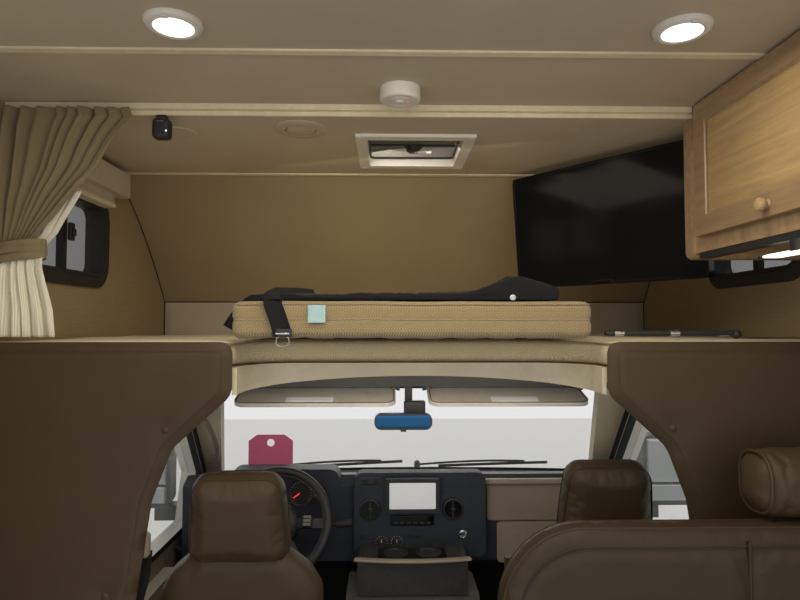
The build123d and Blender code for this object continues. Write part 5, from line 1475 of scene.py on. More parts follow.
inner = cabinetValues["rail"]
innerLow, innerHigh = (doorLow[1] + inner, doorLow[2] + inner), (doorHigh[1] - inner, doorHigh[2] - inner)
moulding = mouldedFrame(innerLow, innerHigh, cabinetValues["face"] + 0.0045, 0.005, 0.0048)
panelAt = cabinetValues["face"] + 0.0062
field = roundedBox((panelAt, *(np.array(innerLow) + 0.002)),
                   (panelAt + 0.002, *(np.array(innerHigh) - 0.002)), 0.0006, 12)
knobPlace = (cabinetValues["face"], -0.614, 1.9765)
knobProfile = [(0.011, -0.001), (0.011, 0.002), (0.0074, 0.005), (0.0076, 0.01), (0.0125, 0.013),
               (0.0148, 0.0165), (0.0152, 0.021), (0.0135, 0.0248), (0.008, 0.0262), (0.001, 0.0266)]
knob = lathe(knobProfile, knobPlace, (-1, 0, 0), 40)
makePiece("cabinetDoorDetail", [(moulding, 0), (field, 1), (knob, 1)], [mapleUp, maplePanel],
          body="cabinet_door", slot="maple", sharp=35)

barLow, barHigh = nodeBox("cabinet_light")
x0, x1, z = barLow[0], barHigh[0], barLow[2]
lens = roundedBox((x0 + 0.006, -0.79, z - 0.0045), (x1 - 0.006, -0.561, z + 0.003), 0.0035, 10)
lampCaps = [(roundedBox((x0 + 0.003, y - 0.006, z - 0.006), (x1 - 0.003, y + 0.006, z + 0.002), 0.002, 5), 1)
            for y in (-0.796, -0.555)]
makePiece("lightBarLens", [(lens, 0), *lampCaps], [lampGlow, blackPlastic], slot="black_plastic")

hingeX, hingeZ = cabinetValues["face"] + 0.01, doorHigh[2] + 0.0015
hinges = [(tube([(hingeX, y - 0.022, hingeZ), (hingeX, y + 0.022, hingeZ)], 0.0032, 12), 0)
          for y in (-0.94, -0.4)]
makePiece("cabinetHinges", hinges, [brushedSteel], slot="maple")
print("cabinet")


# Ceiling: lamps, smoke alarm, round outlet, junction disc and the hanging sensor


def ceilingLamp(x, y, z, radius=0.06):
    # A bright dome in a stepped ring, with a small switch on its rear side.
    ring = [(radius, 0.0), (radius, 0.0035), (radius - 0.002, 0.0085), (radius - 0.006, 0.0115),
            (radius - 0.013, 0.0125), (radius - 0.015, 0.0112)]
    dome = [(radius - 0.014, 0.0095), (radius - 0.02, 0.0118), (radius - 0.035, 0.0136),
            (radius - 0.052, 0.0142), (0.0015, 0.0143)]
    rear = y - radius
    switch = roundedBox((x - 0.007, rear + 0.0025, z - 0.016), (x + 0.007, rear + 0.0125, z - 0.011),
                        0.0014, 6)
    ring, dome = lathe(ring, (x, y, z), toFloor, 56), lathe(dome, (x, y, z), toFloor, 48)
    return [(ring, 0), (dome, 1), (switch, 0)]


lampShells = [shell for side in (-1, 1) for shell in ceilingLamp(side * 0.535, -0.725, ceilingZ)]
makePiece("ceilingLampDetail", lampShells, [whitePlastic, lampGlow], slot="white_plastic", sharp=40,
          stands=("ceiling_lights",))

alarm = np.array((-0.056, -0.385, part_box("smoke_alarm")[0][2]), float)
slotRing = []
for angle in np.linspace(0, 2 * math.pi, 28, endpoint=False):
    tangent = np.array((-math.sin(angle), math.cos(angle), 0))
    radial = np.array((math.cos(angle), math.sin(angle), 0))
    middle = alarm + (0, 0, 0.0165) + radial * 0.0525
    path = np.array([middle - tangent * 0.004, middle + tangent * 0.004])
    slotRing.append((sweep(roundRect(0.0022, 0.002, 0.0008, 2), path, (0, 0, 1)), 1))
grille = [(lathe([(r, 0.0), (r, 0.0016), (r - 0.002, 0.0016), (r - 0.002, 0.0)], alarm + (0, 0, 0.0006),
                 toFloor, 44), 0) for r in (0.036, 0.029, 0.022)]
testKey = lathe([(0.0125, -0.001), (0.0125, 0.0022), (0.011, 0.0034), (0.002, 0.004)], alarm, toFloor, 36)
pilot = lathe([(0.002, -0.0005), (0.002, 0.0009), (0.0005, 0.0015)], alarm + (0.02, -0.004, 0), toFloor, 16)
makePiece("smokeAlarmDetail", [*slotRing, *grille, (testKey, 0), (pilot, 2)],
          [whitePlastic, blackPlastic, redGlow], slot="white_plastic", sharp=40)


def ceilingOutlet(x, y, z, radius):
    # A round ceiling outlet: a wide flat ring, a dark throat and a tilted disc within it.
    inner = radius * 0.58
    ring = [(radius, 0.0), (radius, 0.0022), (radius - 0.003, 0.004), (inner + 0.004, 0.0068),
            (inner, 0.006), (inner, 0.0006)]
    ring = lathe(ring, (x, y, z), toFloor, 60)
    throat = lathe([(inner + 0.001, 0.0012), (0.001, 0.0014)], (x, y, z), toFloor, 48)
    disc = [(inner - 0.0035, 0.0016), (inner - 0.0035, 0.0044), (inner - 0.007, 0.0058), (0.001, 0.0066)]
    disc = lathe(disc, (x, y, z), toFloor, 48)
    disc = placed(disc, -4.0, (1, 0.6, 0), (x, y, z))
    return [(ring, 0), (throat, 1), (disc, 0)]


overCabZ = 2.302
speakerPlace, discPlace = (-0.356, -0.133, overCabZ), (-0.742, -0.095, overCabZ)
disc = [(0.055, 0.0), (0.055, 0.002), (0.052, 0.0036), (0.045, 0.0042), (0.002, 0.0046)]
disc = lathe(disc, discPlace, toFloor, 48)
makePiece("ceilingSpeaker", [*ceilingOutlet(*speakerPlace, 0.082), (disc, 0)],
          [ceilingPlastic, blackPlastic], slot="white_plastic", sharp=40)
sensorBody = roundedBox((-0.763, -0.262, 2.233), (-0.713, -0.222, 2.292), 0.012, 14)
sensorFoot = roundedBox((-0.753, -0.254, 2.288), (-0.724, -0.23, 2.3025), 0.003, 8)
lampProfile = [(0.0018, -0.001), (0.0018, 0.0008), (0.001, 0.0012), (0.0003, 0.0012)]
sensorLamp = lathe(lampProfile, (-0.72, -0.262, 2.253), toRear, 14)
sensorMark = roundedBox((-0.749, -0.2632, 2.2795), (-0.727, -0.261, 2.2815), 0.0006, 5)
makePiece("bunkSensor", [(sensorBody, 0), (sensorFoot, 0), (sensorLamp, 1), (sensorMark, 2)],
          [blackPlastic, lampGlow, greyPlastic], slot="black_plastic")
print("ceiling")


# Roof vent: screen frame, insect mesh, cross bar, crank and screws

ventLow, ventHigh = nodeBox("vent_frame")
ventMid = (ventLow + ventHigh) / 2
ventFace = float(ventLow[2])
ventValues = {"opening": 0.32, "screenZ": ventFace + 0.03, "wires": 45}
half, screenZ = ventValues["opening"] / 2, ventValues["screenZ"]
screenFrame = frameStrip((ventValues["opening"] - 0.012,) * 2, (0.02, 6), (*ventMid[:2], screenZ), 2,
                         (0.012, 0.007, 0.002), 0.02)
hub = np.array((*ventMid[:2], screenZ))
wires = []
for k in np.linspace(-half + 0.014, half - 0.014, ventValues["wires"]):
    run = np.array([-half + 0.01, half - 0.01])
    wires.append((tube(lineAt(hub[0] + k, hub[1] + run, screenZ), 0.00045, 4), 1))
    wires.append((tube(lineAt(hub[0] + run, hub[1] + k, screenZ + 0.001), 0.00045, 4), 1))
hubProfile = [(0.03, 0.0), (0.03, 0.004), (0.024, 0.01), (0.024, 0.016), (0.018, 0.02), (0.002, 0.021)]
crankHub = lathe(hubProfile, hub - (0, 0, 0.003), toFloor, 40)
crankArm = tube(hub + [(0, 0, -0.02), (0.03, -0.012, -0.023), (0.052, -0.02, -0.024)], 0.004, 10)
gripProfile = [(0.006, -0.004), (0.009, 0.002), (0.0095, 0.01), (0.007, 0.014), (0.001, 0.015)]
crankGrip = lathe(gripProfile, hub + (0.052, -0.02, -0.02), toFloor, 24)
crossBar = roundedBox(hub - (half - 0.008, 0.009, 0.0025), hub + (half - 0.008, 0.009, 0.0035), 0.002, 10)
screwProfile = [(0.0055, 0.0), (0.0055, 0.0012), (0.004, 0.0024), (0.001, 0.0027)]
out = half + 0.018
screws = [(lathe(screwProfile, (hub[0] + sx * out, hub[1] + sy * out, ventFace), toFloor, 20), 0)
          for sx in (-1, 1) for sy in (-1, 1)]
ventShells = [(screenFrame, 1), *wires, (crankHub, 1), (crankArm, 0), (crankGrip, 0), (crossBar, 1), *screws]
makePiece("ventScreen", ventShells, [whitePlastic, blackPlastic], slot="white_plastic", sharp=45)
print("vent")


# Bunk windows from inside: bead, latch and screws

bunkOpening = (-0.18, 0.332, 1.86, 2.16)  # rear, front, foot and head
windowShells = []
for side in (-1, 1):
    face = side * (innerHalf - 0.006)
    y0, y1, z0, z1 = bunkOpening
    middle = (face - side * 0.002, (y0 + y1) / 2, (z0 + z1) / 2)
    bead = frameStrip((y1 - y0 - 0.03, z1 - z0 - 0.03), (0.058, 8), middle, 0, (0.006, 0.01, 0.0025), 0.012)
    windowShells.append((bead, 0))
    windowShells.append((roundedBox((face, 0.062, 1.985), (face - side * 0.014, 0.09, 2.045), 0.004, 8), 1))
    windowShells.append((roundedBox((face - side * 0.01, 0.068, 2.0), (face - side * 0.022, 0.084, 2.024),
                                    0.003, 6), 1))
    screw = [(0.0048, 0.0), (0.0048, 0.0012), (0.003, 0.0022), (0.001, 0.0024)]
    windowShells += [(lathe(screw, (side * (innerHalf - 0.0125), y, z), (-side, 0, 0), 16), 1)
                     for y in (-0.166, 0.318) for z in (1.9, 2.12)]
makePiece("bunkWindowDetail", windowShells, [rubber, blackPlastic], slot="frame_black", sharp=45)
print("windows")


# Pleated shades drawn up under their boxes: a stack of folds with a rail at its foot

shadeValues = {"from": -0.185, "to": 0.3, "folds": 7, "depth": 0.03, "stack": 0.034, "rail": 0.018}
shadeShells = []
shadeFloor = float(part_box("shade_boxes")[0][2])
for side in (-1, 1):
    inner = side * (innerHalf - 0.016)
    across = inner - side * (shadeValues["depth"] + 0.01)
    low, high = min(inner, across), max(inner, across)
    step = shadeValues["stack"] / shadeValues["folds"]
    for k in range(shadeValues["folds"]):
        base = shadeFloor + 0.002 - (k + 1) * step
        shadeShells.append((roundedBox((low, shadeValues["from"], base),
                                       (high, shadeValues["to"], base + step), step * 0.45, 10), 0))
    foot = shadeFloor + 0.002 - shadeValues["stack"]
    shadeShells.append((roundedBox((low - 0.003, shadeValues["from"] - 0.004, foot - shadeValues["rail"]),
                                   (high + 0.003, shadeValues["to"] + 0.004, foot), 0.004, 14), 1))
makePiece("bunkShades", shadeShells, [creamCloth, creamTrim], slot="cream_trim", sharp=50)

# Pale board across the nose's foot, and brown cord where the bunk's side walls meet the curved nose
arcValues = {"from": (0.44, 2.302), "to": (0.965, 1.812), "bow": 0.033, "radius": 0.0026}
share = np.linspace(0.0, 1.0, 60)[:, None]
chord = np.array(arcValues["to"]) - np.array(arcValues["from"])
outward = np.array((-chord[1], chord[0])) / np.linalg.norm(chord)
arc = np.array(arcValues["from"]) + chord * share + outward * arcValues["bow"] * 4 * share * (1 - share)
arc = np.vstack([arc, [(0.965, 1.64)]]) - (0.002, 0.001)
board = roundedBox((-innerHalf + 0.006, 0.96, 1.6), (innerHalf - 0.006, 0.9642, 1.8085), 0.0012, 30)
makePiece("noseFootBoard", [(board, 0)], [creamCloth], slot="coach_wall", sharp=50)
level = np.linspace(-innerHalf + 0.004, innerHalf - 0.004, 80)
cords = [(tube(lineAt(level, 0.9612, 1.811), arcValues["radius"], 8), 0)]
for side in (-1, 1):
    line = np.column_stack([np.full(len(arc), side * (innerHalf - 0.0015)), arc])
    cords.append((tube(evenly(line, 0.012), arcValues["radius"], 8), 0))
makePiece("noseCords", cords, [seamThread], slot="coach_wall")
print("shades")


# Steering wheel: rim with its seam, centre cover and ring, and keys on the spokes

wheelValues = {"centre": (-0.49, 0.24, 0.989), "axis": (0.0, -0.883, 0.469), "rim": 0.185, "thick": 0.0155}


def onWheel(shell):
    # From the wheel's own axes (x right, y up the wheel, z towards the driver) to the column.
    z = np.array(wheelValues["axis"]) / np.linalg.norm(wheelValues["axis"])
    x = np.array((1.0, 0, 0))
    y = np.cross(z, x)
    points = shell[0] @ np.stack([x, y, z]) + np.array(wheelValues["centre"])
    return points, shell[1]


def buildWheel():
    # Shells of the steering wheel's details.
    values = wheelValues
    t = np.linspace(0, 2 * math.pi, 120, endpoint=False)
    path = lineAt(values["rim"] * np.cos(t), values["rim"] * np.sin(t), 0.0)
    fromThumb = np.minimum(np.abs(np.angle(np.exp(1j * (t - 0.5)))),
                           np.abs(np.angle(np.exp(1j * (t - math.pi + 0.5)))))
    grip = 1 + 0.06 * np.exp(-((fromThumb / 0.16) ** 2))
    rim = sweep(circle(values["thick"] + 0.0006, 18), path, (0, 0, 1), closed=True, scale=grip)
    rimSeam = tube(path * (1 - (values["thick"] + 0.0004) / values["rim"]), 0.0012, 6, closed=True)
    cover = lathe([(0.08, 0.004), (0.08, 0.02), (0.074, 0.03), (0.055, 0.0385), (0.03, 0.042),
                   (0.001, 0.043)], (0, 0, 0), (0, 0, 1), 56)
    cover[0][:, 1] *= 0.9
    coverGap = tube(lineAt(0.0795 * np.cos(t), 0.0716 * np.sin(t), 0.0195), 0.0014, 6, closed=True)
    ring = lathe([(0.024, 0.0415), (0.024, 0.0445), (0.0215, 0.0455), (0.0205, 0.044), (0.0205, 0.042)],
                 (0, 0, 0), (0, 0, 1), 44)
    keys = []
    for side in (-1, 1):
        pad = roundedBox((side * 0.112 - 0.019, -0.02, 0.006), (side * 0.112 + 0.019, 0.022, 0.0205), 0.006,
                         10)
        keys.append((pad, 0))
        for row in (-0.01, 0.003, 0.016):
            key = roundedBox((side * 0.112 - 0.013, row - 0.0045, 0.019),
                             (side * 0.112 + 0.013, row + 0.0045, 0.0225), 0.0016, 6)
            keys.append((key, 1))
    shells = [(rim, 0), (rimSeam, 1), (cover, 0), (coverGap, 2), (ring, 3), *keys]
    return [(onWheel(shell), index) for shell, index in shells]


makePiece("steeringWheelDetail", buildWheel(), [blackPlastic, greyPlastic, rubber, steel],
          body="steering_wheel", slot="black_plastic", sharp=40)

# Wiper stalk with its tip and rings, and the hazard switch
columnAxis = np.array(wheelValues["axis"]) / np.linalg.norm(wheelValues["axis"])
columnAt = np.array(wheelValues["centre"]) - columnAxis * 0.085
wiperStalk = tube(columnAt + [(0.02, 0.0, 0.0), (0.085, -0.01, 0.006), (0.15, -0.02, 0.01)], 0.0075, 14)
wiperTip = tube(columnAt + [(0.118, -0.0152, 0.008), (0.156, -0.0208, 0.0104)], 0.0102, 16)
ringMarks = []
for x in (0.122, 0.136, 0.15):
    y = -0.0152 - (x - 0.118) * 0.15
    ringMarks.append((tube(columnAt + [(x, y, 0.008), (x + 0.003, y - 0.0004, 0.0082)], 0.0108, 16), 1))
# The hazard switch takes the red glow: painted glow, as the switch is no lamp.
hazard = lathe([(0.01, -0.004), (0.01, 0.005), (0.008, 0.008), (0.001, 0.0085)],
               columnAt + (0, 0.012, 0.052), (0, 0, 1), 24)
makePiece("columnDetail", [(wiperStalk, 0), (wiperTip, 0), *ringMarks, (hazard, 2)],
          [blackPlastic, greyPlastic, redGlow], slot="black_plastic", sharp=40)
print("steering wheel")


# Dashboard: round air vents, screen, heater knobs, radio and switches

dashValues = {
    "vents": (-0.155, 0.158), "ventZ": 1.006, "ventY": 0.339, "ventRadius": 0.04,
    "knobs": (-0.112, -0.054), "knobZ": 0.884, "ticks": 0.0212,
    "panelY": 0.3395, "keyY": 0.3345, "gaugeY": 0.3985,
    "gauges": ((-0.565, 0.048), (-0.425, 0.048), (-0.64, 0.026), (-0.352, 0.026)), "gaugeZ": 1.052,
}


def airVent(x, z, y, radius):
    # A round vent facing the rear: ring, dark throat, vanes and a turning bar.
    centre = np.array((x, y, z))
    ring = [(radius, -0.002), (radius + 0.001, 0.004), (radius - 0.002, 0.009), (radius - 0.006, 0.01),
            (radius - 0.008, 0.006)]
    throat = [(radius - 0.007, 0.0065), (radius - 0.009, 0.001), (radius - 0.015, 0.0005), (0.001, 0.0004)]
    ring, throat = lathe(ring, centre, toRear, 48), lathe(throat, centre, toRear, 48)
    vanes = []
    for level in np.linspace(-0.026, 0.026, 5):
        reach, at = math.sqrt((radius - 0.009) ** 2 - level ** 2), z + level
        vane = roundedBox((x - reach, y - 0.0065, at - 0.0012), (x + reach, y - 0.0015, at + 0.0012),
                          0.0008, 5)
        vanes.append((placed(vane, 14, (1, 0, 0), (x, y - 0.004, at)), 0))
    bar = roundedBox((x - 0.003, y - 0.0085, z - radius + 0.01), (x + 0.003, y - 0.005, z + radius - 0.01),
                     0.0012, 5)
    tab = roundedBox((x - 0.0075, y - 0.013, z - 0.0055), (x + 0.0075, y - 0.007, z + 0.0055), 0.0022, 6)
    return [(ring, 0), (throat, 1), *vanes, (bar, 0), (tab, 0)]


dashShells = []
for x in dashValues["vents"]:
    dashShells += airVent(x, dashValues["ventZ"], dashValues["ventY"], dashValues["ventRadius"])
screenFrame = frameStrip((0.186, 0.111), (0.008, 5), (0.004, 0.2945, 1.0655), 1, (0.004, 0.003, 0.001), 0.01)
screenFace = roundedBox((-0.082, 0.2932, 1.0175), (0.09, 0.296, 1.1135), 0.0012, 10)
dashShells += [(screenFrame, 0), (screenFace, 2)]
knobProfile = [(0.0255, 0.0), (0.0255, 0.0025), (0.0165, 0.004), (0.0155, 0.015), (0.014, 0.0175),
               (0.001, 0.018)]
knobZ, panelY, keyY = dashValues["knobZ"], dashValues["panelY"], dashValues["keyY"]
for x in dashValues["knobs"]:
    dashShells.append((lathe(knobProfile, (x, panelY, knobZ), toRear, 32), 3))
    mark = roundedBox((x - 0.0012, 0.3202, knobZ + 0.003), (x + 0.0012, 0.3214, knobZ + 0.0135), 0.0005, 4)
    dashShells.append((mark, 4))
    for angle in np.radians(np.arange(-40, 221, 26)):
        spoke = dashValues["ticks"] * np.array((math.cos(angle), 0, math.sin(angle)))
        spot = spoke + (x, 0.3366, knobZ)
        dashShells.append((roundedBox(spot - 0.0011, spot + 0.0011, 0.0004, 4), 4))
socket = [(0.015, 0.0), (0.015, 0.004), (0.0125, 0.0055), (0.011, 0.004), (0.0105, 0.0012), (0.001, 0.001)]
dashShells.append((lathe(socket, (0.196, panelY, 0.91), toRear, 32), 5))
radio = roundedBox((-0.078, keyY, 0.944), (0.086, 0.342, 0.982), 0.0025, 10)
radioSlot = roundedBox((-0.05, 0.3332, 0.968), (0.058, 0.335, 0.9725), 0.0008, 6)
dashShells += [(radio, 1), (radioSlot, 3)]
for x in np.linspace(-0.058, 0.066, 6):
    dashShells.append((roundedBox((x - 0.008, 0.3328, 0.949), (x + 0.008, 0.335, 0.958), 0.0012, 5), 0))
dashShells.append((roundedBox((-0.19, 0.337, 1.096), (-0.118, 0.3412, 1.124), 0.003, 8), 0))
for x in (-0.174, -0.134):
    dashShells.append((roundedBox((x - 0.0085, keyY, 1.101), (x + 0.0085, 0.338, 1.119), 0.002, 5), 3))
# Small keys: x, z, half width and half height
keys = ((0.012, 0.905, 0.021, 0.006), (0.012, 0.868, 0.01, 0.008), (0.068, 0.882, 0.013, 0.013),
        (0.12, 0.882, 0.013, 0.013), (0.172, 0.868, 0.009, 0.006), (-0.18, 0.905, 0.012, 0.008))
for x, z, wide, tall in keys:
    dashShells.append((roundedBox((x - wide, keyY, z - tall), (x + wide, 0.342, z + tall), 0.0025, 8), 3))
makePiece("dashControls", dashShells, [blackPlastic, glossBlack, screenGrey, rubber, whitePlastic, steel],
          slot="dash_dark", sharp=40)

# Gauges: two large dials and two small ones, each with its ticks, needle and boss
gaugeShells = []
gaugeZ, gaugeY = dashValues["gaugeZ"], dashValues["gaugeY"]
for x, radius in dashValues["gauges"]:
    profile = [(radius, 0.0), (radius + 0.003, 0.006), (radius + 0.001, 0.01), (radius - 0.002, 0.008),
               (radius - 0.003, 0.002), (0.001, 0.0015)]
    gaugeShells.append((lathe(profile, (x, 0.4005, gaugeZ), toRear, 44), 0))

    def dialLine(angle, start, end, y):
        # A line on the dial from one share of its radius to another.
        along = radius * np.array((start, end))
        return lineAt(x + along * math.cos(angle), y, gaugeZ + along * math.sin(angle))

    for angle in np.linspace(math.radians(225), math.radians(-45), 19):
        gaugeShells.append((tube(dialLine(angle, 0.78, 0.9, gaugeY), 0.0006, 4), 1))
    needle = tube(dialLine(math.radians(215), 0.0, 0.7, 0.3978), 0.0009, 6)
    boss = lathe([(0.005, 0.0), (0.005, 0.003), (0.001, 0.0036)], (x, gaugeY, gaugeZ), toRear, 20)
    gaugeShells += [(needle, 2), (boss, 0)]
makePiece("gauges", gaugeShells, [blackPlastic, whitePlastic, redGlow], slot="dash_dark", sharp=40)

# Glovebox: latch and lock
lidLow, lidHigh = nodeBox("glovebox_lid")
lidMid = (lidLow + lidHigh) / 2
x, y, z = lidMid[0], lidLow[1], lidHigh[2]
latch = roundedBox((x - 0.034, y - 0.007, z - 0.036), (x + 0.034, y + 0.002, z - 0.014), 0.004, 10)
lockProfile = [(0.0075, 0.0), (0.0075, 0.0025), (0.006, 0.0035), (0.001, 0.0036)]
lock = lathe(lockProfile, (x, y - 0.0065, z - 0.025), toRear, 24)
makePiece("gloveboxLatch", [(latch, 0), (lock, 1)], [blackPlastic, steel], body="glovebox_lid",
          slot="taupe_plastic", sharp=40)

# Passenger's side of the dash: a padded panel with a pale ledge along its top, and a lip over the console
panelLow, panelHigh = (0.296, 0.3885, 0.942), (0.842, 0.402, 1.086)
dashPanel = roundedBox(panelLow, panelHigh, 0.006, 24, crown=(0, 0.003, 0))
ledge = roundedBox((0.29, 0.376, 1.084), (0.85, 0.402, 1.104), 0.007, 20)
seamZ = np.full(60, 1.0755)
panelSeam = tube(lineAt(np.linspace(0.306, 0.832, 60), 0.3862, seamZ), 0.0014, 6)
stackLip = lineAt(np.linspace(-0.205, 0.205, 40), 0.176 + 0.02 * (np.linspace(-1, 1, 40) ** 2), 0.8735)
lip = sweep(roundRect(0.026, 0.01, 0.004, 4), stackLip, (0, 0, 1))
makePiece("dashPassengerPanel", [(dashPanel, 0), (ledge, 1), (panelSeam, 0), (lip, 1)],
          [taupePlastic, ledgePlastic], slot="taupe_plastic", sharp=45)
print("dash")


# Windscreen details: blank card and wipers

glassValues = {
    "foot": {"z": 1.022, "y": 0.838, "half": 0.898, "bow": 0.062},
    "head": {"z": 1.46, "y": 0.38, "half": 0.847, "bow": 0.052},
    "placardX": (-0.68, -0.492), "placardZ": (1.096, 1.234), "cut": (0.036, 0.026), "hole": 0.016,
}


def glassAt(z, key):
    # A measure of the windscreen at height z, between its foot's and its head's.
    foot, head = glassValues["foot"], glassValues["head"]
    share = (z - foot["z"]) / (head["z"] - foot["z"])
    return foot[key] + (head[key] - foot[key]) * share


def screenPoint(x, z):
    # A point on the inner face of the windscreen: its middle bows forward as 1 - (x / half)^2.
    return np.array((x, glassAt(z, "y") + glassAt(z, "bow") * (1 - (x / glassAt(z, "half")) ** 2), z))


def buildPlacard():
    # A blank card with a hole and two cut corners, upright inside the glass.
    (x0, x1), (z0, z1) = glassValues["placardX"], glassValues["placardZ"]
    high = screenPoint(x0, z1) - (0, 0.012, 0)
    low = high - (0, 0, z1 - z0)
    up = (high - low) / np.linalg.norm(high - low)
    across = np.array((1.0, 0, 0))
    wide, tall = x1 - x0, float(np.linalg.norm(high - low))
    cutX, cutZ = glassValues["cut"]
    outline = np.array([(-wide / 2, -tall / 2), (wide / 2, -tall / 2), (wide / 2, tall / 2 - cutZ),
                        (wide / 2 - cutX, tall / 2), (-wide / 2 + cutX, tall / 2),
                        (-wide / 2, tall / 2 - cutZ)])
    holeAt = (0, tall / 2 - 0.034)
    hole = circle(glassValues["hole"], 24) + holeAt
    flat = np.concatenate([outline, hole])
    n, m = len(outline), len(hole)
    borders = [(k, (k + 1) % n) for k in range(n)] + [(n + k, n + (k + 1) % m) for k in range(m)]
    made = delaunay_2d_cdt([Vector(p) for p in flat.tolist()], borders, [], 1, 1e-6)
    points = np.array([tuple(p) for p in made[0]])
    fromHole = np.linalg.norm(points - holeAt, axis=1)
    faces = [face for face in map(list, made[2]) if fromHole[face].max() > glassValues["hole"] + 0.0005]
    middle = (low + high) / 2
    middle[0] = (x0 + x1) / 2
    place = middle + points[:, :1] * across + points[:, 1:] * up
    return place, faces


placard = makePiece("screenPlacard", [(buildPlacard(), 0)], [maroonCardPaintedGlow], slot="clear_glass", weld=0.0)
placard.data.shade_flat()
cardWall = placard.modifiers.new("thickness", "SOLIDIFY")
cardWall.thickness = 0.0012
cardWall.offset = 0


def buildWiper(pivotX, side):
    # An arm and its blade lying along the outside of the glass near its lower edge.
    t = np.linspace(0, 1, 24)
    base = screenPoint(pivotX, 1.03)
    out = np.array((0, 0.018, 0.012))
    tip = np.array([screenPoint(pivotX + side * 0.5 * k, 1.028 + 0.026 * math.sin(math.pi * k * 0.6))
                    for k in t])
    arm = tip + out
    blade = np.array([screenPoint(pivotX + side * (0.1 + 0.5 * k), 1.032 + 0.028 * k) for k in t])
    blade += out * 0.45
    hub = lathe([(0.014, -0.01), (0.014, 0.01), (0.01, 0.016), (0.001, 0.018)], base + out, (0, 0.7, 0.7),
                24)
    arm = sweep(roundRect(0.012, 0.006, 0.002, 3), arm, (0, 0.7, 0.7))
    blade = sweep(roundRect(0.006, 0.012, 0.001, 3), blade, (0, 0.7, 0.7))
    return [(arm, 0), (blade, 1), (hub, 0)]


makePiece("wipers", [*buildWiper(-0.62, 1), *buildWiper(0.05, 1)], [blackPlastic, rubber],
          slot="frame_black", sharp=45)

# Rubber along the windscreen's inner edge, and the grab handle on the driver's pillar
edgeZ = np.linspace(1.026, 1.456, 50)
seals = []
for side in (-1, 1):
    line = np.array([screenPoint(side * (glassAt(z, "half") - 0.006), z) for z in edgeZ]) - (0, 0.006, 0)
    seals.append((tube(line, 0.006, 10), 0))
for z in (1.028, 1.455):
    half = glassAt(z, "half") - 0.008
    line = np.array([screenPoint(x, z) for x in np.linspace(-half, half, 60)]) - (0, 0.006, 0)
    seals.append((tube(line, 0.006, 10), 0))
makePiece("windscreenSeal", seals, [rubber], slot="frame_black")

handleValues = {"x": -0.815, "from": 1.15, "to": 1.345, "out": (0.045, 0.055), "radius": 0.011}
handleZ = np.linspace(handleValues["from"], handleValues["to"], 30)
bulge = np.sin(np.linspace(0, math.pi, 30)) ** 0.5
outX, outY = handleValues["out"]
handleBack = np.interp(handleZ, [1.022, 1.46], [0.69, 0.3])
handlePath = lineAt(handleValues["x"] + outX * bulge, handleBack - outY * bulge, handleZ)
handle = tube(handlePath, handleValues["radius"], 16)
makePiece("grabHandle", [(handle, 0)], [taupePlastic], slot="taupe_plastic")


# Visors: edge seam, blank label and clip, and a mirror cover on the passenger's

visorValues = {"hinge": (0.34, 1.457), "depth": 0.165, "droop": 15.0, "thick": 0.016}


def onVisor(shell):
    # From the visor's flat axes (x across, y back from its hinge, z up) to its drooped rest.
    hinge = (0.0, *visorValues["hinge"])
    drooped = placed(shell, visorValues["droop"], (1, 0, 0), (0, 0, 0))
    return moved(drooped, hinge)


for side, who in ((-1, "driver"), (1, "passenger")):
    middleX = side * 0.35
    back = -visorValues["depth"]
    face = visorValues["thick"] / 2
    rim = roundRect(0.566, visorValues["depth"] - 0.018, 0.03, 8) + (middleX, back / 2)
    seam = tube(evenlyRound(lineAt(*rim.T, face + 0.0002), 0.012), 0.0016, 6, closed=True)
    # The label's material glows a little: painted light.
    label = roundedBox((side * 0.37 - 0.085, back + 0.018, face - 0.0004),
                       (side * 0.37 + 0.085, back + 0.06, face + 0.0016), 0.0006, 8)
    frame = roundedBox((middleX - 0.075, back + 0.05, -face - 0.0035),
                       (middleX + 0.075, back + 0.12, -face + 0.002), 0.003, 10)
    lip = roundedBox((middleX - 0.012, back + 0.0485, -face - 0.0052),
                     (middleX + 0.012, back + 0.055, -face - 0.001), 0.0012, 6)
    clip = roundedBox((side * 0.07 - 0.01, -0.014, -0.01), (side * 0.07 + 0.01, 0.01, 0.01), 0.004, 6)
    shells = [(seam, 0), (label, 1), (clip, 2)] + ([(frame, 2), (lip, 2)] if side > 0 else [])
    makePiece(who + "VisorDetail", [(onVisor(shell), index) for shell, index in shells],
              [seamThread, labelPaperPaintedGlow, greyPlastic],
              body=who + "_visor", slot="visor_grey", sharp=50)

# Mirror: blue-tinted face inside its rim, its dimming lever, and the sensor box on the glass
mirrorPane = roundedBox((-0.129, 0.1435, 1.3405), (0.061, 0.146, 1.3855), 0.0012, 10)
sensorBox = roundedBox((-0.03, 0.222, 1.374), (0.048, 0.262, 1.424), 0.006, 10)
sensorLens = lathe([(0.01, 0.0), (0.01, 0.003), (0.007, 0.004), (0.001, 0.0035)], (0.012, 0.262, 1.4),
                   (0, 1, 0), 24)
tabLever = roundedBox((-0.044, 0.142, 1.329), (-0.024, 0.152, 1.3375), 0.002, 6)
makePiece("cabinMirrorDetail", [(mirrorPane, 0), (tabLever, 1), (sensorBox, 1), (sensorLens, 1)],
          [blueMirror, blackPlastic], slot="mirror_black", sharp=40)
print("visors and glass")


# Console: two cup holders with their fingers, and ribbed rubber mats

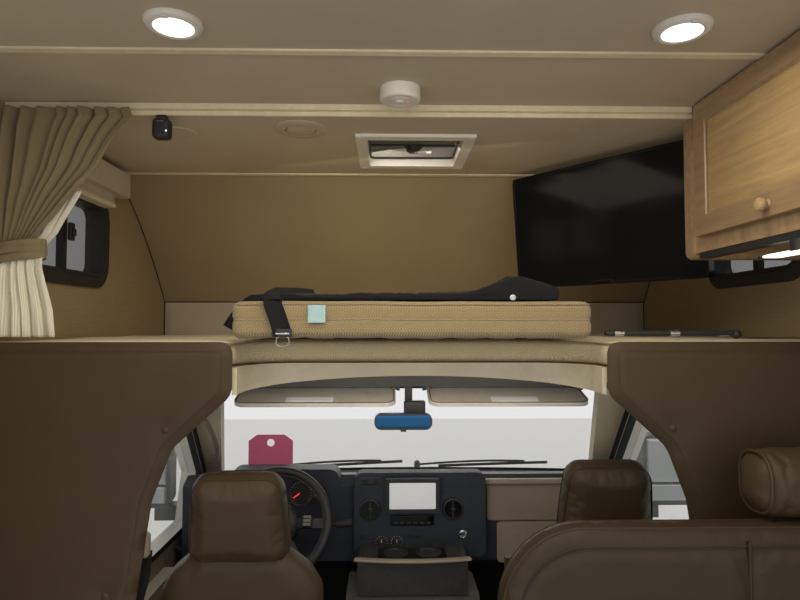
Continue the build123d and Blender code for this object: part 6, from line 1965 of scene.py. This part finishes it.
consoleValues = {"cups": (-0.06, 0.06), "mats": (-0.15, 0.15), "ribs": 10}
consoleLow, consoleHigh = nodeBox("console_tray")
consoleMid = (consoleLow + consoleHigh) / 2
z = float(consoleHigh[2])
rimProfile = [(0.046, 0.0), (0.046, 0.0035), (0.043, 0.005), (0.0385, 0.0045), (0.037, 0.001),
              (0.0365, 0.0006), (0.001, 0.0004)]
cups = []
for x in consoleValues["cups"]:
    cup = (x, consoleMid[1] - 0.005, z)
    cups.append((lathe(rimProfile, cup, (0, 0, 1), 48), 0))
    cups.append((lathe([(0.0355, 0.0008), (0.033, 0.0016), (0.001, 0.0016)], cup, (0, 0, 1), 40), 1))
    for angle in (30, 150, 270):
        finger = roundedBox((x + 0.028, cup[1] - 0.005, z + 0.0015),
                            (x + 0.037, cup[1] + 0.005, z + 0.0045), 0.0013, 5)
        cups.append((placed(finger, angle, (0, 0, 1), cup), 1))
rear, front = consoleLow[1], consoleHigh[1]
for x in consoleValues["mats"]:
    cups.append((roundedBox((x - 0.026, rear + 0.02, z - 0.001), (x + 0.026, front - 0.02, z + 0.0022),
                            0.0016, 8), 1))
    for y in np.linspace(rear + 0.03, front - 0.03, consoleValues["ribs"]):
        cups.append((roundedBox((x - 0.022, y - 0.0018, z + 0.0018), (x + 0.022, y + 0.0018, z + 0.0034),
                                0.0008, 4), 1))
makePiece("consoleDetail", cups, [blackPlastic, rubber], slot="dash_dark", sharp=40)

# Engine cover: a latch on each side
coverSide = float(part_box("engine_cover")[1][0])
latches = []
for side in (-1, 1):
    x = side * (coverSide + 0.0005)
    plate = roundedBox((x, 0.12, 0.455), (x + side * 0.008, 0.15, 0.535), 0.003, 8)
    lever = roundedBox((x + side * 0.006, 0.126, 0.47), (x + side * 0.015, 0.144, 0.52), 0.003, 8)
    latches += [(plate, 0), (lever, 1)]
makePiece("engineCoverLatches", latches, [blackPlastic, steel], slot="dash_dark", sharp=40)
print("console")


# Seat belts: webbing from the pillar guide down to a reel, with stalks by the seats

beltValues = {
    "width": 0.046, "thick": 0.0015, "guide": (0.742, -0.319, 1.112),
    "stalks": ((-0.235, 0.06), (0.303, 0.178)), "stalkLean": -14,
}


def beltParts(side):
    # Guide plate on the pillar, webbing with its tongue, and the reel at its foot.
    guide = np.array(beltValues["guide"]) * (side, 1, 1)
    plate = roundedBox(guide - (0.02, 0.0185, 0.03), guide + (0.02, 0.012, 0.036), 0.011, 12)
    slot = roundedBox(guide + (-0.017, -0.0005, -0.02), guide + (0.017, 0.0135, -0.014), 0.002, 6)
    bolt = lathe([(0.009, 0.0), (0.009, 0.003), (0.006, 0.005), (0.001, 0.0055)], guide + (0, 0.011, 0.018),
                 (0, 1, 0), 6)
    fall = [(0.742, -0.31, 1.098), (0.748, -0.307, 1.03), (0.782, -0.305, 0.9), (0.83, -0.304, 0.72),
            (0.866, -0.304, 0.56), (0.88, -0.304, 0.42)]
    path = evenly(np.array(fall) * (side, 1, 1), 0.012)
    web = sweep(roundRect(beltValues["thick"], beltValues["width"], 0.0006, 3), path, (1, 0, 0))
    tongue = roundedBox((side * 0.8 - 0.022, -0.309, 0.8), (side * 0.8 + 0.022, -0.298, 0.84), 0.004, 8)
    reel = roundedBox((side * 0.88 - 0.04, -0.334, 0.3), (side * 0.88 + 0.04, -0.284, 0.43), 0.01, 10)
    return [(plate, 0), (slot, 1), (bolt, 3), (web, 2), (tongue, 1), (reel, 1)]


makePiece("seatBelts", [*beltParts(-1), *beltParts(1)], [ledgePlastic, blackPlastic, blackWeb, steel],
          slot="taupe_plastic", sharp=40)
stalks = []
for x, y in beltValues["stalks"]:
    path = np.array([(x, y, 0.415), (x, y + 0.01, 0.47), (x, y + 0.025, 0.535)])
    stalks.append((sweep(roundRect(0.03, 0.008, 0.003, 3), evenly(path, 0.01), (1, 0, 0)), 0))
    buckle = roundedBox((x - 0.012, y + 0.002, 0.53), (x + 0.012, y + 0.042, 0.6), 0.006, 8)
    # The buckle's release key takes the red glow: painted glow, as the key is no lamp.
    key = roundedBox((x - 0.008, y + 0.012, 0.5985), (x + 0.008, y + 0.034, 0.6025), 0.0015, 5)
    for shell, index in ((buckle, 0), (key, 1)):
        lean = placed(shell, beltValues["stalkLean"], (1, 0, 0), (x, y + 0.02, 0.565))
        stalks.append((lean, index))
makePiece("beltStalks", stalks, [blackPlastic, redGlow], slot="dash_dark", sharp=40)
print("belts")


# Seat rails, and each seat's adjuster bar, recline lever and hinge covers

railValues = {"apart": 0.33, "long": 0.48, "rear": {"driver": -0.06, "passenger": 0.05}}
railShells = []
for who, x, hingeY in cabSeats:
    rear = railValues["rear"][who]
    front = rear + railValues["long"]
    for side in (-1, 1):
        at = x + side * railValues["apart"] / 2
        railShells.append((roundedBox((at - 0.018, rear, 0.398), (at + 0.018, front, 0.405), 0.002, 8), 0))
        railShells.append((roundedBox((at - 0.011, rear + 0.01, 0.404), (at + 0.011, front - 0.01, 0.416),
                                      0.003, 8), 0))
makePiece("seatRails", railShells, [steel], slot="dash_dark", sharp=40)
for who, x, hingeY in cabSeats:
    rear, front = hingeY + seatValues["hingeToRear"], hingeY + seatValues["hingeToFront"]
    barEnd = [(0.15, -0.06, 0.428), (0.15, -0.004, 0.424), (0.12, 0.012, 0.424)]
    barPath = [(x - a, front + b, z) for a, b, z in barEnd]
    barPath += [(x + a, front + b, z) for a, b, z in barEnd[::-1]]
    shell = [(tube(evenly(barPath, 0.012), 0.006, 12), 0)]
    for side in (-1, 1):
        at = x + side * 0.2445
        shell.append((roundedBox((at - 0.006, hingeY - 0.02, 0.462), (at + 0.006, rear + 0.08, 0.52), 0.005,
                                 10), 1))
        cover = [(0.026, -0.008), (0.026, 0.006), (0.022, 0.01), (0.001, 0.011)]
        shell.append((lathe(cover, (at, hingeY + 0.012, 0.52), (side, 0, 0), 32), 1))
    lever = roundedBox((x - 0.26, rear + 0.02, 0.478), (x - 0.25, rear + 0.15, 0.498), 0.005, 10)
    shell.append((lever, 1))
    makePiece(who + "SeatFittings", shell, [steel, blackPlastic], body=who + "_seat", slot="dark_vinyl",
              sharp=40)
print("seat rails")


# Doors: arm rests, pulls, handles, window cranks, pockets, speaker bars and lock pins


def doorParts(side):
    # What a door carries inside.
    rest = roundedBox((side * 0.852, -0.06, 0.672), (side * 0.925, 0.33, 0.722), 0.02, 14,
                      crown=(0, 0, 0.004))
    pull = np.array([(0.915, 0.345, 0.742), (0.878, 0.352, 0.755), (0.874, 0.385, 0.79),
                     (0.878, 0.42, 0.822), (0.915, 0.428, 0.835)])
    pull = tube(evenly(pull * (side, 1, 1), 0.008), 0.01, 12)
    handleCup = roundedBox((side * 0.906, 0.455, 0.77), (side * 0.922, 0.56, 0.83), 0.006, 10)
    handle = roundedBox((side * 0.896, 0.47, 0.792), (side * 0.909, 0.545, 0.808), 0.004, 8)
    crankFoot = [(0.022, 0.0), (0.022, 0.01), (0.018, 0.014), (0.001, 0.015)]
    crankFoot = lathe(crankFoot, (side * 0.922, 0.3, 0.61), (-side, 0, 0), 32)
    crankArm = np.array([(0.905, 0.3, 0.61), (0.9, 0.27, 0.575), (0.897, 0.236, 0.54)]) * (side, 1, 1)
    crankArm = sweep(roundRect(0.018, 0.007, 0.003, 3), evenly(crankArm, 0.008), (1, 0, 0))
    crankKnob = [(0.009, -0.002), (0.012, 0.006), (0.012, 0.022), (0.009, 0.028), (0.001, 0.029)]
    crankKnob = lathe(crankKnob, (side * 0.898, 0.236, 0.54), (-side, 0, 0), 24)
    pocket = roundedBox((side * 0.88, -0.08, 0.215), (side * 0.925, 0.52, 0.345), 0.016, 16,
                        crown=(0.006, 0, 0))
    grille = []
    for y in 0.52 + 0.012 * np.arange(9):
        grille.append((roundedBox((side * 0.905, y, 0.3), (side * 0.921, y + 0.006, 0.42), 0.002, 5), 1))
    lockPin = [(0.0045, 0.0), (0.0045, 0.016), (0.006, 0.02), (0.005, 0.03), (0.001, 0.031)]
    lockPin = lathe(lockPin, (side * 0.93, -0.165, 0.884), (0, 0, 1), 16)
    return [(rest, 0), (pull, 1), (handleCup, 1), (handle, 2), (crankFoot, 1), (crankArm, 1), (crankKnob, 1),
            (pocket, 0), *grille, (lockPin, 1)]


doorFace = 0.981  # distance of the doors' outside from the middle


def doorOutside(side):
    # Handle, keyhole and the rubber along the sill of the window.
    x = side * doorFace
    plate = roundedBox((x, -0.205, 0.755), (x + side * 0.006, -0.06, 0.8), 0.003, 10)
    bar = roundedBox((x + side * 0.016, -0.2, 0.778), (x + side * 0.028, -0.08, 0.8), 0.005, 10)
    posts = [roundedBox((x, y - 0.008, 0.78), (x + side * 0.02, y + 0.008, 0.798), 0.003, 6)
             for y in (-0.19, -0.092)]
    keyhole = [(0.011, 0.0), (0.011, 0.004), (0.009, 0.006), (0.004, 0.0055), (0.001, 0.005)]
    keyhole = lathe(keyhole, (x + side * 0.004, -0.07, 0.768), (side, 0, 0), 28)
    sill = tube(np.array([(x - side * 0.0015, -0.172, 0.874), (x - side * 0.001, 0.7, 0.874)]), 0.0055, 10)
    return [(plate, 1), (bar, 1), *[(post, 1) for post in posts], (keyhole, 2), (sill, 3)]


for side, label, body in ((-1, "leftDoor", "driver_door"), (1, "rightDoor", "passenger_door")):
    makePiece(label + "Trim", [*doorParts(side), *doorOutside(side)],
              [taupePlastic, blackPlastic, steel, rubber], body=body, slot="cab_shell", sharp=42)
print("doors")


# Loose things on the bunk: a dark cross rod with its ball knob, and a thin strap beside it

rodPath = np.array([(0.52, -0.29, 1.676), (0.64, -0.292, 1.677), (0.78, -0.296, 1.677),
                    (0.872, -0.3, 1.678)])
rod = tube(evenly(rodPath, 0.02), 0.008, 14)
rodSleeves = []
for x in (0.545, 0.7, 0.838):
    y = -0.292 - (x - 0.64) * 0.02
    rodSleeves.append((tube([(x, y, 1.6768), (x + 0.026, y - 0.0005, 1.6768)], 0.0092, 14), 1))
ballHalf = [(0.001, 0.0135), (0.007, 0.0115), (0.0118, 0.0065)]
ballProfile = [(r, -h) for r, h in ballHalf] + [(0.0135, 0.0)] + ballHalf[::-1]
ballKnob = lathe(ballProfile, (0.885, -0.3005, 1.6745), (1, 0, 0), 28)
looseEnds = np.array([(0.892, -0.3, 1.6655), (0.96, -0.296, 1.664), (1.04, -0.29, 1.6645),
                      (1.12, -0.288, 1.664)])
looseStrap = sweep(roundRect(0.022, 0.0016, 0.0006, 3), evenly(looseEnds, 0.01), (0, 0, 1))
makePiece("bunkRod", [(rod, 0), *rodSleeves, (ballKnob, 0), (looseStrap, 2)],
          [blackPlastic, steel, blackWeb], slot="net_black", sharp=50)
print("bunk rod")


# Outside: gutter and corner beads with their screws

outside = {"half": 1.22, "rear": -1.1, "roof": 2.38, "screws": np.arange(0.3, 2.3, 0.16)}


def bodyBead(path, width, height, up):
    # A half-round bead laid along a path on the skin.
    turn = np.linspace(0, math.pi, 9)
    profile = np.column_stack([np.cos(turn) * width / 2, np.sin(turn) * height])
    profile = np.vstack([profile, [(-width / 2, -height * 0.3), (width / 2, -height * 0.3)]])
    return sweep(profile, evenly(np.array(path, float), 0.03), up)


skinShells = []
for side in (-1, 1):
    x, rear, roof = side * outside["half"], outside["rear"], outside["roof"]
    skin = x + side * 0.001
    gutter = [(skin, rear + 0.004, roof - 0.018), (skin, 0.42, roof - 0.018)]
    skinShells.append((bodyBead(gutter, 0.016, 0.006, (side, 0, 0)), 0))
    cornerBead = [(skin, rear + 0.012, 0.225), (skin, rear + 0.012, roof - 0.05)]
    skinShells.append((bodyBead(cornerBead, 0.02, 0.004, (side, 0, 0)), 0))
    for z in outside["screws"]:
        screw = [(0.0042, 0.0), (0.0042, 0.0012), (0.003, 0.0024), (0.001, 0.0027)]
        skinShells.append((lathe(screw, (x + side * 0.0045, rear + 0.012, z), (side, 0, 0), 12), 1))
makePiece("coachTrims", skinShells, [whitePlastic, steel], slot="coach_wall", sharp=45)

# Bunk windows from outside: clamp ring and weep slots
windowRings = []
for side in (-1, 1):
    x = side * (outside["half"] + 0.0012)
    y0, y1, z0, z1 = bunkOpening
    middle = (x, (y0 + y1) / 2, (z0 + z1) / 2)
    ring = frameStrip((y1 - y0 + 0.01, z1 - z0 + 0.01), (0.074, 10), middle, 0, (0.016, 0.006, 0.002), 0.012)
    windowRings.append((ring, 0))
    for y in (y0 + 0.12, y1 - 0.12):
        windowRings.append((roundedBox((x + side * 0.001, y - 0.02, z0 - 0.007),
                                       (x + side * 0.006, y + 0.02, z0 - 0.001), 0.0015, 5), 1))
makePiece("bunkWindowRings", windowRings, [blackPlastic, rubber], slot="frame_black", sharp=45)

# Door mirrors: large and small pane, each with its rubber rim
for side, label, body in ((-1, "left", "driver_door"), (1, "right", "passenger_door")):
    low, high = nodeBox(label + "_door_mirror")
    x0, x1 = (low[0] + 0.016, low[0] + 0.234) if side < 0 else (high[0] - 0.234, high[0] - 0.016)
    top, rear = high[2] - 0.018, low[1] - 0.0005
    panes = ((top - 0.185, top), (top - 0.264, top - 0.195))
    glass = [(roundedBox((x0, rear - 0.0012, a), (x1, rear + 0.004, b), 0.0024, 14), 0) for a, b in panes]
    rims = []
    for a, b in panes:
        middle = ((x0 + x1) / 2, rear - 0.0004, (a + b) / 2)
        rim = frameStrip((x1 - x0 + 0.004, b - a + 0.004), (0.008, 5), middle, 1, (0.003, 0.004, 0.001),
                         0.008)
        rims.append((rim, 1))
    makePiece(label + "MirrorGlass", [*glass, *rims], [mirrorFace, rubber], body=body, slot="mirror_black",
              sharp=45)

# Marker lamps along the top of the nose, seated on its outer arc
noseValues = {"from": (0.44, 2.38), "to": (1.06, 1.795), "bow": 0.058,
              "lamps": (-0.95, -0.18, 0.0, 0.18, 0.95), "share": 0.11}


def nosePlace(share):
    # A point of the nose's arc in the y, z plane and its slope in degrees: the chord plus a bow.
    a, b = np.array(noseValues["from"]), np.array(noseValues["to"])
    chord = b - a
    normal = np.array((-chord[1], chord[0])) / np.linalg.norm(chord)
    point = a + chord * share + normal * noseValues["bow"] * 4 * share * (1 - share)
    slope = chord + normal * noseValues["bow"] * 4 * (1 - 2 * share)
    return point, math.degrees(math.atan2(slope[1], slope[0]))


(markerY, markerZ), markerLean = nosePlace(noseValues["share"])
markerShells = []
for x in noseValues["lamps"]:
    place = np.array((x, markerY, markerZ))
    base = roundedBox(place - (0.052, 0.018, 0.005), place + (0.052, 0.018, 0.009), 0.005, 10)
    lens = roundedBox(place - (0.044, 0.013, -0.003), place + (0.044, 0.013, 0.02), 0.008, 12)
    markerShells += [(placed(base, markerLean, (1, 0, 0), place), 0),
                     (placed(lens, markerLean, (1, 0, 0), place), 1)]
makePiece("markerLamps", markerShells, [whitePlastic, amberLens], slot="coach_wall", sharp=45)
print("outside")


# Floor, light and camera


def addArea(name, size, energy, place, target, colour=(1, 1, 1)):
    # An area light that looks at a point and isn't seen itself.
    light = bpy.data.lights.new(name, "AREA")
    light.shape = "RECTANGLE"
    light.size, light.size_y = size
    light.energy = energy
    light.color = colour
    lamp = bpy.data.objects.new(name, light)
    scene.collection.objects.link(lamp)
    lamp.location = place
    lamp.visible_camera = False
    lamp.rotation_euler = (Vector(target) - Vector(place)).to_track_quat("-Z", "Y").to_euler()
    return lamp


# Lamps: size, power in watts, place and the point that each looks at
studio = {
    "rearWindow": ((2.2, 2.0), 4.5, (0.0, -3.0, 1.7), (0.0, 0.5, 1.4)),
    "cabFront": ((2.6, 1.8), 34.0, (0.0, 3.2, 2.4), (0.0, 0.4, 1.1)),
    "overhead": ((3.0, 3.0), 20.0, (0.6, -0.6, 4.6), (0.0, 0.0, 1.5)),
    "leftSide": ((2.4, 2.0), 20.0, (-3.6, 0.6, 2.6), (0.0, 0.0, 1.2)),
    "rightSide": ((2.4, 2.0), 18.0, (3.6, 0.2, 2.6), (0.0, 0.0, 1.2)),
}
lampWarmth = (1.0, 0.9, 0.74)
lamps = {
    "livingFill": ((0.9, 0.5), 4.6, (0.0, -0.95, 2.24), (0.0, -0.6, 1.0)),
    "bunkFill": ((0.9, 0.5), 2.6, (-0.1, 0.02, 2.25), (0.0, 0.3, 1.6)),
    "headerFill": ((1.0, 0.05), 1.1, (0.0, -0.1, 1.5), (0.0, 0.4, 1.4)),
    "leftLamp": ((0.1, 0.1), 0.9, (-0.535, -0.725, 2.3), (-0.535, -0.725, 0.0)),
    "rightLamp": ((0.1, 0.1), 0.9, (0.535, -0.725, 2.3), (0.535, -0.725, 0.0)),
}
for label, (size, energy, place, target) in studio.items():
    addArea(label, size, energy, place, target, (1.0, 0.985, 0.96))
for label, (size, energy, place, target) in lamps.items():
    addArea(label, size, energy, place, target, lampWarmth)

floorMesh = bpy.data.meshes.new("studioFloor")
floorMesh.from_pydata([(-9, -9, 0), (9, -9, 0), (9, 9, 0), (-9, 9, 0)], [], [(0, 1, 2, 3)])
studioFloor = bpy.data.objects.new("studioFloor", floorMesh)
scene.collection.objects.link(studioFloor)
floorMaterial, floorTree, floorShader, floorAt = startMaterial("paleFloor", (0.88, 0.87, 0.85), 0.7)
floorTree.links.new(
    blendColours(floorTree, noiseAt(floorTree, floorAt, 2.0, 4.0), (0.86, 0.85, 0.83), (0.9, 0.89, 0.87)),
    floorShader.inputs["Base Color"],
)
floorMesh.materials.append(floorMaterial)
direct = newNode(floorTree, "ShaderNodeLightPath")
pale = newNode(floorTree, "ShaderNodeEmission", {"Color": (1.0, 0.995, 0.98, 1), "Strength": 0.93})
seenRays = calc(floorTree, "MAXIMUM", direct.outputs["Is Camera Ray"], direct.outputs["Is Transmission Ray"])
share = calc(floorTree, "MULTIPLY", seenRays, 0.55)
floorOut = floorTree.nodes["Material Output"]
mixed = newNode(floorTree, "ShaderNodeMixShader", {0: share, 1: floorShader.outputs[0], 2: pale.outputs[0]})
floorTree.links.new(mixed.outputs[0], floorOut.inputs["Surface"])

world = bpy.data.worlds.new("studioWorld")
world.use_nodes = True
scene.world = world
sky = world.node_tree
sky.nodes.clear()
rays = newNode(sky, "ShaderNodeLightPath")
seen = calc(sky, "MAXIMUM", rays.outputs["Is Camera Ray"], rays.outputs["Is Glossy Ray"])
seen = calc(sky, "MAXIMUM", seen, rays.outputs["Is Transmission Ray"])
soft = newNode(sky, "ShaderNodeBackground", {"Color": (1.0, 0.98, 0.95, 1), "Strength": 0.6})
white = newNode(sky, "ShaderNodeBackground", {"Color": (1, 1, 1, 1), "Strength": 1.0})
either = newNode(sky, "ShaderNodeMixShader", {0: seen, 1: soft.outputs[0], 2: white.outputs[0]})
newNode(sky, "ShaderNodeOutputWorld", {0: either.outputs[0]})

cameraValues = {"lens": 27.0, "sensor": 36.0, "place": (-0.088, -1.96, 1.7), "tilt": 92.39, "turn": -1.146}
camera = bpy.data.cameras.new("photoCamera")
camera.lens = cameraValues["lens"]
camera.sensor_width = cameraValues["sensor"]
eye = bpy.data.objects.new("photoCamera", camera)
scene.collection.objects.link(eye)
eye.location = cameraValues["place"]
eye.rotation_euler = (math.radians(cameraValues["tilt"]), 0, math.radians(cameraValues["turn"]))
scene.camera = eye
scene.view_settings.view_transform = "Standard"

print("scene ready")
